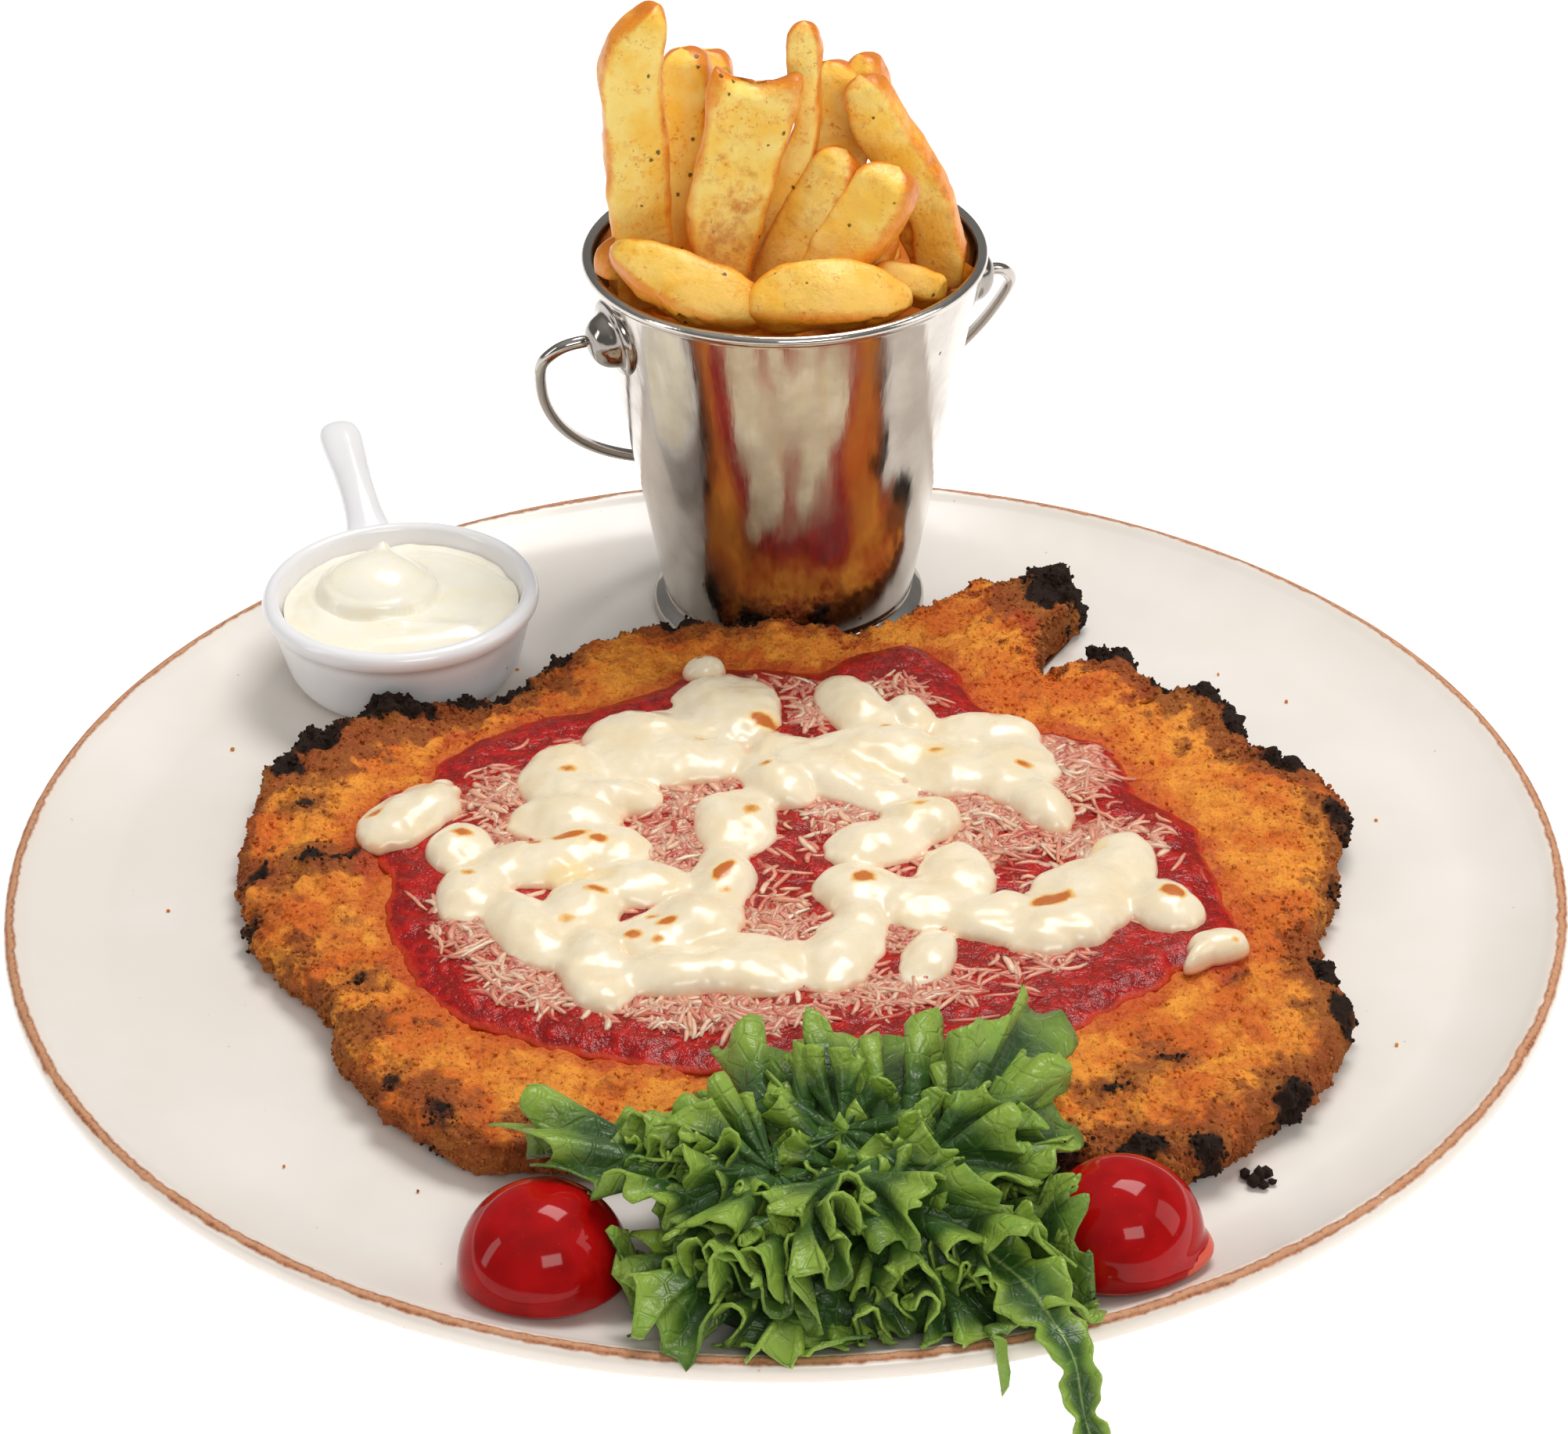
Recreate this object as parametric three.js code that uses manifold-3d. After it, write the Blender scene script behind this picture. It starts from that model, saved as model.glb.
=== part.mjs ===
// Chicken parmigiana as it is served: a shallow stoneware plate with a crumbed cutlet under tomato
// sauce, melted cheese and grated cheese, a frilly lettuce garnish between two tomato halves, a small
// porcelain sauce dish of mayonnaise, and a steel pail of thick-cut fries with a bail that swings.
// Millimetres, +Z up. The origin is the middle of the plate's flat underside.

import * as THREE from "three";
import { mergeVertices } from "three/addons/utils/BufferGeometryUtils.js";
import Module from "manifold-3d";

const wasm = await Module();
wasm.setup();

// ---------------------------------------------------------------- driving dimensions
const GAP = 0.3; // left between pieces that rest on each other

const PLATE = { radius: 162, rimTop: 18, well: 11.8, wellRadius: 141, foot: 98, wall: 5.3, lip: 4.9, sides: 50 };
const WELL = PLATE.well + GAP;

const CUTLET = { top: 22, flank: 17, samples: 104, crag: 1.1 };
const SAUCE = { base: CUTLET.top + GAP, thick: 1.7, samples: 76 };
const CHEESE = { base: SAUCE.base + SAUCE.thick + GAP, step: 4.9 };
const SHRED = { count: 30, width: 1.7, height: 1.5, shortest: 6, longest: 12 };

const DISH = { x: -84.9, y: 81.8, radius: 31, height: 23.5, foot: 20.5, wall: 3.7, fill: 4.4 };
const DISH_HANDLE = { length: 33, rise: 15, bearing: 105, neck: 7.4, tip: 10, thick: 6.6 };

const PAIL = { x: 1.7, y: 114.1, radius: 45, height: 90.5, bottom: 28.5, foot: 31.3, wall: 0.9, bead: 1.9, sides: 34 };
const PAIL_TOP = WELL + PAIL.height - GAP;
const AXIS = { bearing: 20.3, height: 87.8 }; // line through both ears that the bail turns about
const EAR = { radius: 8.6, dome: 6.6, hole: 1.9, forward: 6, height: 89.7 };
const BAIL = { wire: 1.4, halfSpan: 56.5, reach: 63, hang: 57.8, corner: 10, power: 2.1, end: 43.2 };

// ---------------------------------------------------------------- helpers
const DEG = Math.PI / 180;
const UP = new THREE.Vector3(0, 0, 1);
const v3 = (x, y, z = 0) => new THREE.Vector3(x, y, z);
const lerp = THREE.MathUtils.lerp;
const smooth = THREE.MathUtils.smoothstep;

/** A repeatable stream of numbers from 0 to 1. */
function draws(seed) {
  let state = seed;
  return () => {
    state = (state * 1664525 + 1013904223) % 4294967296;
    return state / 4294967296;
  };
}

/** A geometry from a list of points and a list of corner triples. */
function shape(points, faces) {
  const geometry = new THREE.BufferGeometry();
  geometry.setAttribute("position", new THREE.Float32BufferAttribute(points.flatMap((p) => [p.x, p.y, p.z]), 3));
  geometry.setIndex(faces.flat());
  return geometry;
}

/** Merges the corners of a closed geometry, drops collapsed faces and turns the faces outwards. */
function closed(geometry) {
  const bare = geometry.clone();
  bare.deleteAttribute("normal");
  bare.deleteAttribute("uv");
  const merged = mergeVertices(bare, 1e-3);
  const position = merged.getAttribute("position");
  const corner = (i) => new THREE.Vector3().fromBufferAttribute(position, i);
  let volume = 0;
  const kept = [];
  for (let i = 0; i < merged.index.count; i += 3) {
    const [a, b, c] = [0, 1, 2].map((k) => merged.index.getX(i + k));
    if (a === b || b === c || c === a) continue;
    kept.push([a, b, c]);
    volume += corner(a).dot(corner(b).cross(corner(c)));
  }
  merged.setIndex((volume < 0 ? kept.map(([a, b, c]) => [a, c, b]) : kept).flat());
  return merged;
}

/** A solid for joining and cutting. */
function solidOf(geometry) {
  const body = closed(geometry);
  const vertProperties = new Float32Array(body.getAttribute("position").array);
  const triVerts = new Uint32Array(body.index.array);
  return new wasm.Manifold(new wasm.Mesh({ numProp: 3, vertProperties, triVerts }));
}

/** The geometry of a joined or cut solid, without loose scraps. */
function geometryOf(solid) {
  const pieces = solid.decompose().sort((a, b) => b.volume() - a.volume());
  const { vertProperties, triVerts } = pieces[0].getMesh();
  const geometry = new THREE.BufferGeometry();
  geometry.setAttribute("position", new THREE.BufferAttribute(new Float32Array(vertProperties), 3));
  geometry.setIndex([...triVerts]);
  return geometry;
}

/** A profile of [radius, height] pairs turned about the Z axis. */
function turned(profile, sides) {
  const points = profile.map(([radius, height]) => new THREE.Vector2(radius, height));
  return closed(new THREE.LatheGeometry(points, sides).rotateX(Math.PI / 2));
}

/** Points evenly spaced round a closed curve through [x, y] pairs. */
function outline(pairs, samples) {
  const curve = new THREE.CatmullRomCurve3(pairs.map(([x, y]) => v3(x, y)), true, "centripetal");
  return curve.getSpacedPoints(samples).slice(0, samples);
}

/** Each point of a closed outline drawn towards the mean of its neighbours, a number of times. */
function softened(points, rounds) {
  let now = points;
  for (let round = 0; round < rounds; round += 1) {
    const last = now;
    now = last.map((p, i) => {
      const before = last[(i + last.length - 1) % last.length];
      const after = last[(i + 1) % last.length];
      return p.clone().multiplyScalar(2).add(before).add(after).multiplyScalar(0.25);
    });
  }
  return now;
}

/** A body from rings of equal length, the first capped below and the last capped above. */
function ringSolid(rings) {
  const count = rings[0].length;
  const faces = [];
  for (let k = 0; k + 1 < rings.length; k += 1) {
    for (let i = 0; i < count; i += 1) {
      const a = k * count + i;
      const b = k * count + ((i + 1) % count);
      faces.push([a, b, b + count], [a, b + count, a + count]);
    }
  }
  const cap = (ring) => THREE.ShapeUtils.triangulateShape(ring.map((p) => new THREE.Vector2(p.x, p.y)), []);
  const last = (rings.length - 1) * count;
  faces.push(...cap(rings[0]).map(([a, b, c]) => [a, c, b]));
  faces.push(...cap(rings.at(-1)).map(([a, b, c]) => [a + last, b + last, c + last]));
  return shape(rings.flat(), faces);
}

/** Signed area of a loop of points seen from above. */
function areaOf(points) {
  return THREE.ShapeUtils.area(points.map((p) => new THREE.Vector2(p.x, p.y)));
}

/** Shortest distance from (x, y) to a closed outline, negative outside it. */
function depthIn(points, x, y) {
  let nearest = Infinity;
  let inside = false;
  points.forEach((a, i) => {
    const b = points[(i + 1) % points.length];
    const t = THREE.MathUtils.clamp(
      ((x - a.x) * (b.x - a.x) + (y - a.y) * (b.y - a.y)) / ((b.x - a.x) ** 2 + (b.y - a.y) ** 2),
      0,
      1,
    );
    nearest = Math.min(nearest, Math.hypot(x - lerp(a.x, b.x, t), y - lerp(a.y, b.y, t)));
    if (a.y > y !== b.y > y && x < lerp(a.x, b.x, (y - a.y) / (b.y - a.y))) inside = !inside;
  });
  return inside ? nearest : -nearest;
}

/**
 * A lump on a flat underside. field(x, y) is above 0 inside it and height(x, y) is its thickness.
 * Square cells are cut where the field crosses 0, and the underside spans the outlines so found.
 */
function lump(field, height, [x0, y0, x1, y1], step, base) {
  const columns = Math.ceil((x1 - x0) / step);
  const rows = Math.ceil((y1 - y0) / step);
  const at = (i, j) => [x0 + i * step, y0 + j * step];
  const points = [];
  const faces = [];
  const found = new Map();
  const point = (key, make) => {
    if (!found.has(key)) {
      found.set(key, points.length);
      points.push(make());
    }
    return found.get(key);
  };
  const node = (i, j) => {
    const [x, y] = at(i, j);
    return point(`${i},${j}`, () => v3(x, y, base + height(x, y)));
  };
  const crossing = (i, j, m, n) => {
    const [[a, b], [c, d]] = [at(i, j), at(m, n)];
    const [f, g] = [Math.abs(field(a, b)), Math.abs(field(c, d))];
    const wobble = 0.02 * Math.sin(i * 7 + j * 13);
    const t = THREE.MathUtils.clamp(f / (f + g), 0.15 + wobble, 0.85 + wobble);
    const key = [`${i},${j}`, `${m},${n}`].sort().join("|");
    return point(key, () => v3(lerp(a, c, t), lerp(b, d, t), base));
  };
  for (let i = 0; i < columns; i += 1) {
    for (let j = 0; j < rows; j += 1) {
      const corners = [[i, j], [i + 1, j], [i + 1, j + 1], [i, j + 1]];
      const inside = corners.map(([m, n]) => field(...at(m, n)) > 0);
      const ring = [];
      corners.forEach(([m, n], k) => {
        const next = (k + 1) % 4;
        if (inside[k]) ring.push(node(m, n));
        if (inside[k] && !inside[next]) ring.push(crossing(m, n, ...corners[next]));
        if (!inside[k] && inside[next]) ring.push(crossing(...corners[next], m, n));
      });
      for (let k = 1; k + 1 < ring.length; k += 1) faces.push([ring[0], ring[k], ring[k + 1]]);
    }
  }
  return underlaid(points, faces);
}

/** Closes an open, flat-edged skin with a flat underside across its boundary loops. */
function underlaid(points, faces) {
  const edges = new Set(faces.flatMap(([a, b, c]) => [`${a}>${b}`, `${b}>${c}`, `${c}>${a}`]));
  const next = new Map();
  edges.forEach((edge) => {
    const [a, b] = edge.split(">").map(Number);
    if (!edges.has(`${b}>${a}`)) next.set(a, b);
  });
  const loops = [];
  while (next.size > 0) {
    const loop = [];
    for (let i = next.keys().next().value; next.has(i); ) {
      loop.push(i);
      const j = next.get(i);
      next.delete(i);
      i = j;
    }
    loops.push(loop);
  }
  const flat = (loop) => loop.map((i) => new THREE.Vector2(points[i].x, points[i].y));
  const outer = loops.filter((loop) => THREE.ShapeUtils.area(flat(loop)) > 0);
  const holes = loops.filter((loop) => THREE.ShapeUtils.area(flat(loop)) < 0);
  outer.forEach((loop) => {
    const rim = loop.map((i) => points[i]);
    const mine = holes.filter((hole) => depthIn(rim, points[hole[0]].x, points[hole[0]].y) > 0);
    const all = [loop, ...mine].flat();
    THREE.ShapeUtils.triangulateShape(flat(loop), mine.map(flat)).forEach((face) => {
      const [a, b, c] = face.map((i) => all[i]);
      const turn = areaOf([points[a], points[b], points[c]]);
      faces.push(turn > 0 ? [a, c, b] : [a, b, c]);
    });
  });
  return shape(points, faces);
}

/**
 * A rounded bar carried along a path. stations gives, for each path point, the half width and half
 * thickness of the section there, and across is the direction of its width.
 */
function bar(path, stations, across, sides = 8, squareness = 0.72) {
  const curve = new THREE.CatmullRomCurve3(path, false, "centripetal");
  const rings = stations.map(([half, thick], k) => {
    const t = k / (stations.length - 1);
    const centre = curve.getPoint(t);
    const along = curve.getTangent(t);
    const side = across.clone().addScaledVector(along, -across.dot(along)).normalize();
    const top = along.clone().cross(side);
    return Array.from({ length: sides }, (_, i) => {
      const angle = ((i + 0.5) / sides) * 2 * Math.PI;
      const [c, s] = [Math.cos(angle), Math.sin(angle)];
      const [u, v] = [Math.sign(c) * Math.abs(c) ** squareness, Math.sign(s) * Math.abs(s) ** squareness];
      return centre.clone().addScaledVector(side, u * half).addScaledVector(top, v * thick);
    });
  });
  const points = rings.flat();
  const faces = [];
  for (let k = 0; k + 1 < rings.length; k += 1) {
    for (let i = 0; i < sides; i += 1) {
      const [a, b] = [k * sides + i, k * sides + ((i + 1) % sides)];
      faces.push([a, b, b + sides], [a, b + sides, a + sides]);
    }
  }
  const last = (rings.length - 1) * sides;
  for (let i = 1; i + 1 < sides; i += 1) faces.push([0, i + 1, i], [last, last + i, last + i + 1]);
  return shape(points, faces);
}

const group = new THREE.Group();

/** Adds a finished piece as a named mesh. */
function add(name, geometry, color, roughness, metalness = 0) {
  const body = closed(geometry);
  body.computeVertexNormals();
  const mesh = new THREE.Mesh(body, new THREE.MeshStandardMaterial({ color, roughness, metalness }));
  mesh.name = name;
  group.add(mesh);
}

// ---------------------------------------------------------------- plate
/** Height of the plate's upper face at a distance from its middle. */
function plateTop(radius) {
  const climb = (radius - PLATE.wellRadius) / (PLATE.radius - 2.5 - PLATE.wellRadius);
  if (climb <= 0) return PLATE.well;
  return PLATE.well + (PLATE.rimTop - PLATE.well) * Math.min(1, climb) ** 1.6;
}

/** The plate: flat foot, thin wall, concave slope and a rounded lip. */
function plate() {
  const { radius, rimTop, well, wellRadius, foot, wall, lip } = PLATE;
  const slope = [0, 0.18, 0.4, 0.68, 1].map((t) => lerp(wellRadius, radius - 2.5, t));
  return turned(
    [
      [0, 0],
      [foot - 2, 0],
      [foot + 1.5, 1.4],
      [foot + 6, well - wall - 0.4],
      [wellRadius - 12, well - wall + 0.6],
      [radius - 5, rimTop - lip - 0.7],
      [radius - 1, rimTop - lip + 0.9],
      [radius, rimTop - lip / 2],
      [radius - 0.8, rimTop - 0.7],
      ...slope.reverse().map((r) => [r, plateTop(r)]),
      [0, well],
    ],
    PLATE.sides,
  );
}
add("plate", plate(), 0xe9e3db, 0.28);

/** The space that what lies on the plate may fill: above its upper face and beyond its lip. */
function plateSpace() {
  const { radius, rimTop, well, wellRadius, sides } = PLATE;
  const slope = [0, 0.18, 0.4, 0.68, 1].map((t) => lerp(wellRadius, radius - 2.5, t));
  const edge = [[radius + GAP, rimTop - 0.4], [radius + GAP, 1], [radius + 60, 1], [radius + 60, 90], [0, 90]];
  const face = slope.map((r) => [r, plateTop(r) + GAP + 0.05]);
  return solidOf(turned([[0, well + GAP], ...face, [radius - 0.9, rimTop + GAP], ...edge], sides));
}

// ---------------------------------------------------------------- cutlet
// The edge, anticlockwise from the dish's side: the front, the right, the two lobes and the long horn
// of crust at the back, then along the pail to the dish.
const CUTLET_EDGE = [
  [-103.5, 44], [-111.5, 26], [-113.5, 6], [-113, -8], [-108, -30], [-98.5, -45], [-90.5, -55],
  [-87, -70], [-79, -84], [-70, -94], [-60, -101], [-46, -103], [-26, -102], [-4, -101], [18, -101],
  [38, -103], [54, -105], [73.5, -109.5], [87, -98.5], [98.5, -87], [107, -74], [111, -59],
  [107, -42], [108, -31], [113, -18], [115, -5], [119, 10], [117, 18], [112, 26.5], [106, 32],
  [101, 31], [100, 44], [96, 54], [91, 58.5], [86, 52], [84, 59], [79, 66], [77, 76], [72.5, 77.5],
  [68, 73], [60, 64.5], [57, 68], [58.5, 80], [61.5, 88], [68, 95], [67, 103], [62, 112],
  [56, 109], [47, 108], [39, 99.5], [29, 91], [15, 84.5], [2, 85.5], [-18, 88], [-33, 88],
  [-44, 79.5], [-53, 72.5], [-57.5, 61.5], [-68, 58.5], [-76, 55], [-84, 53.5], [-92, 53], [-98.5, 45],
];
const SAUCE_EDGE = [
  [-88, 8], [-87, -2], [-82, -12], [-80, -32], [-74, -49], [-64, -62], [-54, -68.5], [-42, -75],
  [-25, -79], [-10, -81.5], [3, -83], [12, -86], [20, -83], [31.5, -78], [46.5, -74], [60, -66.5],
  [71, -58.5], [78, -51], [86, -50], [91, -42], [89.5, -29], [86.5, -12], [84, 4], [76, 11],
  [72, 24], [66, 36], [52, 41], [42, 50], [38, 65], [31, 73.5], [13, 70], [8, 65], [-5, 66],
  [-18, 65.5], [-27, 60.5], [-39, 51], [-54, 46.5], [-67, 37.5], [-74, 28], [-75, 20], [-83, 17],
];
// Raised crags and flakes of crust: x, y, how far they spread and how high they stand.
const CRAGS = [
  [-97, -8, 7, 3.2], [63, 104, 7, 2.6], [54, 76, 6, 2.2], [-40, 70, 9, 1.4], [92, 50, 8, 1.8],
  [104, 12, 9, 1.5], [100, -62, 11, 1.8], [74, -92, 10, 1.6], [-86, -60, 9, 1.6], [-66, -88, 9, 1.8],
  [-96, 40, 8, 1.6], [-84, 52, 6, 4], [-75, 54, 5, 2.2], [-4, 84, 10, 2.4], [28, 86, 8, 1.6],
  [-20, -92, 9, 1.2],
];

const sauceLine = outline(SAUCE_EDGE, SAUCE.samples);

/** The crust's relief above its level top: uneven swell and crags, none of it under the sauce. */
function crustRelief(x, y) {
  const clear = smooth(-depthIn(sauceLine, x, y), 3, 9);
  const swell = CUTLET.crag * Math.sin(x * 0.11 + y * 0.05) * Math.sin(y * 0.13 - x * 0.04 + 1);
  const crags = CRAGS.reduce((sum, [cx, cy, r, h]) => sum + h * Math.exp(-((x - cx) ** 2 + (y - cy) ** 2) / r ** 2), 0);
  return clear * (swell + crags);
}

/** A filled outline of the sauce dish below its band, grown by a margin. */
function dishOutside(grow) {
  const { foot, radius, height } = DISH;
  return [[0, WELL - 1], [foot + grow, WELL - 1], [foot + 3.4 + grow, WELL + 2.4 - grow],
    [foot + 6 + grow, WELL + 7.4 - grow], [radius - 2.2 + grow, WELL + height - 6.4], [radius + grow, WELL + height],
    [0, WELL + height]];
}

/** A filled outline of the pail's wall, grown by a margin. */
function pailOutside(grow) {
  return [[0, WELL - 1], [PAIL.foot + grow, WELL - 1], [PAIL.foot + grow, WELL + 2.9], [pailRadius(30, grow), 30],
    [pailRadius(60, grow), 60], [0, 60]];
}

/** The cutlet: a crumbed slab with a ragged, rounded edge, pushed up against the dish and the pail. */
function cutlet() {
  const random = draws(11);
  const edge = outline(CUTLET_EDGE, CUTLET.samples).map((p) => {
    const reach = 1 + (random() - 0.5) * 0.022;
    return p.multiplyScalar(reach);
  });
  const core = softened(edge, 14).map((p) => p.multiplyScalar(0.84));
  const ring = (inward, z, rough = 0) =>
    edge.map((p, i) => {
      const q = p.clone().lerp(core[i], inward);
      return v3(q.x, q.y, z + rough * (random() - 0.5) + (z > CUTLET.flank ? crustRelief(q.x, q.y) : 0));
    });
  const shrug = edge.map((p) => 1.6 * Math.sin(Math.atan2(p.y, p.x) * 5 + 0.6));
  const flank = ring(0, CUTLET.flank, 1.6).map((p, i) => v3(p.x, p.y, p.z + shrug[i]));
  const slab = ringSolid([
    ring(0.2, WELL),
    ring(0.05, WELL + 1.6),
    flank,
    ring(0.12, CUTLET.top - 0.5, 1),
    ring(0.5, CUTLET.top),
    core.map((p) => v3(p.x, p.y, CUTLET.top)),
  ]);
  const room = (profile, { x, y }) => solidOf(turned(profile, 72).translate(x, y, 0));
  const beside = [room(dishOutside(GAP), DISH), room(pailOutside(GAP), PAIL)];
  return geometryOf(beside.reduce((rest, piece) => rest.subtract(piece), solidOf(slab)));
}
add("cutlet", cutlet(), 0xc9792a, 0.75);

// ---------------------------------------------------------------- melted cheese
// Melted slices and curds that ran together: x, y, half length, half width, bearing, height.
const LOBES = [
  [-29, 34, 13, 10.5, 0, 4.2], [-12, 46, 12.5, 10.5, 90, 4.4], [-16, 52, 7, 5, 20, 3.8],
  [-46.5, 18, 12, 8.5, 95, 4.2], [-24, 25, 15, 8, 5, 3.4], [-36, 11, 10, 6, 10, 3.0],
  [-46, 3, 11, 7, 0, 3.0], [-1.5, 16.5, 9.5, 6, -55, 3.8], [-10, 1.5, 11.5, 8, 92, 4.0],
  [16, 45, 12, 6.5, -62, 4.0], [28, 42.5, 6.5, 4.5, -65, 3.4], [43, 35.5, 11, 6.5, -6, 4.0],
  [22, 27.5, 17, 8.5, -8, 4.0], [36, 20.5, 9, 9, 0, 4.2], [48, 20.5, 12, 9, 90, 4.4],
  [54, 6, 9, 5.5, -70, 3.6], [10, 20, 21, 7, -38, 3.6], [28.5, 1, 8, 7.5, 0, 3.8],
  [19, -7, 11, 7.5, 28, 3.8], [15, -24, 9, 8, 0, 3.8], [35, -20, 11, 7, 95, 3.8],
  [29, -29, 10, 8, 10, 3.4], [12, -44, 14, 7, 72, 3.8], [28, -48, 9, 5, 70, 3.2],
  [44, -35, 12, 7, 0, 3.8], [56, -36, 13, 8.5, 30, 4.2], [61, -25, 12, 9, 30, 4.2],
  [69, -15, 10, 6.5, 80, 3.8], [76, -31, 9, 6.5, -60, 4.2], [-67, -6.5, 7.5, 6.5, 90, 4.0],
  [-64, -23, 9.5, 6.5, 80, 3.8], [-38, -8, 10, 7, 0, 4.0], [-52, -13, 12, 7, 0, 3.4],
  [-52, -36, 14, 6.5, -62, 4.2], [-41, -30, 12, 7.5, 80, 3.8], [-38, -50, 13, 7, -75, 4.2],
  [-26, -39, 8.5, 7.5, 0, 4.0], [-23, -52, 11, 7, 0, 3.8], [-8, -49, 15, 9, 0, 4.2],
  [-12.5, -19, 11, 6, 88, 4.2], [-18, -33, 9, 8.5, 0, 3.8], [-30, -21, 10, 7, 0, 3.0],
];
const LEFT_CURD = [[-78.5, 5.5, 14.5, 8.4, 55, 5.0]];
const TOP_CURD = [[-17.5, 62.6, 4.6, 3.4, 0, 3.2]];
const RIGHT_CURD = [[86, -44.5, 6, 4.6, 10, 3.6], [82.5, -48, 5.5, 2.2, 50, 2.2]];

/** 1 at a lobe's middle, 0 at its edge and less beyond, joined softly over all lobes. */
function lobeField(lobes, x, y) {
  const sharpness = 4;
  const sum = lobes.reduce((total, [cx, cy, long, wide, bearing]) => {
    const [c, s] = [Math.cos(bearing * DEG), Math.sin(bearing * DEG)];
    const u = ((x - cx) * c + (y - cy) * s) / long;
    const v = ((y - cy) * c - (x - cx) * s) / wide;
    return total + Math.exp(sharpness * (1 - u * u - v * v));
  }, 0);
  return Math.log(sum) / sharpness;
}

/** A piece of melted cheese, domed over each of its lobes. */
function melted(lobes, step) {
  const field = (x, y) => lobeField(lobes, x, y);
  const rise = lobes.reduce((sum, lobe) => sum + lobe[5], 0) / lobes.length;
  const height = (x, y) => rise * Math.sqrt(THREE.MathUtils.clamp(field(x, y), 0.06, 1.3));
  const box = [Infinity, Infinity, -Infinity, -Infinity];
  lobes.forEach(([x, y, long]) => {
    [box[0], box[1]] = [Math.min(box[0], x - long - step), Math.min(box[1], y - long - step)];
    [box[2], box[3]] = [Math.max(box[2], x + long + step), Math.max(box[3], y + long + step)];
  });
  return lump(field, height, box, step, CHEESE.base);
}
const CHEESE_COLOUR = 0xf3ead0;
add("cheese", melted(LOBES, CHEESE.step), CHEESE_COLOUR, 0.35);
add("cheese_left_curd", melted(LEFT_CURD, 3.6), CHEESE_COLOUR, 0.35);
add("cheese_top_curd", melted(TOP_CURD, 2.1), CHEESE_COLOUR, 0.35);
add("cheese_right_curd", melted(RIGHT_CURD, 2.4), CHEESE_COLOUR, 0.35);

// ---------------------------------------------------------------- sauce with grated cheese on it
const ALL_CHEESE = [...LOBES, ...LEFT_CURD, ...TOP_CURD, ...RIGHT_CURD];

/** One bent shred of grated cheese lying on the sauce. */
function shred(x, y, bearing, length, bend) {
  const z = SAUCE.base + SAUCE.thick + SHRED.height * 0.12;
  const path = [-0.5, 0, 0.5].map((t) => {
    const angle = bearing + bend * t;
    return v3(x + Math.cos(angle) * t * length, y + Math.sin(angle) * t * length, z);
  });
  const half = [SHRED.width / 2, SHRED.height / 2];
  const across = v3(-Math.sin(bearing), Math.cos(bearing));
  return bar(path, [half, half, half], across, 4, 1);
}

/** Places shreds on the bare sauce: drawn evenly, and skipped where melted cheese or the edge is near. */
function shreds() {
  const random = draws(5);
  const reach = SHRED.longest / 2 + 1;
  const placed = [];
  for (let attempt = 0; attempt < 6000 && placed.length < SHRED.count; attempt += 1) {
    const [x, y] = [lerp(-84, 90, random()), lerp(-84, 72, random())];
    const bearing = random() * Math.PI;
    const length = lerp(SHRED.shortest, SHRED.longest, random());
    const bend = (random() - 0.5) * 1.6;
    const ends = [-0.5, -0.25, 0, 0.25, 0.5].flatMap((t) => {
      const [px, py] = [x + Math.cos(bearing + bend * t) * t * length, y + Math.sin(bearing + bend * t) * t * length];
      return [[px, py], [px + 1.8, py], [px - 1.8, py], [px, py + 1.8], [px, py - 1.8]];
    });
    const bare = ends.every(([px, py]) => lobeField(ALL_CHEESE, px, py) < -0.05 && depthIn(sauceLine, px, py) > 2.4);
    const apart = placed.every((other) => Math.hypot(other.x - x, other.y - y) > reach * 0.62);
    if (bare && apart) placed.push({ x, y, bearing, length, bend });
  }
  return placed.map((p) => shred(p.x, p.y, p.bearing, p.length, p.bend));
}

/** The pool of sauce: thin and level under the cheese, thicker at its bare edge. */
function sauce() {
  const middle = softened(sauceLine, 6);
  const ring = (inward, z, swell) =>
    sauceLine.map((p, i) => {
      const q = p.clone().lerp(middle[i].clone().multiplyScalar(0.8), inward);
      const blob = 1.4 * Math.exp(-((q.x - 28) ** 2 + (q.y - 68) ** 2) / 90);
      const uneven = 0.35 * Math.sin(q.x * 0.31 + 1) * Math.sin(q.y * 0.27);
      return v3(q.x, q.y, z + swell * (uneven + (lobeField(ALL_CHEESE, q.x, q.y) < -0.5 ? blob : 0)));
    });
  const top = SAUCE.base + SAUCE.thick;
  const pool = ringSolid([
    ring(0.02, SAUCE.base, 0),
    ring(0, SAUCE.base + 0.7, 0),
    ring(0.07, top - 0.2, 1),
    ring(0.2, top, 0.5),
    ring(0.42, top, 0),
  ]);
  return geometryOf(shreds().reduce((whole, piece) => whole.add(solidOf(piece)), solidOf(pool)));
}
add("sauce", sauce(), 0x9b1a16, 0.25);

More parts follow.
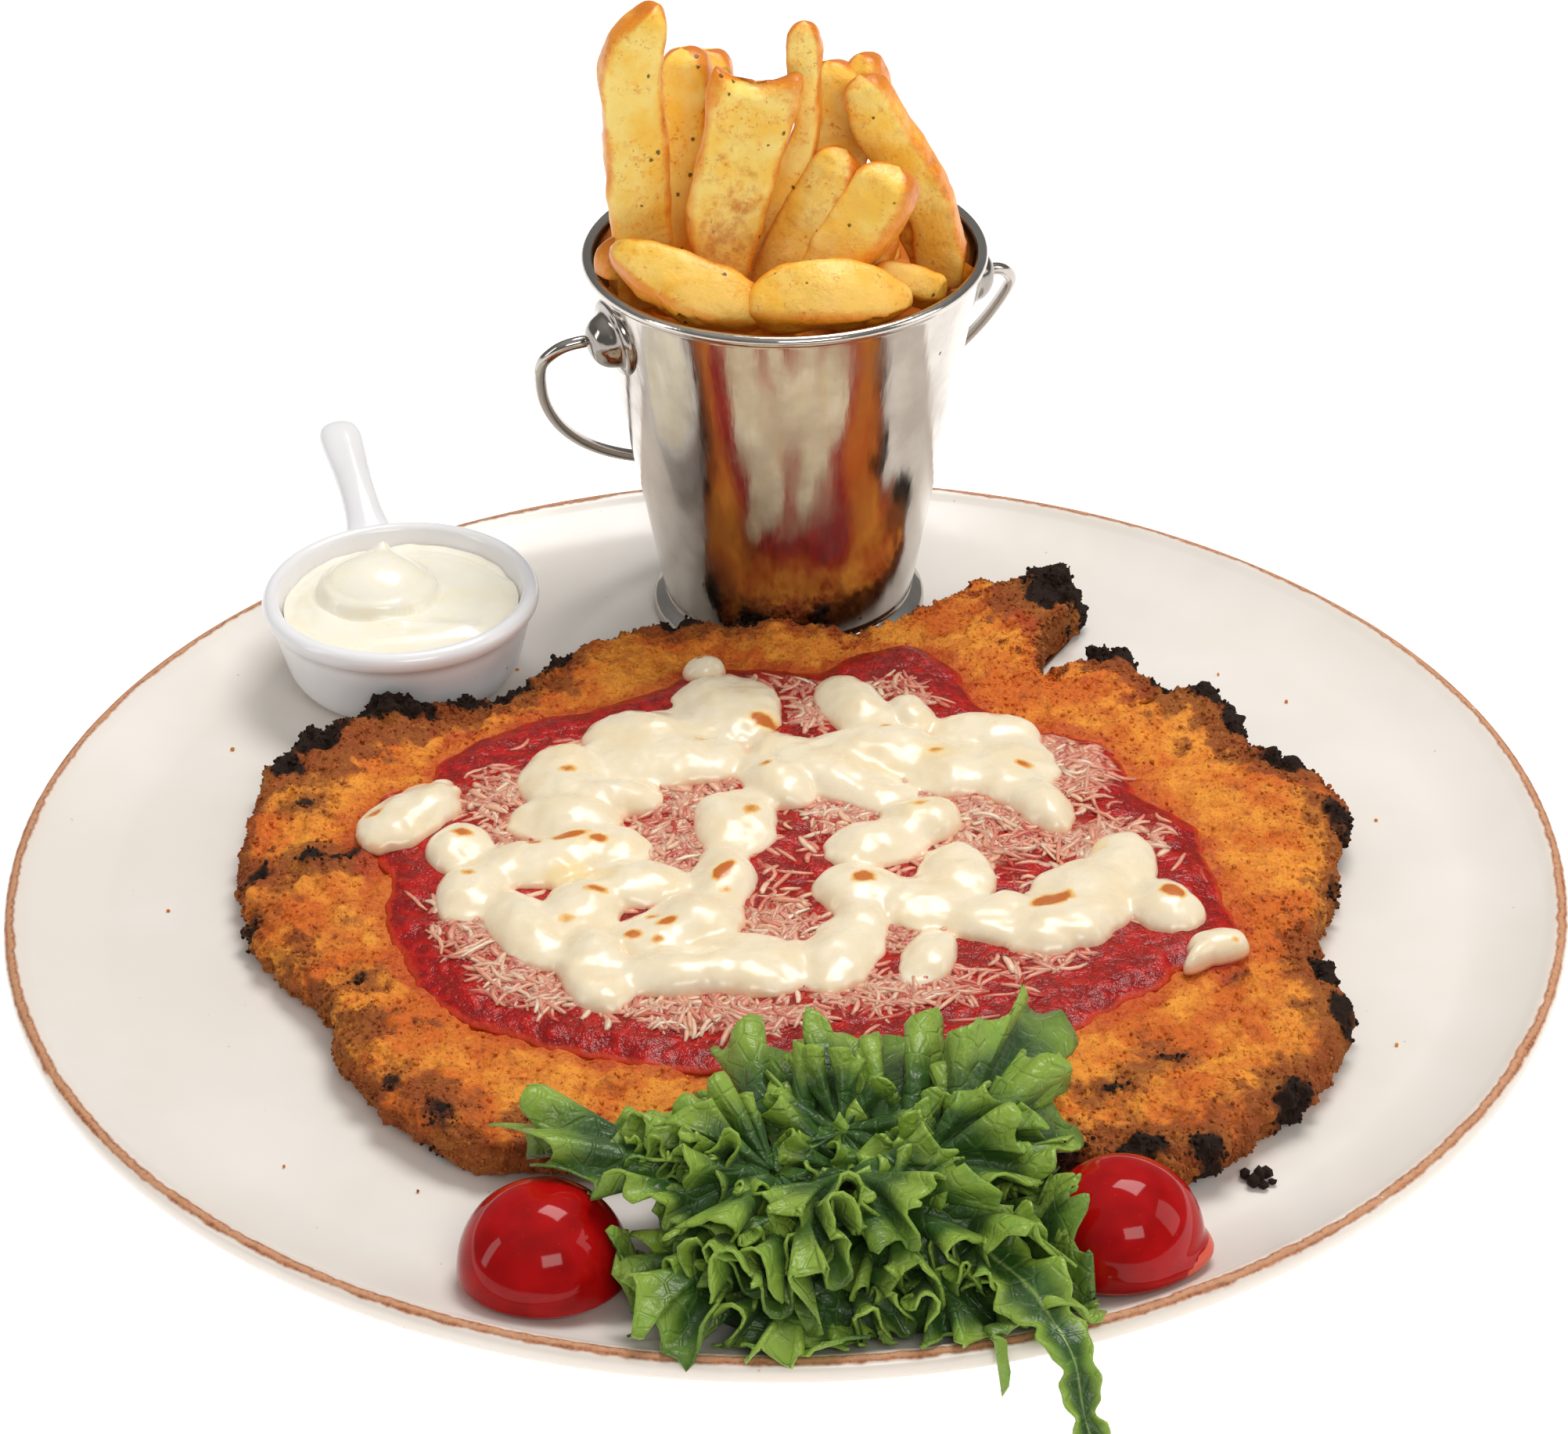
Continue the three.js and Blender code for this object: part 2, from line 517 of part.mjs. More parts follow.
// ---------------------------------------------------------------- tomato halves
/**
 * A tomato cut a little below its middle, lying cut side down. It leans as the slope under it does,
 * and belly is the height of its widest part above the cut.
 */
function tomatoHalf({ x, y, lift, tilt, radius, belly }) {
  const skin = [0.2, 0.42, 0.62, 0.8, 0.93].map((t) => [radius * Math.cos((t * Math.PI) / 2), belly + radius * Math.sin((t * Math.PI) / 2)]);
  const half = turned(
    [[0, 0], [radius * 0.9, 0], [radius * 0.965, 0.6], [radius, belly], ...skin, [0, belly + radius]],
    18,
  );
  const lean = new THREE.Quaternion().setFromAxisAngle(v3(-y, x).normalize(), -tilt * DEG);
  return geometryOf(solidOf(half.applyQuaternion(lean).translate(x, y, WELL + lift)).intersect(plateSpace()));
}
const TOMATO_LEFT = { x: -45.2, y: -130.8, lift: 1.5, tilt: 6.8, radius: 15.9, belly: 2.4 };
const TOMATO_RIGHT = { x: 61, y: -128.8, lift: 2.3, tilt: 9.6, radius: 15.1, belly: 4.4 };
add("tomato_left", tomatoHalf(TOMATO_LEFT), 0xa8151a, 0.12);
add("tomato_right", tomatoHalf(TOMATO_RIGHT), 0xa8151a, 0.12);

// ---------------------------------------------------------------- sauce dish with mayonnaise
/** Inner profile of the sauce dish, from the middle of its floor to the inside of its lip. */
function dishInside(shrink) {
  const { foot, radius, height, wall } = DISH;
  return [
    [0, WELL + 3.4 + shrink],
    [foot - 2.6 - shrink, WELL + 3.6 + shrink],
    [foot + 1.2 - shrink, WELL + 6.4 + shrink],
    [radius - wall - 1.4 - shrink, WELL + height - 7],
    [radius - wall - 0.3 - shrink, WELL + height - 1.8],
  ];
}

/** The porcelain dish with its rounded band under the lip and a stub handle. */
function dish() {
  const { foot, radius, height } = DISH;
  const top = WELL + height;
  const bowl = turned(
    [
      [0, WELL], [foot - 1.5, WELL], [foot, WELL + 0.5], [foot + 3.4, WELL + 2.4], [foot + 6, WELL + 7.4],
      [radius - 2.2, top - 6.4], [radius - 1.6, top - 4.6], [radius - 0.2, top - 3.6], [radius, top - 2],
      [radius - 0.9, top - 0.5], [radius - 2.2, top], ...dishInside(0).reverse(),
    ],
    28,
  );
  const { length, rise, bearing, neck, tip, thick } = DISH_HANDLE;
  const out = v3(Math.cos(bearing * DEG), Math.sin(bearing * DEG));
  const path = [-2, 0, 0.35, 0.75, 1].map((t, k) => {
    const reach = k === 0 ? radius - 2.6 : radius + t * length;
    return out.clone().multiplyScalar(reach).setZ(top - 4 + (reach - radius) * Math.tan(rise * DEG));
  });
  const widths = [neck + 5, neck + 2.4, neck, neck + 1.4, tip, tip * 0.55].map((w) => w / 2);
  const stations = widths.map((w, k) => [w, (k === 5 ? thick * 0.5 : thick) / 2]);
  const across = v3(-out.y, out.x);
  const handle = solidOf(bar(path, stations, across, 10, 1));
  return geometryOf(solidOf(bowl).add(handle)).translate(DISH.x, DISH.y, 0);
}
add("sauce_dish", dish(), 0xf1eff0, 0.12);

/** Mayonnaise spooned in: a high smooth mound left of the middle with a small peak, and a fold. */
function mayonnaise() {
  const sides = 22;
  const wall = dishInside(GAP);
  const level = WELL + DISH.height - DISH.fill;
  const slope = (level - wall[3][1]) / (wall[4][1] - wall[3][1]);
  const rim = lerp(wall[3][0], wall[4][0], slope);
  const mound = (x, y) => {
    const d = Math.hypot((x + 5.5) / 13.5, (y - 3.5) / 12.5);
    const hump = 6.4 * Math.sqrt(Math.max(0, 1 - d ** 2.4));
    const peak = 1.8 * Math.exp(-((x + 4.5) ** 2 + (y - 12) ** 2) / 3);
    const fold = 0.8 * Math.exp(-(((y + 10 + x * 0.12) / 2.4) ** 2)) * smooth(x, -12, 10);
    const edge = smooth(rim - Math.hypot(x, y), 0, 4);
    return level + edge * (hump + peak + fold);
  };
  const circle = (radius, z) =>
    Array.from({ length: sides }, (_, i) => {
      const angle = (i / sides) * 2 * Math.PI;
      const [x, y] = [radius * Math.cos(angle), radius * Math.sin(angle)];
      return v3(x, y, z ?? mound(x, y));
    });
  return ringSolid([
    circle(wall[1][0], wall[1][1]), circle(wall[2][0], wall[2][1]), circle(wall[3][0], wall[3][1]),
    circle(rim), circle(rim * 0.86), circle(rim * 0.7), circle(rim * 0.52), circle(rim * 0.34), circle(rim * 0.16),
  ]).translate(DISH.x, DISH.y, 0);
}
add("mayonnaise", mayonnaise(), 0xf3e7cb, 0.2);

// ---------------------------------------------------------------- pail
/** Outer radius of the pail's wall at a height, grown by a margin. */
function pailRadius(z, grow = 0) {
  return lerp(PAIL.bottom, PAIL.radius - 1.2, (z - WELL - 6) / (PAIL_TOP - 3 - WELL - 6)) + grow;
}

/** Profile of the pail: foot ring, groove, flaring wall, rolled bead, and the wall's inside. */
function pailProfile(grow) {
  const { foot, bottom, radius, wall, bead } = PAIL;
  const neck = PAIL_TOP - 3;
  const inside = [
    [radius - 2 * bead + 0.3 - grow, PAIL_TOP - 1.6],
    [pailRadius(neck) - wall - grow, neck],
    [bottom - wall - grow, WELL + 7],
    [0, WELL + 7],
  ];
  return [
    [0, WELL - grow], [foot - 2 + grow, WELL - grow], [foot + grow, WELL + 1.2], [foot - 0.2 + grow, WELL + 2.6],
    [bottom - 0.4 + grow, WELL + 4.9], [bottom + grow, WELL + 6], [pailRadius(neck, grow), neck],
    [radius + grow, PAIL_TOP - 2.6], [radius + 0.1 + grow, PAIL_TOP - 1.4], [radius - bead + grow, PAIL_TOP + grow],
    ...inside,
  ];
}
add("pail", turned(pailProfile(0), PAIL.sides).translate(PAIL.x, PAIL.y, 0), 0xb9b4ad, 0.22, 1);

const hinge = v3(Math.cos(AXIS.bearing * DEG), Math.sin(AXIS.bearing * DEG));
const hingeMiddle = v3(PAIL.x, PAIL.y, AXIS.height);
const lean = Math.atan2(PAIL.radius - PAIL.bottom, PAIL.height);

/**
 * A pressed ear: a dome on a round flange against the wall. The wire turns in a hole through the rear
 * of the dome, so the dome sits a few degrees in front of the hinge line.
 */
function ear(side) {
  const dome = turned(
    [[0, -2.4], [EAR.radius, -2.4], [EAR.radius, 0.7], [EAR.radius * 0.76, 1.1], [EAR.radius * 0.72, 3.2],
      [EAR.radius * 0.54, 5.4], [EAR.radius * 0.24, EAR.dome], [0, EAR.dome]],
    14,
  ).scale(1, 1.04, 1);
  const bearing = (AXIS.bearing - side * EAR.forward + (side < 0 ? 180 : 0)) * DEG;
  const outward = v3(Math.cos(bearing), Math.sin(bearing));
  const normal = outward.clone().multiplyScalar(Math.cos(lean)).addScaledVector(UP, -Math.sin(lean));
  const level = UP.clone().cross(outward);
  const turn = new THREE.Matrix4().makeBasis(level, normal.clone().cross(level), normal);
  const foot = outward.clone().multiplyScalar(pailRadius(EAR.height));
  dome.applyMatrix4(turn).translate(PAIL.x + foot.x, PAIL.y + foot.y, EAR.height);
  const wall = solidOf(turned([[0, WELL + 6], ...pailProfile(GAP).slice(5, 7), [0, PAIL_TOP - 3]], PAIL.sides));
  const line = hinge.clone().multiplyScalar(side);
  const bore = new THREE.CylinderGeometry(EAR.hole, EAR.hole, 12, 12);
  bore.applyQuaternion(new THREE.Quaternion().setFromUnitVectors(v3(0, 1), line));
  const inner = hingeMiddle.clone().addScaledVector(line, BAIL.end - 0.5 + 6);
  bore.translate(inner.x, inner.y, inner.z);
  return geometryOf(solidOf(dome).subtract(wall.translate([PAIL.x, PAIL.y, 0])).subtract(solidOf(bore)));
}
add("pail_ear_left", ear(-1), 0x8f8a84, 0.25, 1);
add("pail_ear_right", ear(1), 0x8f8a84, 0.25, 1);

/**
 * Middle line of the bail: straight out of each ear, round a corner, then down and round in half of a
 * rounded oval. At rest it hangs at an angle below the horizontal against the back of the pail.
 */
class BailLine extends THREE.Curve {
  constructor() {
    super();
    const { halfSpan, reach, corner, power, end, hang } = BAIL;
    const drop = UP.clone().cross(hinge).multiplyScalar(Math.cos(hang * DEG)).addScaledVector(UP, -Math.sin(hang * DEG));
    const half = [[end, 0], [halfSpan - corner * 0.72, 0]];
    for (let t = 0.25; t < 1; t += 0.25) {
      const angle = (t * Math.PI) / 2;
      half.push([halfSpan - corner * 0.72 * (1 - Math.sin(angle)), corner * (1 - Math.cos(angle))]);
    }
    for (let angle = 16; angle <= 90; angle += 74 / 7) {
      const [c, s] = [Math.cos(angle * DEG), Math.sin(angle * DEG)];
      half.push([halfSpan * Math.max(0, c) ** (2 / power), reach * s ** (2 / power)]);
    }
    const mirrored = half.slice(0, -1).reverse().map(([u, v]) => [-u, v]);
    const points = [...half, ...mirrored].map(([u, v]) =>
      hingeMiddle.clone().addScaledVector(hinge, u).addScaledVector(drop, v),
    );
    this.spline = new THREE.CatmullRomCurve3(points, false, "centripetal");
  }

  getPoint(t, target = new THREE.Vector3()) {
    return this.spline.getPoint(t, target);
  }
}

/** The bail: one bent wire. */
function bail() {
  const section = new THREE.Shape();
  section.absarc(0, 0, BAIL.wire, 0, 2 * Math.PI);
  return new THREE.ExtrudeGeometry(section, {
    extrudePath: new BailLine(),
    steps: 38,
    curveSegments: 4,
    bevelEnabled: false,
  });
}
add("bail", bail(), 0xa39d96, 0.25, 1);

// ---------------------------------------------------------------- fries
// Each fry: its middle line from the tip down, half widths along it, half thickness, and the bearing
// of its broad side.
const FRIES = [
  { line: [[-24, 105, 162.5], [-30.5, 105, 150], [-29.5, 105, 128], [-28, 106, 90]], halves: [1.6, 5.6, 6.4, 5.8, 6.3], thick: 4.6, face: 6 },
  { line: [[-20.5, 119, 147.5], [-19, 119, 138], [-20, 119, 118], [-22, 118, 88]], halves: [3.4, 5, 4.8, 3.8, 3], thick: 4.6, face: -8 },
  { line: [[-14.5, 131, 140.5], [-14, 131, 134], [-14, 130, 112], [-14, 126, 88]], halves: [3, 4.6, 5, 4.6, 4.2], thick: 4.4, face: 10 },
  { line: [[-3.4, 104, 143], [-5.4, 103, 132], [-10, 101, 115], [-13, 98, 86]], halves: [7.4, 7.8, 7, 6, 4], thick: 4.6, face: 4 },
  { line: [[6, 110, 156.5], [6.5, 110, 148], [6, 110, 131], [-1, 109, 111], [-8, 108, 88]], halves: [2.4, 3.8, 2.9, 2.8, 3.6, 3.4], thick: 3.6, face: -10 },
  { line: [[10, 122, 141], [14, 122, 129], [8, 121, 110], [2, 118, 88]], halves: [2.2, 5.2, 5.8, 5, 4.4], thick: 4.2, face: 8 },
  { line: [[17, 112, 144], [23.5, 112, 130], [32.6, 112, 114.5], [37.4, 110, 94]], halves: [3.6, 5, 5.6, 5.6, 4.6], thick: 4.8, face: -14 },
  { line: [[14.5, 107, 127.5], [9, 105, 116], [2, 102, 104], [-6, 99, 86]], halves: [3.6, 5, 5, 4.6, 4.2], thick: 4.4, face: -28 },
  { line: [[25, 99, 127], [20, 98, 118], [12, 96, 107], [4, 93, 86]], halves: [3.8, 5, 5, 4.8, 4.2], thick: 4.6, face: -30 },
  { line: [[24, 104, 112], [19, 101, 103], [14, 98, 86]], halves: [3.4, 4, 4, 3.6], thick: 4, face: -20 },
  { line: [[-36, 93, 112], [-22, 87, 107], [-8, 84, 103], [2, 84, 99]], halves: [1.6, 4.6, 5, 4.2, 2.4], thick: 4.6, face: 80 },
  { line: [[-8, 83, 104], [6, 82, 107], [18, 83, 106], [30, 87, 102]], halves: [2, 5.4, 6, 5, 2], thick: 5, face: 82 },
  { line: [[20, 92, 106], [28, 93, 104], [36, 96, 100]], halves: [3.4, 4.2, 4, 2.6], thick: 4, face: 75 },
  { line: [[29, 117, 110], [33, 115, 100], [35, 112, 87]], halves: [4, 4.6, 4.4, 4], thick: 4, face: -10 },
  { line: [[-35, 102, 110], [-35, 102, 100], [-33, 104, 86]], halves: [3, 4, 4, 3.6], thick: 3.6, face: 40 },
  { line: [[14, 138, 112], [20, 134, 102], [22, 130, 88]], halves: [4, 5, 5, 4], thick: 4.4, face: 20 },
  { line: [[-8, 146, 108], [6, 147, 106], [20, 144, 100]], halves: [3, 4.8, 4.6, 3], thick: 4.6, face: 85 },
];

/** The heap of fries: the pieces that show, joined to a core that fills the pail below them. */
function fries() {
  const coreTop = PAIL_TOP - 9;
  const core = turned(
    [[0, WELL + 7 + GAP], [PAIL.bottom - 2, WELL + 7 + GAP], [pailRadius(coreTop) - 3, coreTop - 3],
      [pailRadius(coreTop) - 9, coreTop], [0, coreTop + 2]],
    20,
  ).translate(PAIL.x, PAIL.y, 0);
  const pieces = FRIES.map(({ line, halves, thick, face }) => {
    const across = v3(Math.cos(face * DEG), Math.sin(face * DEG), face > 45 ? 0.9 : 0);
    const stations = halves.map((half, k) => [half, thick * (k === 0 || k === halves.length - 1 ? 0.7 : 1)]);
    return solidOf(bar(line.map((p) => v3(...p)), stations, across));
  });
  const heap = pieces.reduce((whole, piece) => whole.add(piece), solidOf(core));
  const pail = solidOf(turned(pailProfile(GAP), PAIL.sides).translate(PAIL.x, PAIL.y, 0));
  return geometryOf(heap.subtract(pail));
}
add("fries", fries(), 0xe0952a, 0.45);

// ---------------------------------------------------------------- lettuce
/** Highest surface under the garnish at (x, y): plate, cutlet or tomato. */
function ground(x, y) {
  const radius = Math.hypot(x, y);
  let z = radius < PLATE.radius + 2 ? plateTop(radius) : 1;
  if (depthIn(cutletLine, x, y) > -4) z = Math.max(z, CUTLET.top + 2.2);
  [TOMATO_LEFT, TOMATO_RIGHT].forEach((half) => {
    const d = Math.hypot(x - half.x, y - half.y) / (half.radius + 2.6);
    if (d < 1) z = Math.max(z, WELL + half.lift + half.belly + 1.4 + (half.radius + 1) * Math.sqrt(1 - d * d));
  });
  return z;
}
const cutletLine = outline(CUTLET_EDGE, 80);

// Each leaf: where it starts and ends, how high it arches, its half width, and its ruffles.
const LEAVES = [
  { from: [-8, -124, 24], to: [-47, -118, 33], arch: 9, half: 9, ruffle: 2.2, waves: 2 },
  { from: [4, -122, 22], to: [-8, -90, 33], arch: 6, half: 11, ruffle: 2.6, waves: 2.5 },
  { from: [14, -122, 22], to: [7, -84, 32], arch: 7, half: 9, ruffle: 2.4, waves: 2.2 },
  { from: [22, -122, 24], to: [24, -88, 32], arch: 7, half: 11, ruffle: 2.8, waves: 2.6 },
  { from: [24, -124, 24], to: [46, -86, 34], arch: 8, half: 10, ruffle: 2.6, waves: 2.4 },
  { from: [24, -130, 22], to: [56, -144, 24], arch: 9, half: 10, ruffle: 2.6, waves: 2.4 },
  { from: [4, -130, 20], to: [-33, -152, 18], arch: 10, half: 12, ruffle: 3, waves: 2.6 },
  { from: [6, -130, 22], to: [-15, -165, 18], arch: 8, half: 11, ruffle: 3, waves: 3 },
  { from: [10, -130, 22], to: [9, -165, 15], arch: 10, half: 11, ruffle: 3, waves: 3 },
  { from: [20, -130, 22], to: [36, -161, 16], arch: 9, half: 7.5, ruffle: 2.6, waves: 2.8 },
  { from: [32, -136, 26], to: [58, -176, 5], arch: 9, half: 2.8, ruffle: 0.8, waves: 2 },
  { from: [10, -116, 26], to: [14, -142, 38], arch: 4, half: 15, ruffle: 3.4, waves: 3 },
];

/** One thin wavy leaf. Both faces share one grid, a leaf's thickness apart. */
function leaf({ from, to, arch, half, ruffle, waves }) {
  const [along, across] = [5, 4];
  const thickness = 1.1;
  const [start, end] = [v3(...from), v3(...to)];
  const run = end.clone().sub(start);
  const side = UP.clone().cross(run).normalize();
  const face = (offset) => {
    const points = [];
    for (let i = 0; i <= along; i += 1) {
      for (let j = 0; j <= across; j += 1) {
        const [u, v] = [i / along, (j / across) * 2 - 1];
        const width = half * (0.35 + 0.65 * Math.sin(Math.PI * Math.min(1, 0.12 + u * 0.72)) ** 0.8) * (i === along ? 0.6 : 1);
        const p = start.clone().addScaledVector(run, u).addScaledVector(side, v * width * (1 + 0.16 * Math.sin(u * 17 + v * 5)));
        const frill = ruffle * v * v * Math.sin(u * waves * 2 * Math.PI + (v > 0 ? 1.3 : 0));
        const cup = -0.16 * half * v * v;
        p.z += arch * 4 * u * (1 - u) * 0.5 + frill + cup;
        p.z = Math.max(p.z, ground(p.x, p.y) + 1.3);
        points.push(p.setZ(p.z + offset));
      }
    }
    return points;
  };
  const count = (along + 1) * (across + 1);
  const faces = [];
  const edge = [];
  const id = (i, j) => i * (across + 1) + j;
  for (let i = 0; i < along; i += 1) {
    for (let j = 0; j < across; j += 1) {
      const [a, b, c, d] = [id(i, j), id(i + 1, j), id(i + 1, j + 1), id(i, j + 1)];
      faces.push([a, b, c], [a, c, d], [a + count, c + count, b + count], [a + count, d + count, c + count]);
    }
  }
  for (let i = 0; i < along; i += 1) edge.push([id(i, 0), id(i + 1, 0)], [id(i + 1, across), id(i, across)]);
  for (let j = 0; j < across; j += 1) edge.push([id(0, j + 1), id(0, j)], [id(along, j), id(along, j + 1)]);
  edge.forEach(([a, b]) => faces.push([b, a, a + count], [b, a + count, b + count]));
  return shape([...face(0), ...face(thickness)], faces);
}

/** The garnish: leaves joined to a low heap of their stalks between the cutlet and the plate's rim. */
function lettuce() {
  const mound = new THREE.SphereGeometry(1, 12, 7).scale(28, 20, 19).translate(10, -133, 21);
  const cut = ringSolid([WELL - 1, CUTLET.top + 1].map((z) => cutletLine.map((p) => {
    const far = 1 + 3.4 / p.length();
    return v3(p.x * far, p.y * far, z);
  })));
  const heap = solidOf(mound).subtract(solidOf(cut));
  const whole = LEAVES.reduce((sum, one) => sum.add(solidOf(leaf(one))), heap);
  return geometryOf(whole.intersect(plateSpace()));
}
add("lettuce", lettuce(), 0x6d9432, 0.5);

export default group;
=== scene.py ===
"""Chicken parmigiana as it is served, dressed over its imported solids.

A stoneware plate holds a crumbed cutlet under tomato sauce, melted cheese and grated cheese, a frilly
lettuce garnish between two tomato halves, a small porcelain dish of mayonnaise and a steel pail of
thick-cut fries whose bail swings. Shapes are worked out in millimetres and written in metres, +Z up, from
the middle of the plate's flat foot.
"""

import logging
import math
from dataclasses import dataclass, field
from enum import Enum

import bpy
import numpy as np
from mathutils import Matrix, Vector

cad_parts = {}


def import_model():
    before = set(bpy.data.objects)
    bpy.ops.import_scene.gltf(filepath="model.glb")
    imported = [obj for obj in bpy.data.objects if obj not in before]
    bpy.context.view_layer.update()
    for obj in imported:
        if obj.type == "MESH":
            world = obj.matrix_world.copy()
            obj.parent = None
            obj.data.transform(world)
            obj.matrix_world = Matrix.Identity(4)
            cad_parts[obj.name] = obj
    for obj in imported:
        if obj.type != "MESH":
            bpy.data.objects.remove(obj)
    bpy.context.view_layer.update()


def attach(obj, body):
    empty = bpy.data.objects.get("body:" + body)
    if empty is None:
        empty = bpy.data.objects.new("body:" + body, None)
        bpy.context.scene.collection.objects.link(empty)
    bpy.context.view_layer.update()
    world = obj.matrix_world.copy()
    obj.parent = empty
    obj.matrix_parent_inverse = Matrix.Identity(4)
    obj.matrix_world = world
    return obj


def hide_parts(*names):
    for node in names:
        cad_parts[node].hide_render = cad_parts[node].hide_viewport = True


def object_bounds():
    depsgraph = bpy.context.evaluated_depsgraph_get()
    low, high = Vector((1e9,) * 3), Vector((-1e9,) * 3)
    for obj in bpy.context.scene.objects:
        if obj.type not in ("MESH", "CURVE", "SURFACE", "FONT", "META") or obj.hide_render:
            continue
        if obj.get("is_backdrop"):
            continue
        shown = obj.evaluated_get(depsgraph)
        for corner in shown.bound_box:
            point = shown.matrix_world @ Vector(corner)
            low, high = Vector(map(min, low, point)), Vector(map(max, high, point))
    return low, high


LOG = logging.getLogger("serving")
MM = 0.001  # metres in a millimetre
GAP = 0.3  # play between pieces that touch
WELL = 12.1  # height of what stands in the plate's well
CRUST = 22.0  # height of the cutlet's face
Array = np.ndarray
Colour = tuple[float, float, float, float]
Place = tuple[float, float, float]
Marks = list[tuple[float, ...]]
Material = bpy.types.Material
Piece = bpy.types.Object


# ---- numbers over a surface
def hashed(cell: Array, seed: int) -> Array:
    """A repeatable value from -1 to 1 for each whole-number cell, by multiplying and folding bits.

    Args:
        cell: Whole numbers, (n, 3).
        seed: Which of many fields.

    Returns:
        One value a row.
    """
    c = cell.astype(np.int64).astype(np.uint64)
    mixed = c[:, 0] * np.uint64(73856093) ^ c[:, 1] * np.uint64(19349663) ^ c[:, 2] * np.uint64(83492791)
    mixed = (mixed + np.uint64(seed) * np.uint64(2654435761)) * np.uint64(6364136223846793005)
    mixed ^= mixed >> np.uint64(31)
    mixed *= np.uint64(1442695040888963407)
    return (mixed >> np.uint64(40)).astype(float) / float(2**23) - 1.0


def noise(points: Array, size: float, seed: int = 0, octaves: int = 1) -> Array:
    """Smooth random relief: cell values blended by 3t^2 - 2t^3, each octave half the size and height.

    Args:
        points: Places in millimetres, (n, 3).
        size: Width of the largest lumps in millimetres.
        seed: Which of many fields.
        octaves: How many sizes are summed.

    Returns:
        A value of about -1 to 1 at each place.
    """
    total, weight, scale = np.zeros(len(points)), 0.0, 1.0
    for octave in range(octaves):
        place = points / (size * scale)
        low = np.floor(place)
        t = place - low
        t = t * t * (3 - 2 * t)
        value = np.zeros(len(points))
        for corner in np.ndindex(2, 2, 2):
            share = np.prod(np.where(np.array(corner) == 1, t, 1 - t), axis=1)
            value += share * hashed(low + np.array(corner), seed + 17 * octave)
        total += value * scale
        weight += scale
        scale *= 0.5
    return total / weight * 1.5


def ease(value: Array, low: float, high: float) -> Array:
    """0 below low, 1 above high and smooth between them."""
    t = np.clip((value - low) / (high - low), 0, 1)
    return t * t * (3 - 2 * t)


def bell(distance: Array, width: float) -> Array:
    """1 at distance 0 and falling off on both sides: exp(-(distance / width)^2)."""
    return np.exp(-((distance / width) ** 2))


def flat(x: Array, y: Array) -> Array:
    """Places (x, y, 0) from two arrays of one shape, as (n, 3)."""
    return np.stack([x.ravel(), y.ravel(), np.zeros(x.size)], -1)


def uneven(x: Array, y: Array, size: float, seed: int, octaves: int = 1) -> Array:
    """Noise at level places, in the shape of x."""
    return noise(flat(x, y), size, seed, octaves).reshape(x.shape)


def unit(vectors: Array) -> Array:
    """Each vector divided by its length."""
    return vectors / np.maximum(np.linalg.norm(vectors, axis=-1, keepdims=True), 1e-9)


def oval(x: Array, y: Array, mark: tuple[float, ...]) -> Array:
    """Square of the distance from an oval's middle, 1 at its edge; a mark starts x, y, halves, bearing.

    Args:
        x: Places, any shape.
        y: Places, the same shape.
        mark: The oval.

    Returns:
        A value at each place.
    """
    cx, cy, long, wide, bearing = mark[:5]
    c, s, _ = polar(bearing)
    return (((x - cx) * c + (y - cy) * s) / long) ** 2 + (((y - cy) * c - (x - cx) * s) / wide) ** 2


def around(count: int, shift: float = 0.0) -> Array:
    """Evenly spaced angles of one turn."""
    return (np.arange(count) + shift) / count * 2 * np.pi


def polar(bearing: float) -> Array:
    """The level direction at a bearing in degrees, anticlockwise from +X."""
    return np.array([math.cos(math.radians(bearing)), math.sin(math.radians(bearing)), 0.0])


def run_of(line: Array) -> Array:
    """Distance along a line of points, from 0 at the first."""
    return np.concatenate([[0], np.cumsum(np.linalg.norm(np.diff(line, axis=0), axis=1))])


def through(points: Array, samples: int, closed: bool = False) -> Array:
    """A smooth curve through points, with as many samples for each stretch between neighbours.

    Each stretch is a cubic whose end slopes are weighted by the roots of the neighbouring distances.

    Args:
        points: The points, (n, d).
        samples: How many samples in all.
        closed: Whether the last point joins the first.

    Returns:
        The samples, (samples, d), the end included only where the curve is open.
    """
    points = np.asarray(points, float)
    n = len(points)
    if closed:
        t = np.arange(samples) / samples * n
        base = np.floor(t).astype(int)
        p = [points[(base + k) % n] for k in (-1, 0, 1, 2)]
    else:
        ends = np.vstack([2 * points[0] - points[1], points, 2 * points[-1] - points[-2]])
        t = np.linspace(0, n - 1, samples)
        base = np.minimum(np.floor(t).astype(int), n - 2)
        p = [ends[base + k] for k in range(4)]
    t = (t - base)[:, None]
    d = [np.maximum(np.linalg.norm(p[k + 1] - p[k], axis=1), 1e-6)[:, None] ** 0.5 for k in range(3)]
    m1 = ((p[1] - p[0]) / d[0] - (p[2] - p[0]) / (d[0] + d[1]) + (p[2] - p[1]) / d[1]) * d[1]
    m2 = ((p[2] - p[1]) / d[1] - (p[3] - p[1]) / (d[1] + d[2]) + (p[3] - p[2]) / d[2]) * d[1]
    bend = -3 * p[1] + 3 * p[2] - 2 * m1 - m2
    turn = 2 * p[1] - 2 * p[2] + m1 + m2
    return p[1] + m1 * t + bend * t**2 + turn * t**3


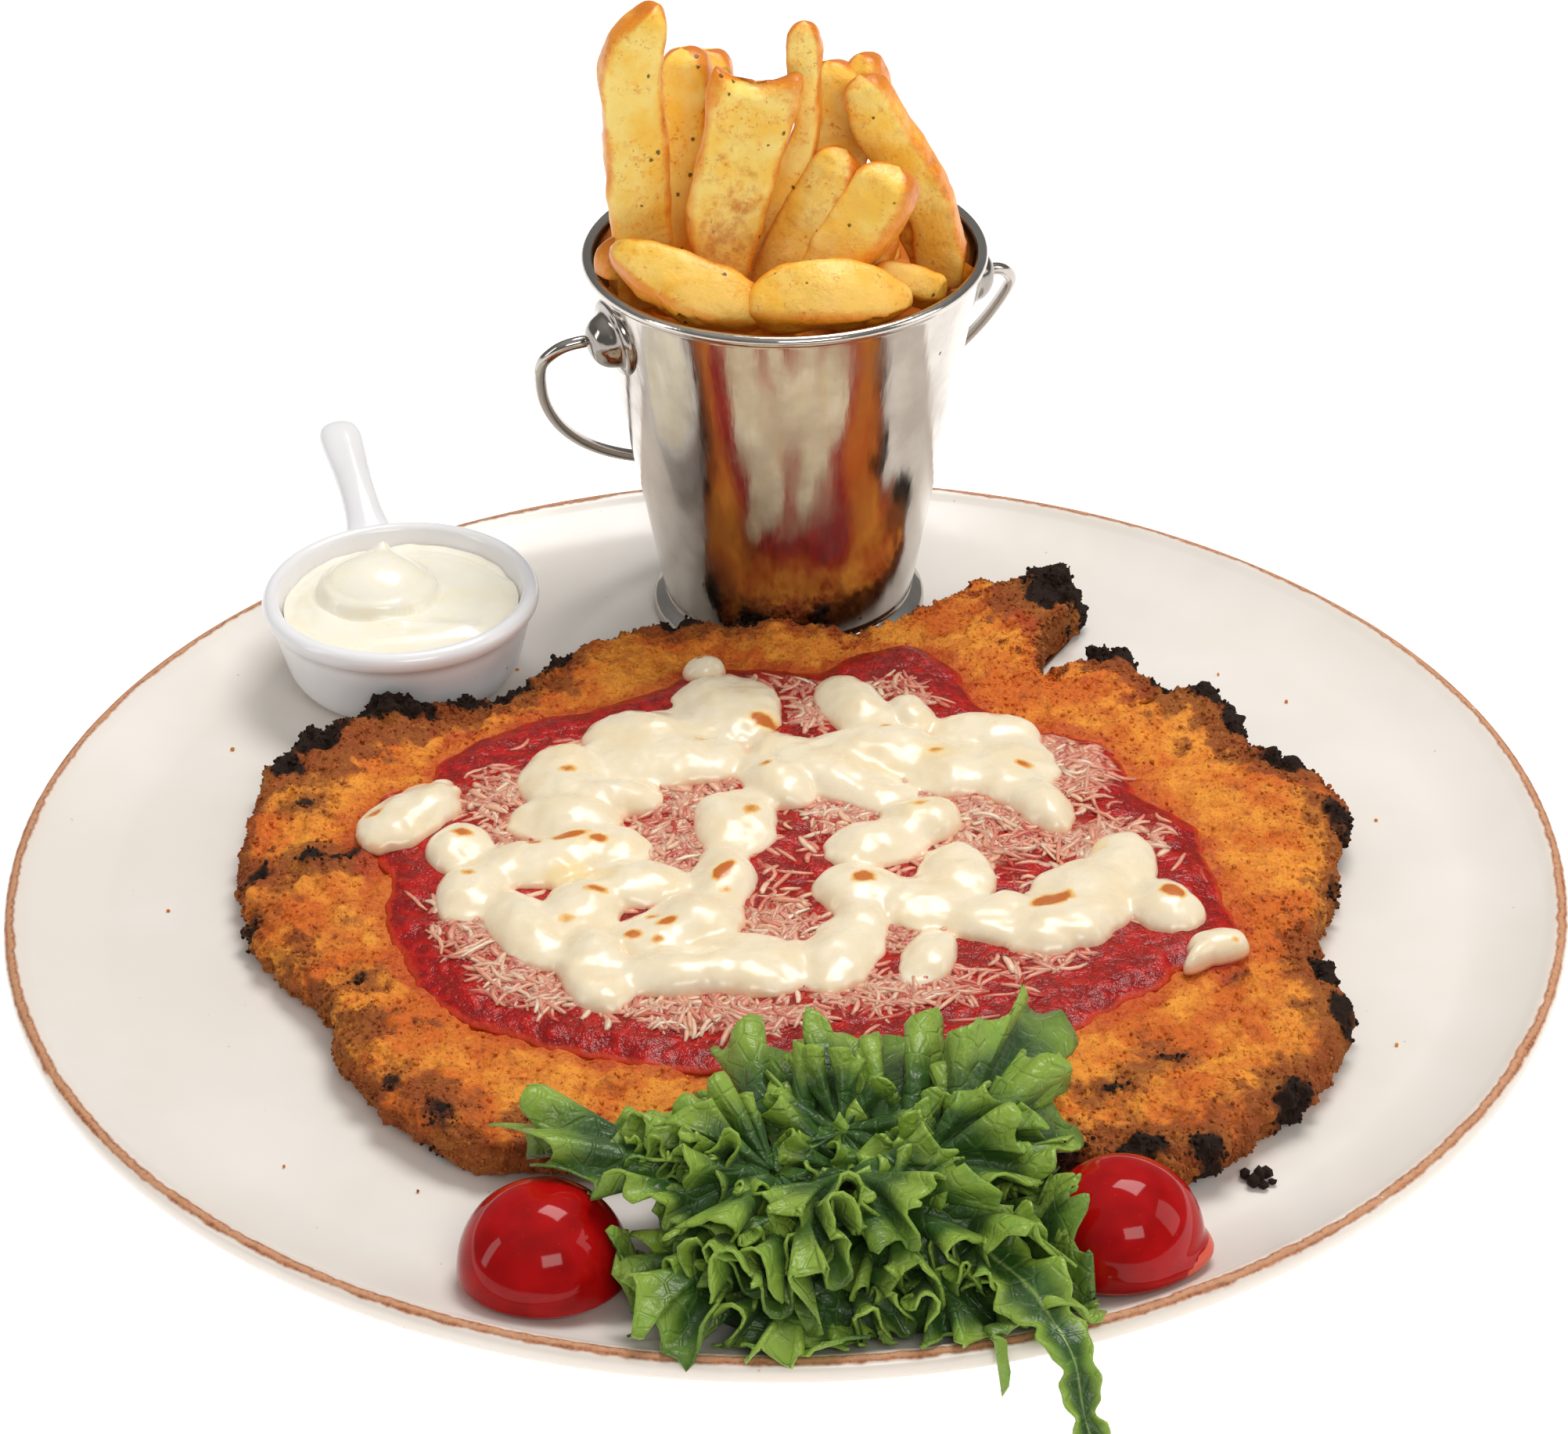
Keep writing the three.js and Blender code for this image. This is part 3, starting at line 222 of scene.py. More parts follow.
def evenly(points: Array, samples: int, closed: bool = False) -> Array:
    """The same curve resampled at even distances.

    Args:
        points: A fine curve, (n, d).
        samples: How many samples are wanted.
        closed: Whether the curve is a loop.

    Returns:
        The samples, (samples, d).
    """
    line = np.vstack([points, points[:1]]) if closed else points
    run = run_of(line)
    at = np.linspace(0, run[-1], samples, endpoint=not closed)
    return np.stack([np.interp(at, run, line[:, k]) for k in range(line.shape[1])], -1)


def rounded(profile: Array, cut: float, steps: int = 5) -> Array:
    """A line of points with each corner replaced by a parabola that starts and ends cut from it.

    Args:
        profile: The points, (n, 2).
        cut: Largest distance from a corner, never over 0.45 of a stretch.
        steps: Points in each corner.

    Returns:
        The rounded line.
    """
    profile = np.asarray(profile, float)
    made = [profile[:1]]
    t = np.linspace(0, 1, steps)[:, None]
    for before, corner, after in zip(profile[:-2], profile[1:-1], profile[2:]):
        a, b = before - corner, after - corner
        la, lb = np.linalg.norm(a), np.linalg.norm(b)
        start = corner + a / la * min(cut, 0.45 * la)
        end = corner + b / lb * min(cut, 0.45 * lb)
        made.append((1 - t) ** 2 * start + 2 * t * (1 - t) * corner + t**2 * end)
    return np.vstack([*made, profile[-1:]])


# ---- surfaces
def grid(rows: int, columns: int, closed: bool = False) -> Array:
    """The squares of a grid of corners; where it is closed, its last column joins its first.

    Args:
        rows: Rows of corners.
        columns: Corners in a row.
        closed: Whether the rows are rings.

    Returns:
        Squares, (n, 4).
    """
    k, i = np.meshgrid(np.arange(rows - 1), np.arange(columns if closed else columns - 1), indexing="ij")
    j = (i + 1) % columns
    here, over = k * columns, (k + 1) * columns
    return np.stack([here + i, here + j, over + j, over + i], -1).reshape(-1, 4)


def caps(rows: int, columns: int) -> Array:
    """The fans between a closed grid's first and last row and two poles that follow its corners.

    Args:
        rows: Rows of corners.
        columns: Corners in a row.

    Returns:
        Triangles, (n, 3).
    """
    i = np.arange(columns)
    j = (i + 1) % columns
    first, last = np.full(columns, rows * columns), np.full(columns, rows * columns + 1)
    end = (rows - 1) * columns
    return np.vstack([np.stack([first, j, i], -1), np.stack([last, end + i, end + j], -1)])


def walls(faces: Array, count: int) -> Array:
    """Squares from a sheet's open edges to those of its copy, whose corners follow the sheet's count.

    Args:
        faces: The sheet's faces.
        count: Its number of corners.

    Returns:
        Squares, (n, 4).
    """
    sides = faces.shape[1]
    edges = np.vstack([faces[:, [k, (k + 1) % sides]] for k in range(sides)]).astype(np.int64)
    rim = edges[~np.isin(edges[:, 0] * count + edges[:, 1], edges[:, 1] * count + edges[:, 0])]
    return np.stack([rim[:, 1], rim[:, 0], rim[:, 0] + count, rim[:, 1] + count], -1)


@dataclass
class Surface:
    """A mesh in the making: corners in millimetres, faces, and named values carried by the corners."""

    points: Array
    quads: Array = field(default_factory=lambda: np.zeros((0, 4), int))
    tris: Array = field(default_factory=lambda: np.zeros((0, 3), int))
    values: dict[str, Array] = field(default_factory=dict)

    @staticmethod
    def rings(rings: Array, **values: Array) -> "Surface":
        """A body from closed rings (r, c, 3), with a pole at the middle of the first and the last ring.

        Args:
            rings: Corners in millimetres.
            values: Named values, (r, c).

        Returns:
            The body.
        """
        r, c, _ = rings.shape
        points = np.vstack([rings.reshape(-1, 3), rings[0].mean(0), rings[-1].mean(0)])
        spread = {name: np.broadcast_to(value, (r, c)) for name, value in values.items()}
        held = {n: np.concatenate([v.ravel(), [v[0].mean(), v[-1].mean()]]) for n, v in spread.items()}
        return Surface(points, grid(r, c, True), caps(r, c), held).outwards()

    @staticmethod
    def turned(profile: Array, count: int, x: float = 0.0, y: float = 0.0) -> "Surface":
        """A (radius, height) profile turned about the upright line through (x, y), poles closed.

        Args:
            profile: Pairs from one pole to the other.
            count: Corners round it.
            x: The line's place.
            y: The line's place.

        Returns:
            The body.
        """
        angle = around(count)
        r, z = profile[:, 0][:, None], profile[:, 1][:, None]
        rings = np.stack([x + r * np.cos(angle), y + r * np.sin(angle), z + 0 * angle], -1)
        return Surface.rings(rings)

    @staticmethod
    def joined(parts: "list[Surface]") -> "Surface":
        """Several surfaces as one, keeping the values that all of them carry.

        Args:
            parts: The surfaces.

        Returns:
            One surface.
        """
        starts = np.concatenate([[0], np.cumsum([len(p.points) for p in parts])[:-1]]).astype(int)
        names = set.intersection(*[set(p.values) for p in parts])
        return Surface(
            np.vstack([p.points for p in parts]),
            np.vstack([p.quads + s for p, s in zip(parts, starts)]),
            np.vstack([p.tris + s for p, s in zip(parts, starts)]),
            {n: np.concatenate([p.values[n] for p in parts]) for n in sorted(names)},
        )

    def valued(self, **values: float) -> "Surface":
        """Gives every corner the same values."""
        self.values = {name: np.full(len(self.points), value) for name, value in values.items()}
        return self

    def triangles(self) -> Array:
        """All faces as triangles, quads split in two."""
        q = self.quads
        return np.vstack([q[:, [0, 1, 2]], q[:, [0, 2, 3]], self.tris])

    def outwards(self) -> "Surface":
        """Turns every face round where the enclosed volume, the sum of a . (b x c) / 6, is negative."""
        a, b, c = (self.points[self.triangles()[:, k]] for k in range(3))
        if np.einsum("ij,ij->", a, np.cross(b, c)) < 0:
            self.quads, self.tris = self.quads[:, ::-1], self.tris[:, ::-1]
        return self

    def normals(self) -> Array:
        """Unit normal at each corner: the sum of its faces' cross products."""
        t = self.triangles()
        a, b, c = (self.points[t[:, k]] for k in range(3))
        face = np.cross(b - a, c - a)
        count = len(self.points)
        axes = [sum(np.bincount(t[:, k], face[:, d], count) for k in range(3)) for d in range(3)]
        return unit(np.stack(axes, -1))

    def pushed(self, distance: Array) -> "Surface":
        """Moves each corner along its normal by a distance in millimetres."""
        self.points = self.points + self.normals() * np.asarray(distance)[:, None]
        return self

    def thickened(self, thickness: float) -> "Surface":
        """A thin body from an open sheet: a copy turned round on the far side, and walls along open edges.

        Args:
            thickness: In millimetres.

        Returns:
            The body.
        """
        n = len(self.points)
        shift = self.normals() * thickness / 2
        both = np.vstack([self.points + shift, self.points - shift])
        quads = np.vstack([self.quads, self.quads[:, ::-1] + n, walls(self.triangles(), n)])
        tris = np.vstack([self.tris, self.tris[:, ::-1] + n])
        held = {name: np.concatenate([v, v]) for name, v in self.values.items()}
        return Surface(both, quads, tris, held)

    def piece(self, name: str) -> Piece:
        """The finished Blender object, in metres at the origin, smooth shaded.

        Args:
            name: Its name.

        Returns:
            The object.
        """
        mesh = bpy.data.meshes.new(name)
        mesh.vertices.add(len(self.points))
        mesh.vertices.foreach_set("co", (self.points * MM).astype(np.float32).ravel())
        loops = np.concatenate([self.quads.ravel(), self.tris.ravel()]).astype(np.int32)
        sizes = np.concatenate([np.full(len(self.quads), 4), np.full(len(self.tris), 3)])
        starts = np.concatenate([[0], np.cumsum(sizes)[:-1]]).astype(np.int32)
        mesh.loops.add(len(loops))
        mesh.loops.foreach_set("vertex_index", loops)
        mesh.polygons.add(len(sizes))
        mesh.polygons.foreach_set("loop_start", starts)
        mesh.update(calc_edges=True)
        mesh.validate()
        for key, value in self.values.items():
            made = mesh.attributes.new(key, "FLOAT", "POINT")
            made.data.foreach_set("value", np.ascontiguousarray(value, np.float32))
        mesh.shade_smooth()
        made_object = bpy.data.objects.new(name, mesh)
        bpy.context.scene.collection.objects.link(made_object)
        return made_object


def bars(
    paths: Array,
    wide: Array,
    thick: Array,
    across: Array,
    sides: int = 8,
    square: float = 1.0,
    **values: Array,
) -> Surface:
    """Rounded bars carried along paths, each closed by a pole at both ends.

    A corner lies at path + side * wide * c + over * thick * s, where c and s are the cosine and sine of its
    angle raised to the power square with their signs kept, so a power under 1 gives a squarer section.

    Args:
        paths: Middle lines, (n, k, 3).
        wide: Half widths, (n, k).
        thick: Half thicknesses, (n, k).
        across: Direction of the width, (n, 3).
        sides: Corners round a section.
        square: The power.
        values: Named values for each station, (n, k).

    Returns:
        All bars as one surface.
    """
    n, k, _ = paths.shape
    along = unit(np.gradient(paths, axis=1))
    side = unit(across[:, None, :] - along * np.sum(across[:, None, :] * along, axis=2, keepdims=True))
    over = np.cross(along, side)
    angle = around(sides, 0.5)
    c = np.sign(np.cos(angle)) * np.abs(np.cos(angle)) ** square
    s = np.sign(np.sin(angle)) * np.abs(np.sin(angle)) ** square
    skin = (
        paths[:, :, None, :]
        + side[:, :, None, :] * (wide[:, :, None] * c)[..., None]
        + over[:, :, None, :] * (thick[:, :, None] * s)[..., None]
    )
    points = np.concatenate([skin.reshape(n, -1, 3), paths[:, :1], paths[:, -1:]], axis=1).reshape(-1, 3)
    start = (np.arange(n) * (k * sides + 2))[:, None, None]
    quads, tris = start + grid(k, sides, True), start + caps(k, sides)
    held = {
        name: np.concatenate([np.repeat(v, sides, axis=1), v[:, :1], v[:, -1:]], axis=1).ravel()
        for name, v in values.items()
    }
    return Surface(points, quads.reshape(-1, 4), tris.reshape(-1, 3), held).outwards()


@dataclass
class Outline:
    """A closed line seen from above, for asking how deep inside it a place lies."""

    points: Array

    @staticmethod
    def smooth(pairs: list[tuple[float, float]], samples: int) -> "Outline":
        """An evenly sampled smooth loop through pairs."""
        return Outline(evenly(through(np.array(pairs, float), len(pairs) * 24, True), samples, True))

    def moved(self, distance: Array) -> Array:
        """The line's points, each moved outwards by a distance."""
        tangent = np.roll(self.points, -1, 0) - np.roll(self.points, 1, 0)
        return self.points + unit(np.stack([tangent[:, 1], -tangent[:, 0]], -1)) * distance[:, None]

    def depth(self, x: Array, y: Array) -> Array:
        """Distance to the line, negative outside it: the nearest of all stretches, signed by crossings.

        Args:
            x: Places, any shape.
            y: Places, the same shape.

        Returns:
            A distance at each place.
        """
        shape = x.shape
        place = np.stack([x.ravel(), y.ravel()], -1)
        a = self.points
        b = np.roll(a, -1, axis=0)
        run = b - a
        square = np.sum(run**2, axis=1)
        result = np.empty(len(place))
        block = 8000
        for start in range(0, len(place), block):
            p = place[start : start + block, None, :]
            t = np.clip(np.sum((p - a) * run, axis=2) / square, 0, 1)
            near = np.sqrt(np.min(np.sum((p - a - t[..., None] * run) ** 2, axis=2), axis=1))
            above = (a[:, 1] > p[..., 1]) != (b[:, 1] > p[..., 1])
            cut = a[:, 0] + (p[..., 1] - a[:, 1]) / np.where(run[:, 1] == 0, 1e-9, run[:, 1]) * run[:, 0]
            inside = np.sum(above & (p[..., 0] < cut), axis=1) % 2 == 1
            result[start : start + block] = np.where(inside, near, -near)
        return result.reshape(shape)


def softly(loop: Array, sigma: float) -> Array:
    """A loop of even points blurred along itself by a bell of sigma samples, worked out on its waves.

    Args:
        loop: Points, (n, 2).
        sigma: The bell's width in samples.

    Returns:
        The blurred loop.
    """
    wave = np.fft.fftfreq(len(loop))[:, None]
    bell = np.exp(-2 * (np.pi * wave * sigma) ** 2)
    return np.real(np.fft.ifft(np.fft.fft(loop, axis=0) * bell, axis=0))


def spots(x: Array, y: Array, marks: Marks, ragged: float = 0.0) -> Array:
    """The strongest of many soft ovals: strength * exp(-(u^2 + v^2)^1.5), with ragged edges.

    Args:
        x: Places, any shape.
        y: Places, the same shape.
        marks: For each oval its x, y, half length, half width, bearing in degrees and strength.
        ragged: How much noise bends the ovals' size.

    Returns:
        The strongest oval's value at each place.
    """
    bend = 1 + ragged * uneven(x, y, 2.6, 91, 2)
    best = np.zeros(x.shape)
    for mark in marks:
        best = np.maximum(best, mark[5] * np.exp(-((oval(x, y, mark) * bend**2) ** 1.5)))
    return best


# ---- painting with nodes
def srgb(red: float, green: float, blue: float) -> Colour:
    """A colour given as it looks, 0 to 255, in the linear values that the shader uses."""
    shares = [c / 255 for c in (red, green, blue)]
    return (*[c / 12.92 if c <= 0.04045 else ((c + 0.055) / 1.055) ** 2.4 for c in shares], 1.0)


class Wire:
    """One output of a node, in whose arithmetic each sign adds one Math node."""

    def __init__(self, paint: "Paint", socket: bpy.types.NodeSocket) -> None:
        """Keeps the painting and the socket."""
        self.paint = paint
        self.socket = socket

    def __add__(self, other: "Wire | float") -> "Wire":
        """Sum."""
        return self.paint.maths("ADD", self, other)

    def __sub__(self, other: "Wire | float") -> "Wire":
        """Difference."""
        return self.paint.maths("SUBTRACT", self, other)

    def __rsub__(self, other: "Wire | float") -> "Wire":
        """Difference from a number."""
        return self.paint.maths("SUBTRACT", other, self)

    def __mul__(self, other: "Wire | float") -> "Wire":
        """Product."""
        return self.paint.maths("MULTIPLY", self, other)

    __radd__ = __add__
    __rmul__ = __mul__


class Paint:
    """A material being painted: one Principled shader and the nodes that feed it."""

    def __init__(self, name: str) -> None:
        """Starts an empty material with a shader wired to its output.

        Args:
            name: The material's name.
        """
        self.material = bpy.data.materials.new(name)
        self.material.use_nodes = True
        self.tree = self.material.node_tree
        self.tree.nodes.clear()
        output = self.tree.nodes.new("ShaderNodeOutputMaterial")
        self.shader = self.tree.nodes.new("ShaderNodeBsdfPrincipled")
        self.tree.links.new(self.shader.outputs[0], output.inputs[0])
        self.place = self.node("ShaderNodeTexCoord", output="Object")
        self.colour: Wire | None = None
        self.relief: Wire | None = None

    def node(
        self,
        kind: str,
        settings: dict[str, object] | None = None,
        inputs: dict[int | str, object] | None = None,
        output: int | str = 0,
    ) -> Wire:
        """Adds a node.

        Args:
            kind: The node's type.
            settings: Its own settings, set first; stops are a ramp's (position, colour) pairs.
            inputs: Values or wires for its sockets.
            output: Which output is given back.

        Returns:
            That output.
        """
        made = self.tree.nodes.new(kind)
        for key, value in (settings or {}).items():
            if key == "stops":
                stops = made.color_ramp.elements
                while len(stops) < len(value):
                    stops.new(0.5)
                for stop, (position, colour) in zip(stops, value):
                    stop.position, stop.color = position, colour
            else:
                setattr(made, key, value)
        for key, value in (inputs or {}).items():
            if isinstance(value, Wire):
                self.tree.links.new(value.socket, made.inputs[key])
            else:
                made.inputs[key].default_value = value
        return Wire(self, made.outputs[output])

    def maths(self, operation: str, *terms: "Wire | float") -> Wire:
        """One Math node over one, two or three terms."""
        return self.node("ShaderNodeMath", {"operation": operation}, dict(enumerate(terms)))

    def carried(self, name: str) -> Wire:
        """A value that the mesh carries at its corners."""
        return self.node("ShaderNodeAttribute", {"attribute_name": name}, output="Fac")

    def axis(self, index: int) -> Wire:
        """One coordinate of the place on the object, in millimetres: 0 is x, 1 is y, 2 is z."""
        return self.node("ShaderNodeSeparateXYZ", None, {0: self.place}, index) * (1 / MM)

    def level(self, value: "Wire", low: float, high: float) -> Wire:
        """0 below low, 1 above high and smooth between them; the other way round where low is above high.

        Args:
            value: What is compared.
            low: Where 0 ends.
            high: Where 1 starts.

        Returns:
            The share.
        """
        if low > high:
            return 1.0 - self.level(value, high, low)
        settings = {"interpolation_type": "SMOOTHSTEP"}
        return self.node("ShaderNodeMapRange", settings, {0: value, 1: low, 2: high, 3: 0.0, 4: 1.0})

    def cloud(self, size: float, detail: float = 2.0, rough: float = 0.55, stretch: float = 1.0) -> Wire:
        """Random mottling of a size in millimetres, about 0.3 to 0.7, drawn out along z by a stretch.

        Args:
            size: Width of the largest blots.
            detail: How many finer sizes are added.
            rough: How strong those are.
            stretch: How far it is drawn out.

        Returns:
            The mottling.
        """
        place = self.place
        if stretch != 1.0:
            place = self.node("ShaderNodeMapping", None, {"Vector": place, "Scale": (1, 1, 1 / stretch)})
        inputs = {"Vector": place, "Scale": 1 / MM / size, "Detail": detail, "Roughness": rough}
        return self.node("ShaderNodeTexNoise", None, inputs, "Fac")

    def patch(self, low: float, high: float, size: float, detail: float = 2.0, rough: float = 0.55) -> Wire:
        """0 to 1 where a cloud passes from low to high."""
        return self.level(self.cloud(size, detail, rough), low, high)

    def stir(self, amount: float, size: float, detail: float = 2.0, rough: float = 0.55) -> Wire:
        """A cloud about 0 times an amount."""
        return (self.cloud(size, detail, rough) - 0.5) * amount

    def cells(self, size: float, feature: str = "F1") -> Wire:
        """Distance to the nearest of many scattered points a size in millimetres apart, or to their borders."""
        inputs = {"Vector": self.place, "Scale": 1 / MM / size}
        return self.node("ShaderNodeTexVoronoi", {"feature": feature}, inputs, "Distance")

    def mix(self, share: "Wire | float", first: object, second: object) -> Wire:
        """Two colours mixed by a share of the second."""
        return self.node("ShaderNodeMix", {"data_type": "RGBA"}, {0: share, 6: first, 7: second}, 2)

    def ramp(self, value: Wire, *stops: tuple[float, Colour]) -> Wire:
        """A colour looked up on a ramp of (position, colour) stops."""
        return self.node("ShaderNodeValToRGB", {"stops": stops}, {0: value})

    def lay(self, share: Wire, colour: object) -> None:
        """Mixes a share of a colour over what is painted so far."""
        self.colour = self.mix(share, self.colour, colour)

    def bump(self, height: Wire, depth: float) -> None:
        """Adds relief of a depth in millimetres to what there is.

        Args:
            height: 0 to 1.
            depth: What 1 stands for.
        """
        inputs = {"Strength": 1.0, "Distance": depth * MM, "Height": height}
        if self.relief is not None:
            inputs["Normal"] = self.relief
        self.relief = self.node("ShaderNodeBump", None, inputs)

    def finished(self, rough: Wire | float, glow: tuple[float, ...] = (), **inputs: object) -> Material:
        """Sets the shader's sockets and gives the material back.

        Args:
            rough: Roughness.
            glow: How much light enters, the scale, and how many millimetres red, green and blue spread.
            inputs: Values or wires of other sockets, their words joined by underscores.

        Returns:
            The material.
        """
        inputs |= {"Base_Color": self.colour, "Roughness": rough}
        if self.relief is not None:
            inputs["Normal"] = self.relief
        if glow:
            weight, scale, *spread = glow
            inputs |= {"Subsurface_Weight": weight, "Subsurface_Scale": scale}
            inputs["Subsurface_Radius"] = tuple(s * MM for s in spread)
        for key, value in inputs.items():
            socket = self.shader.inputs[key.replace("_", " ")]
            if isinstance(value, Wire):
                self.tree.links.new(value.socket, socket)
            else:
                socket.default_value = value
        return self.material


# ---- finishes
@dataclass(frozen=True)
class Stoneware:
    """Warm white glaze, worn through to a broken brown line along the rim."""

    glaze: Colour = srgb(238, 232, 225)
    clay: Colour = srgb(186, 122, 82)
    line: float = 159.1
    edge: float = 161.0

    def material(self) -> Material:
        """Glaze, rim line by the distance from the plate's middle, and the bare foot."""
        p = Paint("stoneware")
        x, y, z = p.axis(0), p.axis(1), p.axis(2)
        radius = p.maths("SQRT", x * x + y * y)
        ragged = p.stir(1.3, 2.2, 3) + p.stir(1.6, 16)
        place = radius + ragged
        inner = p.level(place, self.line - 0.35, self.line + 0.35)
        outer = p.level(radius + p.stir(0.9, 3.5), self.edge + 0.3, self.edge - 0.2)
        above = p.level(z, 15.6, 16.6)
        worn = p.patch(0.24, 0.3, 5, 4, 0.7)
        band = inner * outer * above * worn
        broken = p.patch(0.36, 0.62, 1.1, 3, 0.7)
        clay = p.mix(broken, srgb(140, 76, 40), self.clay)
        middle = p.level(p.maths("ABSOLUTE", place - (self.line + self.edge) / 2), 0.75, 0.2)
        clay = p.mix(middle * 0.55, clay, srgb(216, 168, 130))
        clay = p.mix(p.patch(0.55, 0.75, 4.0) * 0.5, clay, srgb(206, 152, 112))
        p.colour = p.mix(p.patch(0.35, 0.65, 60, 3), self.glaze, srgb(232, 225, 216))
        p.lay(p.level(place, self.line - 2.2, self.line) * 0.18, srgb(222, 190, 160))
        p.lay(p.level(p.cells(9), 0.045, 0.02) * 0.35, srgb(160, 128, 100))
        p.lay(band, clay)
        foot = p.level(z, 0.6, 0.25)
        p.lay(foot, srgb(206, 190, 168))
        rough = 0.24 + band * 0.42 + foot * 0.4 + p.stir(0.08, 30)
        p.bump(p.cloud(26), 0.35)
        p.bump(1.0 - band * p.cloud(1.2), 0.25)
        return p.finished(rough, Specular_IOR_Level=0.5)


@dataclass(frozen=True)
class Porcelain:
    """Cool white glossy glaze with a few brown crumbs and a trace of sauce where the cutlet touches."""

    glaze: Colour = srgb(240, 240, 242)

    def material(self) -> Material:
        """Glaze with faint unevenness."""
        p = Paint("porcelain")
        p.colour = p.mix(p.patch(0.35, 0.7, 24), self.glaze, srgb(233, 232, 234))
        crumbs = p.level(p.cells(7), 0.07, 0.045) * p.level(p.axis(2), 34, 31)
        near = p.level(p.axis(0), -70, -58) * p.level(p.axis(1), 76, 66)
        p.lay(crumbs * near, srgb(126, 62, 36))
        p.bump(p.cloud(18, 1), 0.18)
        return p.finished(0.17 + p.stir(0.06, 9))


@dataclass(frozen=True)
class PolishedSteel:
    """Polished stainless steel, faintly drawn, smeared and dented."""

    colour: Colour = srgb(206, 200, 193)
    name: str = "polished_steel"
    ripple: float = 0.14

    def material(self) -> Material:
        """Metal whose roughness varies in smears along the wall and whose face is slightly uneven."""
        p = Paint(self.name)
        streaks = p.cloud(9, 3, 0.6, 6.25)
        fine = p.cloud(0.7, 2, 0.6, 25)
        smears = p.cloud(16, 4, 0.6)
        pits = p.level(p.cells(13), 0.055, 0.03)
        p.colour = p.mix(p.level(smears, 0.35, 0.7), self.colour, srgb(186, 178, 170))
        p.lay(pits * 0.8, srgb(70, 60, 52))
        rough = 0.13 + p.level(smears, 0.45, 0.8) * 0.14 + (fine - 0.5) * 0.12 + pits * 0.2
        p.bump(streaks, self.ripple)
        p.bump(fine, 0.012)
        return p.finished(rough, Metallic=1.0)


@dataclass(frozen=True)
class FriedCrust:
    """Fried breadcrumb: golden orange, browner in patches and at the edge, with painted shade on the low flank,
    charred in places.
    """

    gold: Colour = srgb(238, 154, 54)
    orange: Colour = srgb(212, 106, 34)
    brown: Colour = srgb(126, 62, 26)
    black: Colour = srgb(26, 18, 14)

    def material(self) -> Material:
        """Mottled crumb with what the mesh carries: brown (browning, and painted shade on the low flank), char
        and stain.
        """
        p = Paint("fried_crust")
        patches = p.cloud(15, 3, 0.6)
        mottle = p.cloud(4.2, 4, 0.68)
        grain = p.cloud(0.8, 3, 0.7)
        crumb = p.cells(1.15)
        p.colour = p.mix(p.level(patches, 0.40, 0.62), self.gold, self.orange)
        p.lay(p.level(mottle, 0.46, 0.60) * 0.4, srgb(194, 94, 34))
        islands = p.level(mottle + (grain - 0.5) * 0.25, 0.60, 0.68) * p.level(patches, 0.42, 0.56)
        p.lay(islands * 0.6, srgb(112, 46, 18))
        # The carried brown is real browning and also painted shade on the cutlet's low flank.
        brown = p.level(p.carried("brown") + (mottle - 0.5) * 1.1 + (grain - 0.5) * 0.5, 0.30, 0.72)
        p.lay(brown * 0.8, self.brown)
        stain = p.level(p.carried("stain") + (mottle - 0.5) * 0.9, 0.4, 0.95)
        p.lay(stain * 0.6, srgb(190, 62, 24))
        # Pale specks: lighter crumbs, and painted highlights on the grain.
        p.lay(p.level(grain, 0.56, 0.74) * 0.30, srgb(250, 184, 92))
        p.lay(p.level(grain, 0.47, 0.3) * 0.6, srgb(112, 46, 14))
        herbs = p.level(p.cells(6.5), 0.10, 0.05) * p.level(patches, 0.45, 0.55)
        p.lay(herbs * 0.7, srgb(84, 70, 26))
        char = p.level(p.carried("char") + (mottle - 0.5) * 0.9 + (grain - 0.5) * 0.35, 0.36, 0.8)
        p.lay(char * 0.97, self.black)
        rough = 0.62 + (grain - 0.5) * 0.3 + char * 0.2 - stain * 0.2
        p.bump(p.cloud(2.4, 3, 0.65), 0.55)
        p.bump(1.0 - crumb, 0.32)
        p.bump(grain, 0.3)
        return p.finished(rough, (0.05, 0.4, 4, 1.6, 0.6), Specular_IOR_Level=0.22)


@dataclass(frozen=True)
class TomatoSauce:
    """Wet, deep red, pulpy sauce."""

    red: Colour = srgb(182, 15, 8)

    def material(self) -> Material:
        """Red that darkens where it is thick and turns orange where it is thin."""
        p = Paint("tomato_sauce")
        pulp = p.cloud(3.2, 4, 0.6)
        p.colour = p.mix(p.level(pulp, 0.4, 0.65), srgb(134, 12, 9), self.red)
        p.lay(p.patch(0.56, 0.72, 1.1, 3) * 0.5, srgb(204, 62, 44))
        thin = p.level(p.carried("thin") + (pulp - 0.5) * 0.8, 0.45, 0.95)
        p.lay(thin * 0.7, srgb(200, 62, 22))
        melt = p.level(p.carried("melt") + p.stir(1.5, 2.6, 4, 0.7), 0.42, 0.9)
        p.lay(melt * 0.72, srgb(226, 148, 124))
        p.lay(melt * p.patch(0.5, 0.66, 1.7, 3) * 0.8, srgb(242, 206, 178))
        p.bump(pulp, 0.9)
        p.bump(p.cloud(0.9), 0.16)
        p.bump(melt * p.cloud(1.9, 3), 0.8)
        rough = 0.17 + p.level(pulp, 0.5, 0.75) * 0.15 + thin * 0.25
        return p.finished(rough, (0.06, 0.3, 4, 1, 0.6), Specular_IOR_Level=0.32)


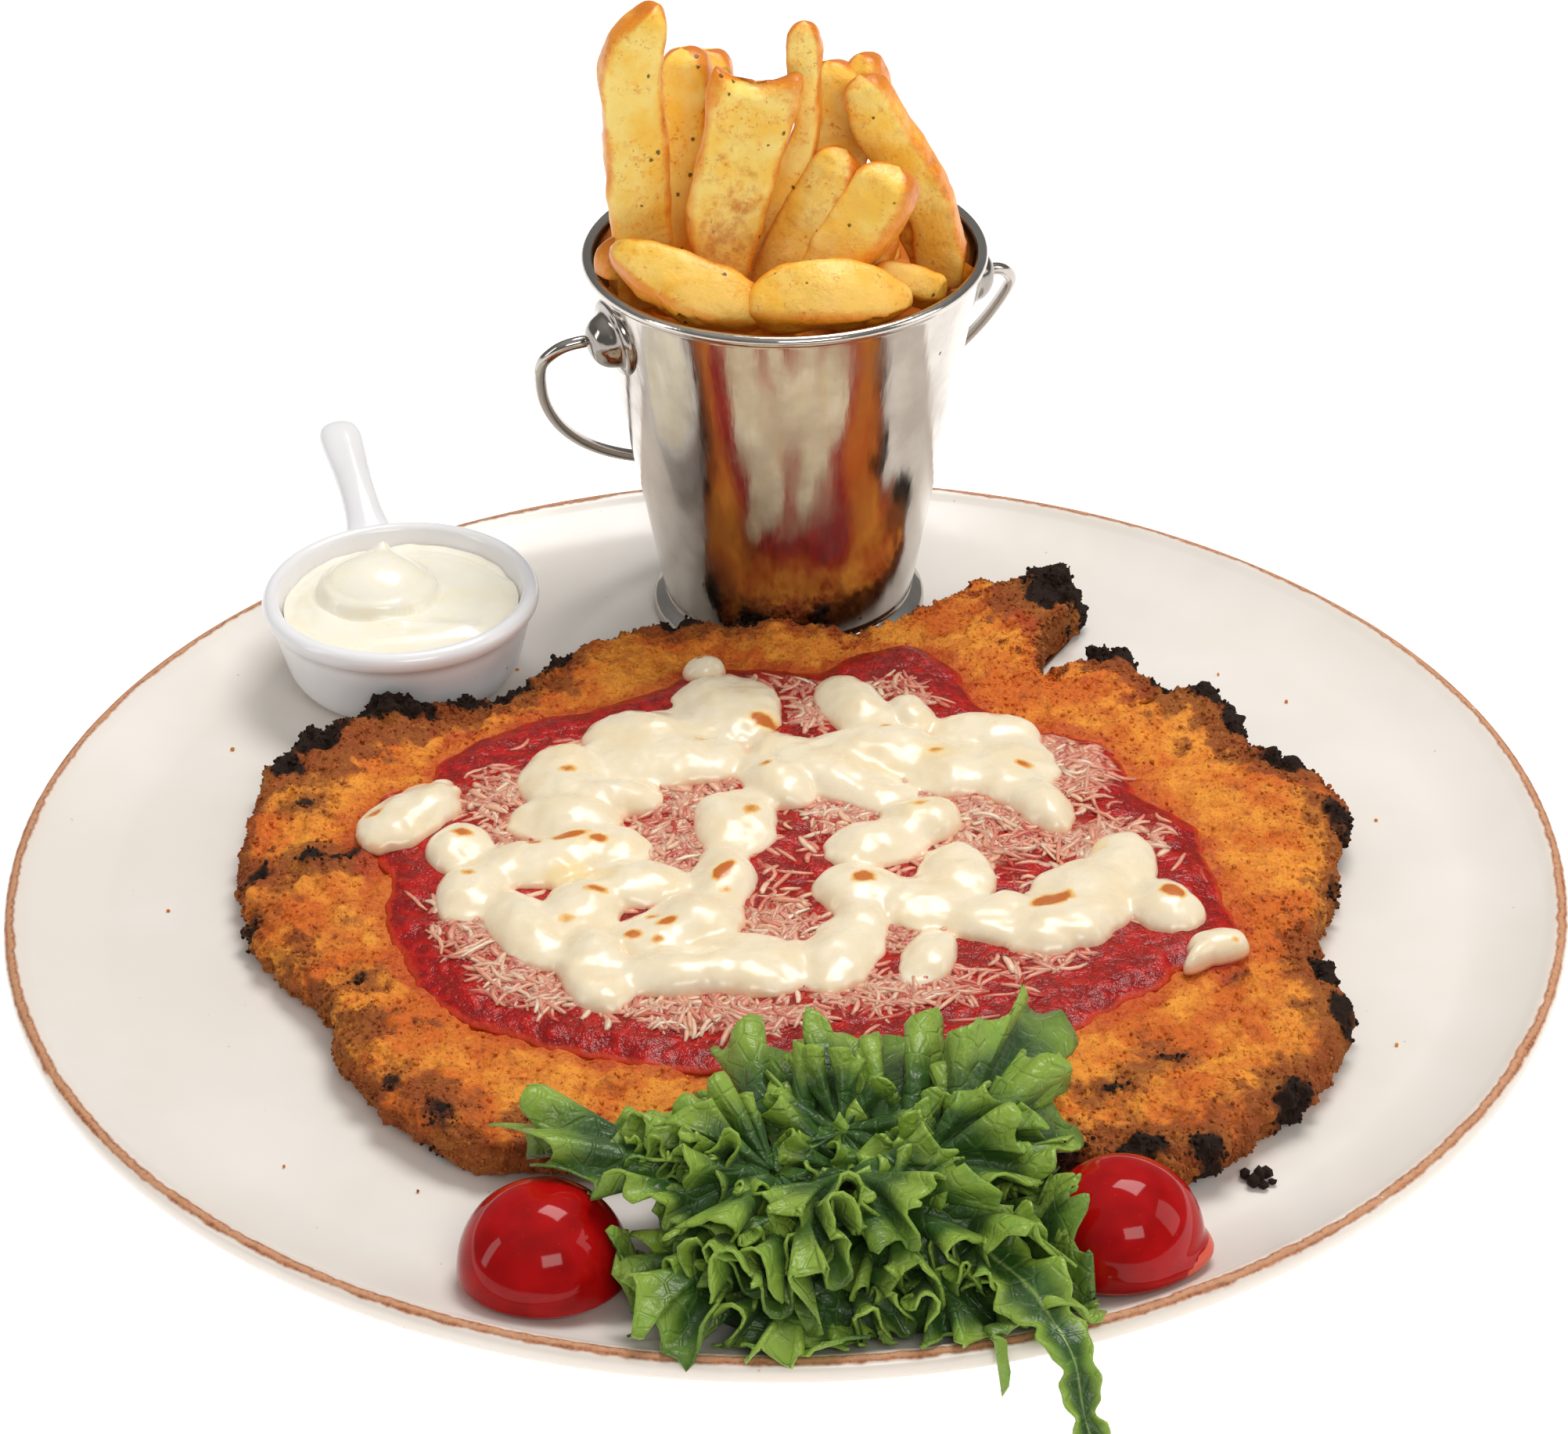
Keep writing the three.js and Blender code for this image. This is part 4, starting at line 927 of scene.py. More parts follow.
@dataclass(frozen=True)
class MeltedCheese:
    """Creamy melted cheese: oily, toasted in spots, pinkish where it thins out over the sauce."""

    cream: Colour = srgb(241, 228, 200)

    def material(self) -> Material:
        """Cream with what the mesh carries: toast, thin and oily."""
        p = Paint("melted_cheese")
        soft = p.cloud(9, 3)
        p.colour = p.mix(p.level(soft, 0.35, 0.7), self.cream, srgb(238, 220, 184))
        p.lay(p.level(p.carried("oily") + p.stir(0.8, 3, 3), 0.2, 1.0) * 0.6, srgb(244, 214, 140))
        thin = p.level(p.carried("thin") + p.stir(0.6, 2.6, 3), 0.3, 0.85)
        p.lay(thin * 0.6, srgb(238, 186, 146))
        toast = p.carried("toast") + p.stir(0.5, 1.3, 3, 0.7)
        p.lay(p.level(toast, 0.12, 0.42) * 0.85, srgb(238, 184, 84))
        p.lay(p.level(toast, 0.36, 0.7) * 0.92, srgb(196, 98, 22))
        p.bump(p.cloud(5, 1), 0.2)
        rough = 0.26 + p.stir(0.16, 3)
        return p.finished(rough, (0.22, 0.4, 5, 3.5, 2), Coat_Weight=0.2, Coat_Roughness=0.2)


@dataclass(frozen=True)
class GratedCheese:
    """Softened shreds of hard cheese, tinted by the sauce that they lie in."""

    pale: Colour = srgb(234, 172, 142)

    def material(self) -> Material:
        """From cream to pink by what each shred carries."""
        p = Paint("grated_cheese")
        tint = p.carried("tint") + p.stir(0.5, 1.6)
        deeper = (0.75, srgb(220, 134, 112)), (1.0, srgb(190, 62, 48))
        p.colour = p.ramp(tint, (0.0, srgb(246, 222, 194)), (0.4, self.pale), *deeper)
        p.bump(p.cloud(0.8), 0.12)
        return p.finished(0.3 + p.stir(0.2, 2), (0.3, 0.4, 5, 2.5, 2))


@dataclass(frozen=True)
class Mayonnaise:
    """Smooth, glossy pale yellow."""

    cream: Colour = srgb(255, 247, 230)

    def material(self) -> Material:
        """Nearly even cream with a wet gloss."""
        p = Paint("mayonnaise")
        p.colour = p.mix(p.patch(0.35, 0.7, 8), self.cream, srgb(254, 243, 220))
        p.bump(p.cloud(4.5), 0.22)
        rough = 0.2 + p.stir(0.08, 5)
        return p.finished(rough, (0.35, 0.5, 6, 5, 3), Coat_Weight=0.25, Coat_Roughness=0.08)


@dataclass(frozen=True)
class FriedPotato:
    """Fried potato: yellow faces, orange edges and tips, herb and pepper flecks."""

    yellow: Colour = srgb(254, 206, 80)
    orange: Colour = srgb(232, 134, 18)

    def material(self) -> Material:
        """Faces and edges by what the mesh carries, with blotches and flecks, and painted shade lower down."""
        p = Paint("fried_potato")
        blotch = p.cloud(7, 3, 0.6)
        grain = p.cloud(0.9, 3, 0.65)
        carried = p.carried("edge")
        edge = p.level(carried + (blotch - 0.5) * 1.3 + (grain - 0.5) * 0.3, 0.2, 1.0)
        p.colour = p.mix(p.patch(0.36, 0.62, 10, 3), self.yellow, srgb(255, 228, 128))
        # Painted shade: fries lower down, nearer the pail's rim, are laid darker orange.
        low = p.level(p.axis(2), 120, 106)
        p.lay(low * 0.6, srgb(234, 166, 46))
        p.lay(edge * 0.9, self.orange)
        p.lay(p.level(carried + p.stir(0.8, 3, 3), 0.8, 1.2) * 0.5, srgb(190, 92, 14))
        rust = p.level(p.carried("spice") + p.stir(1.4, 3.0, 4, 0.6), 0.3, 0.8)
        p.lay(rust * 0.65, srgb(190, 88, 14))
        dusted = p.patch(0.5, 0.68, 2.3, 4, 0.7) * p.level(blotch, 0.42, 0.6)
        p.lay(dusted * 0.5, srgb(234, 138, 16))
        freckle = p.patch(0.6, 0.68, 1.1, 2, 0.7) * p.level(blotch, 0.44, 0.6)
        p.lay(freckle * 0.55, srgb(196, 96, 16))
        flecks = p.level(p.cells(5.4) + p.stir(0.16, 0.8), 0.1, 0.07)
        p.lay(flecks * 0.85, srgb(66, 50, 14))
        p.bump(p.cloud(3.4, 3), 0.5)
        p.bump(grain, 0.14)
        p.bump(flecks, 0.25)
        rough = 0.40 + (grain - 0.5) * 0.25 - edge * 0.06
        coat = {"Coat_Weight": 0.08, "Coat_Roughness": 0.3}
        return p.finished(rough, (0.07, 0.5, 3, 2, 1), Specular_IOR_Level=0.4, **coat)


@dataclass(frozen=True)
class LettuceLeaf:
    """Fresh frilly lettuce: lighter at the frilled margin, with painted light on the frills' crests and painted
    shade in the folds, pale along the ribs.
    """

    bright: Colour = srgb(138, 166, 60)
    deep: Colour = srgb(46, 80, 27)

    def material(self) -> Material:
        """Green by what the mesh carries: rim, which holds the margin's lighter green with painted light on the
        crests and painted shade in the folds, and rib.
        """
        p = Paint("lettuce_leaf")
        blotch = p.cloud(7, 3)
        # Bright stands for the margin and painted light on the frills' crests; deep for the blade and painted
        # shade in the folds.
        rim = p.level(p.carried("rim") + (blotch - 0.5) * 0.7, 0.1, 1.0)
        p.colour = p.mix(rim, self.deep, self.bright)
        p.lay(p.level(blotch, 0.5, 0.75) * 0.4, srgb(88, 138, 44))
        veins = p.level(p.cells(4.4, "DISTANCE_TO_EDGE"), 0.10, 0.02)
        p.lay(veins * 0.08, srgb(130, 166, 74))
        rib = p.level(p.carried("rib") + p.stir(0.3, 2), 0.3, 0.8)
        p.lay(rib * 0.55, srgb(170, 192, 108))
        p.bump(p.cloud(3.2, 3), 0.7)
        p.bump(1.0 - veins, 0.16)
        rough = 0.34 + (blotch - 0.5) * 0.3
        return p.finished(rough, (0.15, 0.5, 1, 3, 0.5), Specular_IOR_Level=0.4, Sheen_Weight=0.05)


@dataclass(frozen=True)
class TomatoSkin:
    """Ripe tomato: deep red wet skin, and paler flesh at the cut."""

    red: Colour = srgb(172, 12, 14)

    def material(self) -> Material:
        """Skin, and flesh where the mesh carries it."""
        p = Paint("tomato")
        p.colour = p.mix(p.patch(0.35, 0.7, 9), self.red, srgb(146, 6, 8))
        speck = p.level(p.cells(1.6), 0.12, 0.07) * 0.14
        p.lay(speck, srgb(214, 96, 60))
        cut = p.level(p.carried("cut") + p.stir(0.3, 2), 0.35, 0.75)
        p.lay(cut, srgb(214, 92, 70))
        rough = 0.07 + cut * 0.15
        p.bump(p.cloud(10, 1), 0.3)
        return p.finished(rough, (0.04, 0.3, 4, 0.6, 0.4), Specular_IOR_Level=0.2)


class Body(Enum):
    """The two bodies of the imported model."""

    SERVING = "serving"
    BAIL = "bail"


def dressed(
    shape: Surface, name: str, slot: str, material: Material, *nodes: str, body: Body = Body.SERVING
) -> Piece:
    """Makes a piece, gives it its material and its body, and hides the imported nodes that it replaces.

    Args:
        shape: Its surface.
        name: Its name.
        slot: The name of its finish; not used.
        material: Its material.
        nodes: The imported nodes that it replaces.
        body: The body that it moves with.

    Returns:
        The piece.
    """
    made = shape.piece(name)
    made.data.materials.append(material)
    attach(made, body.value)
    if nodes:
        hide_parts(*nodes)
    LOG.info("%s: %d faces", made.name, len(made.data.polygons))
    return made


# ---- plate
@dataclass
class Plate:
    """Shallow stoneware plate with a concave slope and a rounded lip."""

    radius: float = 162.0
    rim_top: float = 18.0
    well: float = 11.8
    well_radius: float = 141.0
    foot: float = 98.0
    sides: int = 320

    def top(self, radius: Array) -> Array:
        """Height of the upper face: the well, then 6.2 * climb^1.6 above it."""
        climb = np.clip((radius - self.well_radius) / (self.radius - 2.5 - self.well_radius), 0, 1)
        return self.well + (self.rim_top - self.well) * climb**1.6

    def build(self) -> Piece:
        """The turned profile, its rim a little uneven as thrown ware is."""
        r = self.radius
        foot, lip = self.foot, self.rim_top
        under = [
            (0, 1.4), (foot - 10, 1.4), (foot - 8, 0.2), (foot - 6.5, 0), (foot - 2, 0), (foot + 1.5, 1.4),
            (foot + 6, 6.1), (self.well_radius - 12, 7.1), (r - 5.5, 12.2), (r - 1.8, 12.75), (r - 0.4, 13.9),
            (r, 15.6), (r - 0.4, 17.1), (r - 1.6, lip), (r - 2.8, lip), (r - 4, lip - 0.6),
        ]
        slope = np.linspace(r - 5, self.well_radius - 4, 30)
        face = np.stack([slope, self.top(slope)], -1)
        rest = [(inner, self.well) for inner in (125, 105, 80, 50, 20, 3)]
        profile = np.vstack([rounded(np.array(under, float), 0.9, 4), face, np.array(rest, float)])
        made = Surface.turned(profile, self.sides)
        x, y, z = made.points.T
        turn = np.arctan2(y, x)
        rim = ease(np.hypot(x, y), 120, r)
        grow = np.minimum(1 + rim * (0.0016 * np.sin(3 * turn + 0.8) + 0.001 * np.sin(7 * turn)), 1.0)
        lift = rim * (0.15 * np.sin(2 * turn + 1.1) + 0.1 * np.sin(5 * turn)) - rim * 0.1
        made.points = np.stack([x * grow, y * grow, z + lift], -1)
        return dressed(made, "stoneware_plate", "stoneware", Stoneware().material(), "plate")


# ---- cutlet
# The edge, anticlockwise from the dish's side: the front, the right, the two lobes and the long horn
# of crust at the back, then along the pail to the dish.
CUTLET_EDGE = [
    (-103.5, 44), (-111.5, 26), (-113.5, 6), (-113, -8), (-108, -30), (-98.5, -45), (-90.5, -55), (-87, -70),
    (-79, -84), (-70, -94), (-60, -101), (-46, -103), (-26, -102), (-4, -101), (18, -101), (38, -103),
    (54, -105), (73.5, -109.5), (87, -98.5), (98.5, -87), (107, -74), (111, -59), (107, -42), (108, -31),
    (113, -18), (115, -5), (119, 10), (117, 18), (112, 26.5), (106, 32), (101, 31), (100, 44), (96, 54),
    (91, 58.5), (86, 52), (84, 59), (79, 66), (77, 76), (72.5, 77.5), (68, 73), (60, 64.5), (57, 68),
    (58.5, 80), (61.5, 88), (68, 95), (67, 103), (62, 112), (56, 109), (47, 108), (39, 99.5), (29, 91),
    (15, 84.5), (2, 85.5), (-18, 88), (-33, 88), (-44, 79.5), (-53, 72.5), (-57.5, 61.5), (-68, 58.5),
    (-76, 55), (-84, 53.5), (-92, 53), (-98.5, 45),
]
SAUCE_EDGE = [
    (-88, 8), (-87, -2), (-82, -12), (-80, -32), (-74, -49), (-64, -62), (-54, -68.5), (-42, -75), (-25, -79),
    (-10, -81.5), (3, -83), (12, -86), (20, -83), (31.5, -78), (46.5, -74), (60, -66.5), (71, -58.5), (78, -51),
    (86, -50), (91, -42), (89.5, -29), (86.5, -12), (84, 4), (76, 11), (72, 24), (66, 36), (52, 41), (42, 50),
    (38, 65), (31, 73.5), (13, 70), (8, 65), (-5, 66), (-18, 65.5), (-27, 60.5), (-39, 51), (-54, 46.5),
    (-67, 37.5), (-74, 28), (-75, 20), (-83, 17),
]
# Raised crags and flakes of crust: x, y, how far they spread and how high they stand.
CRAGS = [
    (-97, -8, 7, 3.2), (63, 104, 7, 2.6), (54, 76, 6, 2.2), (-40, 70, 9, 1.4), (92, 50, 8, 1.8),
    (104, 12, 9, 1.5), (100, -62, 11, 1.8), (74, -92, 10, 1.6), (-86, -60, 9, 1.6), (-66, -88, 9, 1.8),
    (-96, 40, 8, 1.6), (-84, 52, 6, 4), (-75, 54, 5, 2.2), (-4, 84, 10, 2.4), (28, 86, 8, 1.6),
    (-20, -92, 9, 1.2),
]
# Charred places: x, y, half length, half width, bearing, strength.
CHARS = [
    (64, 105, 9, 7, 60, 1.6), (60, 95, 6, 5, 0, 1.4), (67, 99, 5, 5, 0, 1.2), (73, 73.5, 7.5, 4.2, -25, 1.5),
    (83.8, 57, 2.6, 6.5, 10, 1.2), (94, 53, 6.5, 4, -40, 1.4), (98, 43, 3.2, 7.5, 5, 1.2),
    (107, 27.5, 6, 3.4, -35, 1.1), (-101, 40.5, 7.5, 5.6, 50, 1.6), (-106, 30, 4, 6, 20, 1.0),
    (-85, 50, 10, 4.4, 0, 1.6), (-70, 55, 5, 3.2, 0, 1.25), (-60, 59.5, 6, 3.4, 30, 1.2),
    (-50, 70, 5, 3, 40, 0.8), (-108, -11, 3.6, 2.4, 20, 0.9), (-101, 14, 2.8, 2, 0, 0.8),
    (-95, -7, 8.5, 2.4, 12, 1.0), (-85, -49, 3.4, 2.6, 0, 0.7), (-46, -94, 4, 2, 0, 0.8),
    (-76, -82, 4, 3, -50, 0.7), (-66, -93, 6, 3, -35, 0.72), (62, -88, 4, 2, 20, 0.8),
    (74, -77, 4.5, 2.2, -20, 0.75), (66, -105, 7, 2.8, -10, 1.1), (78, -104.5, 4, 3, 20, 1.0),
    (96.5, -88, 3.2, 7, -35, 1.1), (107, -50, 3.2, 8, 8, 1.2), (109, -64, 3.4, 5, -10, 1.0),
    (89, -52, 2, 1.4, 0, 0.6), (115.5, 6, 3.4, 6, 0, 0.9), (-24, 87, 7, 3, 0, 0.95), (-8, 85, 6, 2.4, 0, 0.8),
    (113, -18, 2.6, 5, -10, 0.8), (52, -103, 5, 2.6, 0, 0.8), (-109, -26, 2.6, 5, 10, 0.7),
    (10, 83, 5, 2.4, 0, 0.75),
]
# Browner places.
BROWNS = [
    (-26, 86, 13, 5, 0, 0.9), (0, 84, 12, 4, 0, 0.7), (-104, -16, 7, 12, 0, 0.6), (-98, -40, 9, 8, -40, 0.6),
    (-84, -66, 9, 10, -40, 0.75), (-68, -86, 12, 8, -40, 0.75), (-46, -96, 12, 6, 0, 0.7),
    (-14, -96, 8, 4, 0, 0.6), (68, -82, 9, 4, 20, 0.75), (84, -92, 10, 8, 40, 0.5), (104, -70, 6, 12, -10, 0.6),
    (100, -30, 6, 10, 0, 0.4), (86, 34, 5, 3, 60, 0.6), (108, 12, 4, 12, 0, 0.45), (92, 46, 8, 6, 0, 0.55),
    (56, 84, 5, 12, 0, 0.7), (52, 96, 10, 8, 40, 0.55), (-76, 50, 12, 5, 0, 0.5), (-92, 40, 6, 6, 0, 0.5),
    (-98, -10, 10, 5, 12, 0.8), (-88, -30, 5, 3, 0, 0.5), (-70, -66, 6, 4, 0, 0.45), (38, -94, 14, 5, 0, 0.35),
    (-34, -86, 8, 4, 0, 0.4), (70, 62, 6, 4, 0, 0.45), (78, 8, 4, 5, 0, 0.4), (94, 14, 5, 3, 0, 0.35),
    (-97, 22, 4, 6, 0, 0.45),
]
# Traces of sauce on the crust beyond the pool.
STAINS = [
    (54, 82, 5, 9, 0, 0.9), (66, 84, 5, 6, 0, 0.5), (70, 58, 7, 5, 0, 0.7), (78, 52, 5, 5, 0, 0.6),
    (44, 96, 10, 6, 20, 0.6), (-72, 40, 10, 6, -30, 0.6), (-88, 34, 6, 5, 0, 0.45), (-96, 2, 6, 10, 0, 0.4),
    (96, 2, 6, 14, 0, 0.4), (88, -64, 10, 6, -30, 0.5), (40, -88, 20, 6, 0, 0.5), (-60, -80, 12, 6, -30, 0.5),
    (-88, -20, 5, 12, 0, 0.5), (-40, 76, 8, 5, 30, 0.35), (6, 80, 18, 5, 0, 0.7), (84, 24, 8, 8, 0, 0.5),
]


@dataclass
class Cutlet:
    """The crumbed, fried cutlet: a slab with a ragged, rounded edge and uneven crust."""

    flank: float = 17.0
    count: int = 1100
    crag: float = 1.1
    blur: float = 19.0
    drawn_in: float = 0.84
    made: Surface | None = None

    def __post_init__(self) -> None:
        """Works out the two outlines."""
        self.edge = Outline.smooth(CUTLET_EDGE, self.count)
        self.sauce = Outline.smooth(SAUCE_EDGE, 300)
        self.coarse = Outline.smooth(CUTLET_EDGE, 220)

    def swell(self, x: Array, y: Array) -> Array:
        """The crust's large relief: crossed waves and a bell for each crag, none of it under the sauce.

        Args:
            x: Places, any shape.
            y: Places, the same shape.

        Returns:
            Height at each place.
        """
        clear = ease(-self.sauce.depth(x, y), 3, 9)
        waves = self.crag * np.sin(x * 0.11 + y * 0.05) * np.sin(y * 0.13 - x * 0.04 + 1)
        crags = sum(h * np.exp(-((x - cx) ** 2 + (y - cy) ** 2) / r**2) for cx, cy, r, h in CRAGS)
        return clear * (waves + crags)

    def rings(self) -> tuple[Array, Array]:
        """Closed rings from the underside round the edge to the middle, and how far inward each lies.

        A ring is edge * (1 - inward) + core * inward, the core being the edge blurred and drawn in to 0.84,
        and rings past the core shrink towards the middle.
        """
        base = self.edge.points
        step = np.linalg.norm(np.diff(base, axis=0), axis=1).mean()
        edge = self.edge.moved(0.95 * uneven(*base.T, 6.5, 3, 3) + 0.45 * uneven(*base.T, 1.8, 5, 2) - 0.2)
        core = softly(base, self.blur / step) * self.drawn_in
        # Share of the way inward and height: the underside's rings, then the flank up to the face.
        under = np.array([(0.2, 12.1), (0.12, 12.4), (0.05, 13.7)])
        flank = np.array([(0.05, 13.7), (0, self.flank), (0.035, 19.8), (0.12, 21.5), (0.5, CRUST), (1, CRUST)])
        stops = [0, 0.30, 0.48, 0.62, 0.84, 1.0]
        at = np.concatenate([np.linspace(0, 0.62, 24, endpoint=False)[1:], np.linspace(0.62, 1, 30)])
        raw = (np.concatenate([under[:, k], np.interp(at, stops, flank[:, k])]) for k in range(2))
        inward, height = (np.convolve(np.pad(v, 2, "edge"), np.ones(5) / 5, "valid") for v in raw)
        shrink = np.concatenate([np.linspace(1, 0.66, 30)[1:], [0.5, 0.3, 0.1]])
        made = [edge * (1 - u) + core * u for u in inward] + [core * s for s in shrink]
        rings = np.zeros((len(made), self.count, 3))
        rings[..., :2] = np.array(made)
        rings[..., 2] = np.concatenate([height, np.full(len(shrink), CRUST)])[:, None]
        inward = np.concatenate([inward, np.ones(len(shrink))])
        return rings, np.broadcast_to(inward[:, None], rings.shape[:2])

    def build(self, finish: Material) -> Piece:
        """The slab with its swell, crags and crumb, cleared from the dish and the pail.

        Args:
            finish: The crust's material.

        Returns:
            The piece.
        """
        rings, inward = self.rings()
        x, y, z = rings[..., 0], rings[..., 1], rings[..., 2]
        upper = ease(z, 16, 20.5)
        lift = upper * self.swell(x, y)
        flank = 1.5 * (1 - np.abs(np.clip((z - self.flank) / 4, -1, 1))) * (inward < 0.3)
        belly = flank * np.sin(5 * np.arctan2(y, x) + 0.6)
        rings = np.stack([x, y, z + lift + belly], -1)
        depth = -self.sauce.depth(x, y)
        bare = ease(depth, -3, 3)
        place = rings.reshape(-1, 3)
        crumb = 0.95 * noise(place, 5.5, 11, 2) + 0.7 * noise(place, 2.1, 12, 2) + 0.36 * noise(place, 1.0, 13)
        rough = crumb.reshape(x.shape) * bare
        edge = (1 - ease(inward, 0.0, 0.32)) * ease(z, 11, 14)
        char = spots(x, y, CHARS, 0.22)
        burnt = ease(y, -10, 50) * (0.5 + uneven(x, y, 11, 23, 2))
        char = np.maximum(char, edge**2 * np.clip(burnt, 0, 1) * 0.6)
        halo = [(cx, cy, 1.9 * u + 3, 2.1 * v + 3, turn, 0.85 * force) for cx, cy, u, v, turn, force in CHARS]
        rim = (1.0 + 0.3 * ease(y, -20, 40)) * edge * (0.75 + 0.9 * uneven(x, y, 9, 24, 2))
        # Painted shade: the low part of the flank, under the crust's edge, is made browner.
        low = 0.75 * (1 - ease(z, 16.5, 20))
        brown = np.maximum.reduce([spots(x, y, BROWNS, 0.3), spots(x, y, halo, 0.3), rim, low])
        stain = np.clip((1 - ease(depth, 0, 8)) * 0.95 + spots(x, y, STAINS, 0.3), 0, 1)
        made = Surface.rings(rings, char=char, brown=brown, stain=stain, bare=bare)
        flakes = spots(*made.points[:, :2].T, CHARS, 0.22) * 1.7 * noise(made.points, 2.4, 21, 2)
        steady = np.concatenate([(rough * ease(z, 12.2, 14)).ravel(), [0, 0]])
        made.pushed(steady + flakes * ease(made.points[:, 2], 13, 16))
        for vessel in (SauceDish(), Pail()):
            vessel.keep_out(made.points, 0.35)
        self.made = made
        return dressed(made, "crumbed_cutlet", "fried_crust", finish, "cutlet")


# Crumbs that fell on the plate: x, y, half size and how burnt.
LOOSE = [
    (88.5, -104, 1.6, 1.5), (90, -102.8, 1.3, 1.5), (87.4, -105.4, 1.4, 1.5), (89.2, -106.4, 1.1, 1.5),
    (86, -103, 1.2, 1.4), (91, -105, 0.8, 1.5), (-121, 52, 0.45, 0.0), (-96, -96, 0.4, 0.2),
    (126, 18, 0.4, 0.0), (112, 66, 0.45, 0.3), (-128, -10, 0.35, 0.0), (98, 78, 0.4, 0.0),
    (-70, -104, 0.4, 0.4), (120, -62, 0.4, 0.1), (-60, 84, 0.4, 0.0),
]


@dataclass
class Crumbs:
    """Loose breadcrumbs that stand out of the crust."""

    count: int = 9500
    smallest: float = 0.2
    largest: float = 0.56

    def build(self, cutlet: Cutlet, finish: Material) -> Piece:
        """A jagged twenty-sided grain at each of many places drawn from the crust's bare corners.

        Args:
            cutlet: The built cutlet.
            finish: The crust's material.

        Returns:
            The piece.
        """
        rng = np.random.default_rng(7)
        skin = cutlet.made
        normal = skin.normals()
        weight = skin.values["bare"] * (skin.points[:, 2] > 13.5) * (0.5 + 0.8 * skin.values["brown"])
        picks = rng.choice(len(skin.points), self.count, replace=False, p=weight / weight.sum())
        size = self.smallest + (self.largest - self.smallest) * rng.random(self.count) ** 2.2
        middle = skin.points[picks] + normal[picks] * (size * 0.25)[:, None]
        x, y, fallen, burnt = np.array(LOOSE).T
        middle = np.vstack([middle, np.stack([x, y, Plate().top(np.hypot(x, y)) + 0.9 * fallen], -1)])
        size = np.concatenate([size, fallen])
        count = len(size)
        g = (1 + 5**0.5) / 2
        corners = np.array([
            (-1, g, 0), (1, g, 0), (-1, -g, 0), (1, -g, 0), (0, -1, g), (0, 1, g),
            (0, -1, -g), (0, 1, -g), (g, 0, -1), (g, 0, 1), (-g, 0, -1), (-g, 0, 1),
        ]) / 1.9
        faces = np.array([
            (0, 11, 5), (0, 5, 1), (0, 1, 7), (0, 7, 10), (0, 10, 11), (1, 5, 9), (5, 11, 4), (11, 10, 2),
            (10, 7, 6), (7, 1, 8), (3, 9, 4), (3, 4, 2), (3, 2, 6), (3, 6, 8), (3, 8, 9), (4, 9, 5),
            (2, 4, 11), (6, 2, 10), (8, 6, 7), (9, 8, 1),
        ])
        jag = 1 + 0.34 * (rng.random((count, 12, 1)) - 0.5)
        spread = 0.75 + 0.5 * rng.random((count, 1, 3))
        points = middle[:, None] + corners * jag * spread * size[:, None, None]
        tris = (np.arange(count) * len(corners))[:, None, None] + faces
        held = {}
        # Brown carries the cutlet's painted shade on its low flank as well as its browning.
        for name, gain in (("char", 1.5), ("brown", 1.15), ("stain", 1.0)):
            shade = skin.values[name][picks] * gain + (rng.random(self.count) - 0.45) * 0.3
            shade = np.concatenate([np.clip(shade, 0, 1.5), burnt if name != "stain" else burnt * 0])
            held[name] = np.repeat(shade, 12)
        made = Surface(points.reshape(-1, 3), tris=tris.reshape(-1, 3), values=held)
        return dressed(made, "crust_crumbs", "fried_crust", finish)


# ---- melted cheese
# Melted slices and curds that ran together: x, y, half length, half width, bearing, height.
LOBES = [
    (-29, 34, 13, 10.5, 0, 4.2), (-12, 46, 12.5, 10.5, 90, 4.4), (-16, 52, 7, 5, 20, 3.8),
    (-46.5, 18, 12, 8.5, 95, 4.2), (-24, 25, 15, 8, 5, 3.4), (-36, 11, 10, 6, 10, 3.0), (-46, 3, 11, 7, 0, 3.0),
    (-1.5, 16.5, 9.5, 6, -55, 3.8), (-10, 1.5, 11.5, 8, 92, 4.0), (16, 45, 12, 6.5, -62, 4.0),
    (28, 42.5, 6.5, 4.5, -65, 3.4), (43, 35.5, 11, 6.5, -6, 4.0), (22, 27.5, 17, 8.5, -8, 4.0),
    (36, 20.5, 9, 9, 0, 4.2), (48, 20.5, 12, 9, 90, 4.4), (54, 6, 9, 5.5, -70, 3.6), (10, 20, 21, 7, -38, 3.6),
    (28.5, 1, 8, 7.5, 0, 3.8), (19, -7, 11, 7.5, 28, 3.8), (15, -24, 9, 8, 0, 3.8), (35, -20, 11, 7, 95, 3.8),
    (29, -29, 10, 8, 10, 3.4), (12, -44, 14, 7, 72, 3.8), (28, -48, 9, 5, 70, 3.2), (44, -35, 12, 7, 0, 3.8),
    (56, -36, 13, 8.5, 30, 4.2), (61, -25, 12, 9, 30, 4.2), (69, -15, 10, 6.5, 80, 3.8),
    (76, -31, 9, 6.5, -60, 4.2), (-67, -6.5, 7.5, 6.5, 90, 4.0), (-64, -23, 9.5, 6.5, 80, 3.8),
    (-38, -8, 10, 7, 0, 4.0), (-52, -13, 12, 7, 0, 3.4), (-52, -36, 14, 6.5, -62, 4.2),
    (-41, -30, 12, 7.5, 80, 3.8), (-38, -50, 13, 7, -75, 4.2), (-26, -39, 8.5, 7.5, 0, 4.0),
    (-23, -52, 11, 7, 0, 3.8), (-8, -49, 15, 9, 0, 4.2), (-12.5, -19, 11, 6, 88, 4.2),
    (-18, -33, 9, 8.5, 0, 3.8), (-30, -21, 10, 7, 0, 3.0),
]
LEFT_CURD = [(-78.5, 5.5, 14.5, 8.4, 55, 5.0)]
TOP_CURD = [(-17.5, 62.6, 4.6, 3.4, 0, 3.2)]
RIGHT_CURD = [(86, -44.5, 6, 4.6, 10, 3.6), (82.5, -48, 5.5, 2.2, 50, 2.2)]
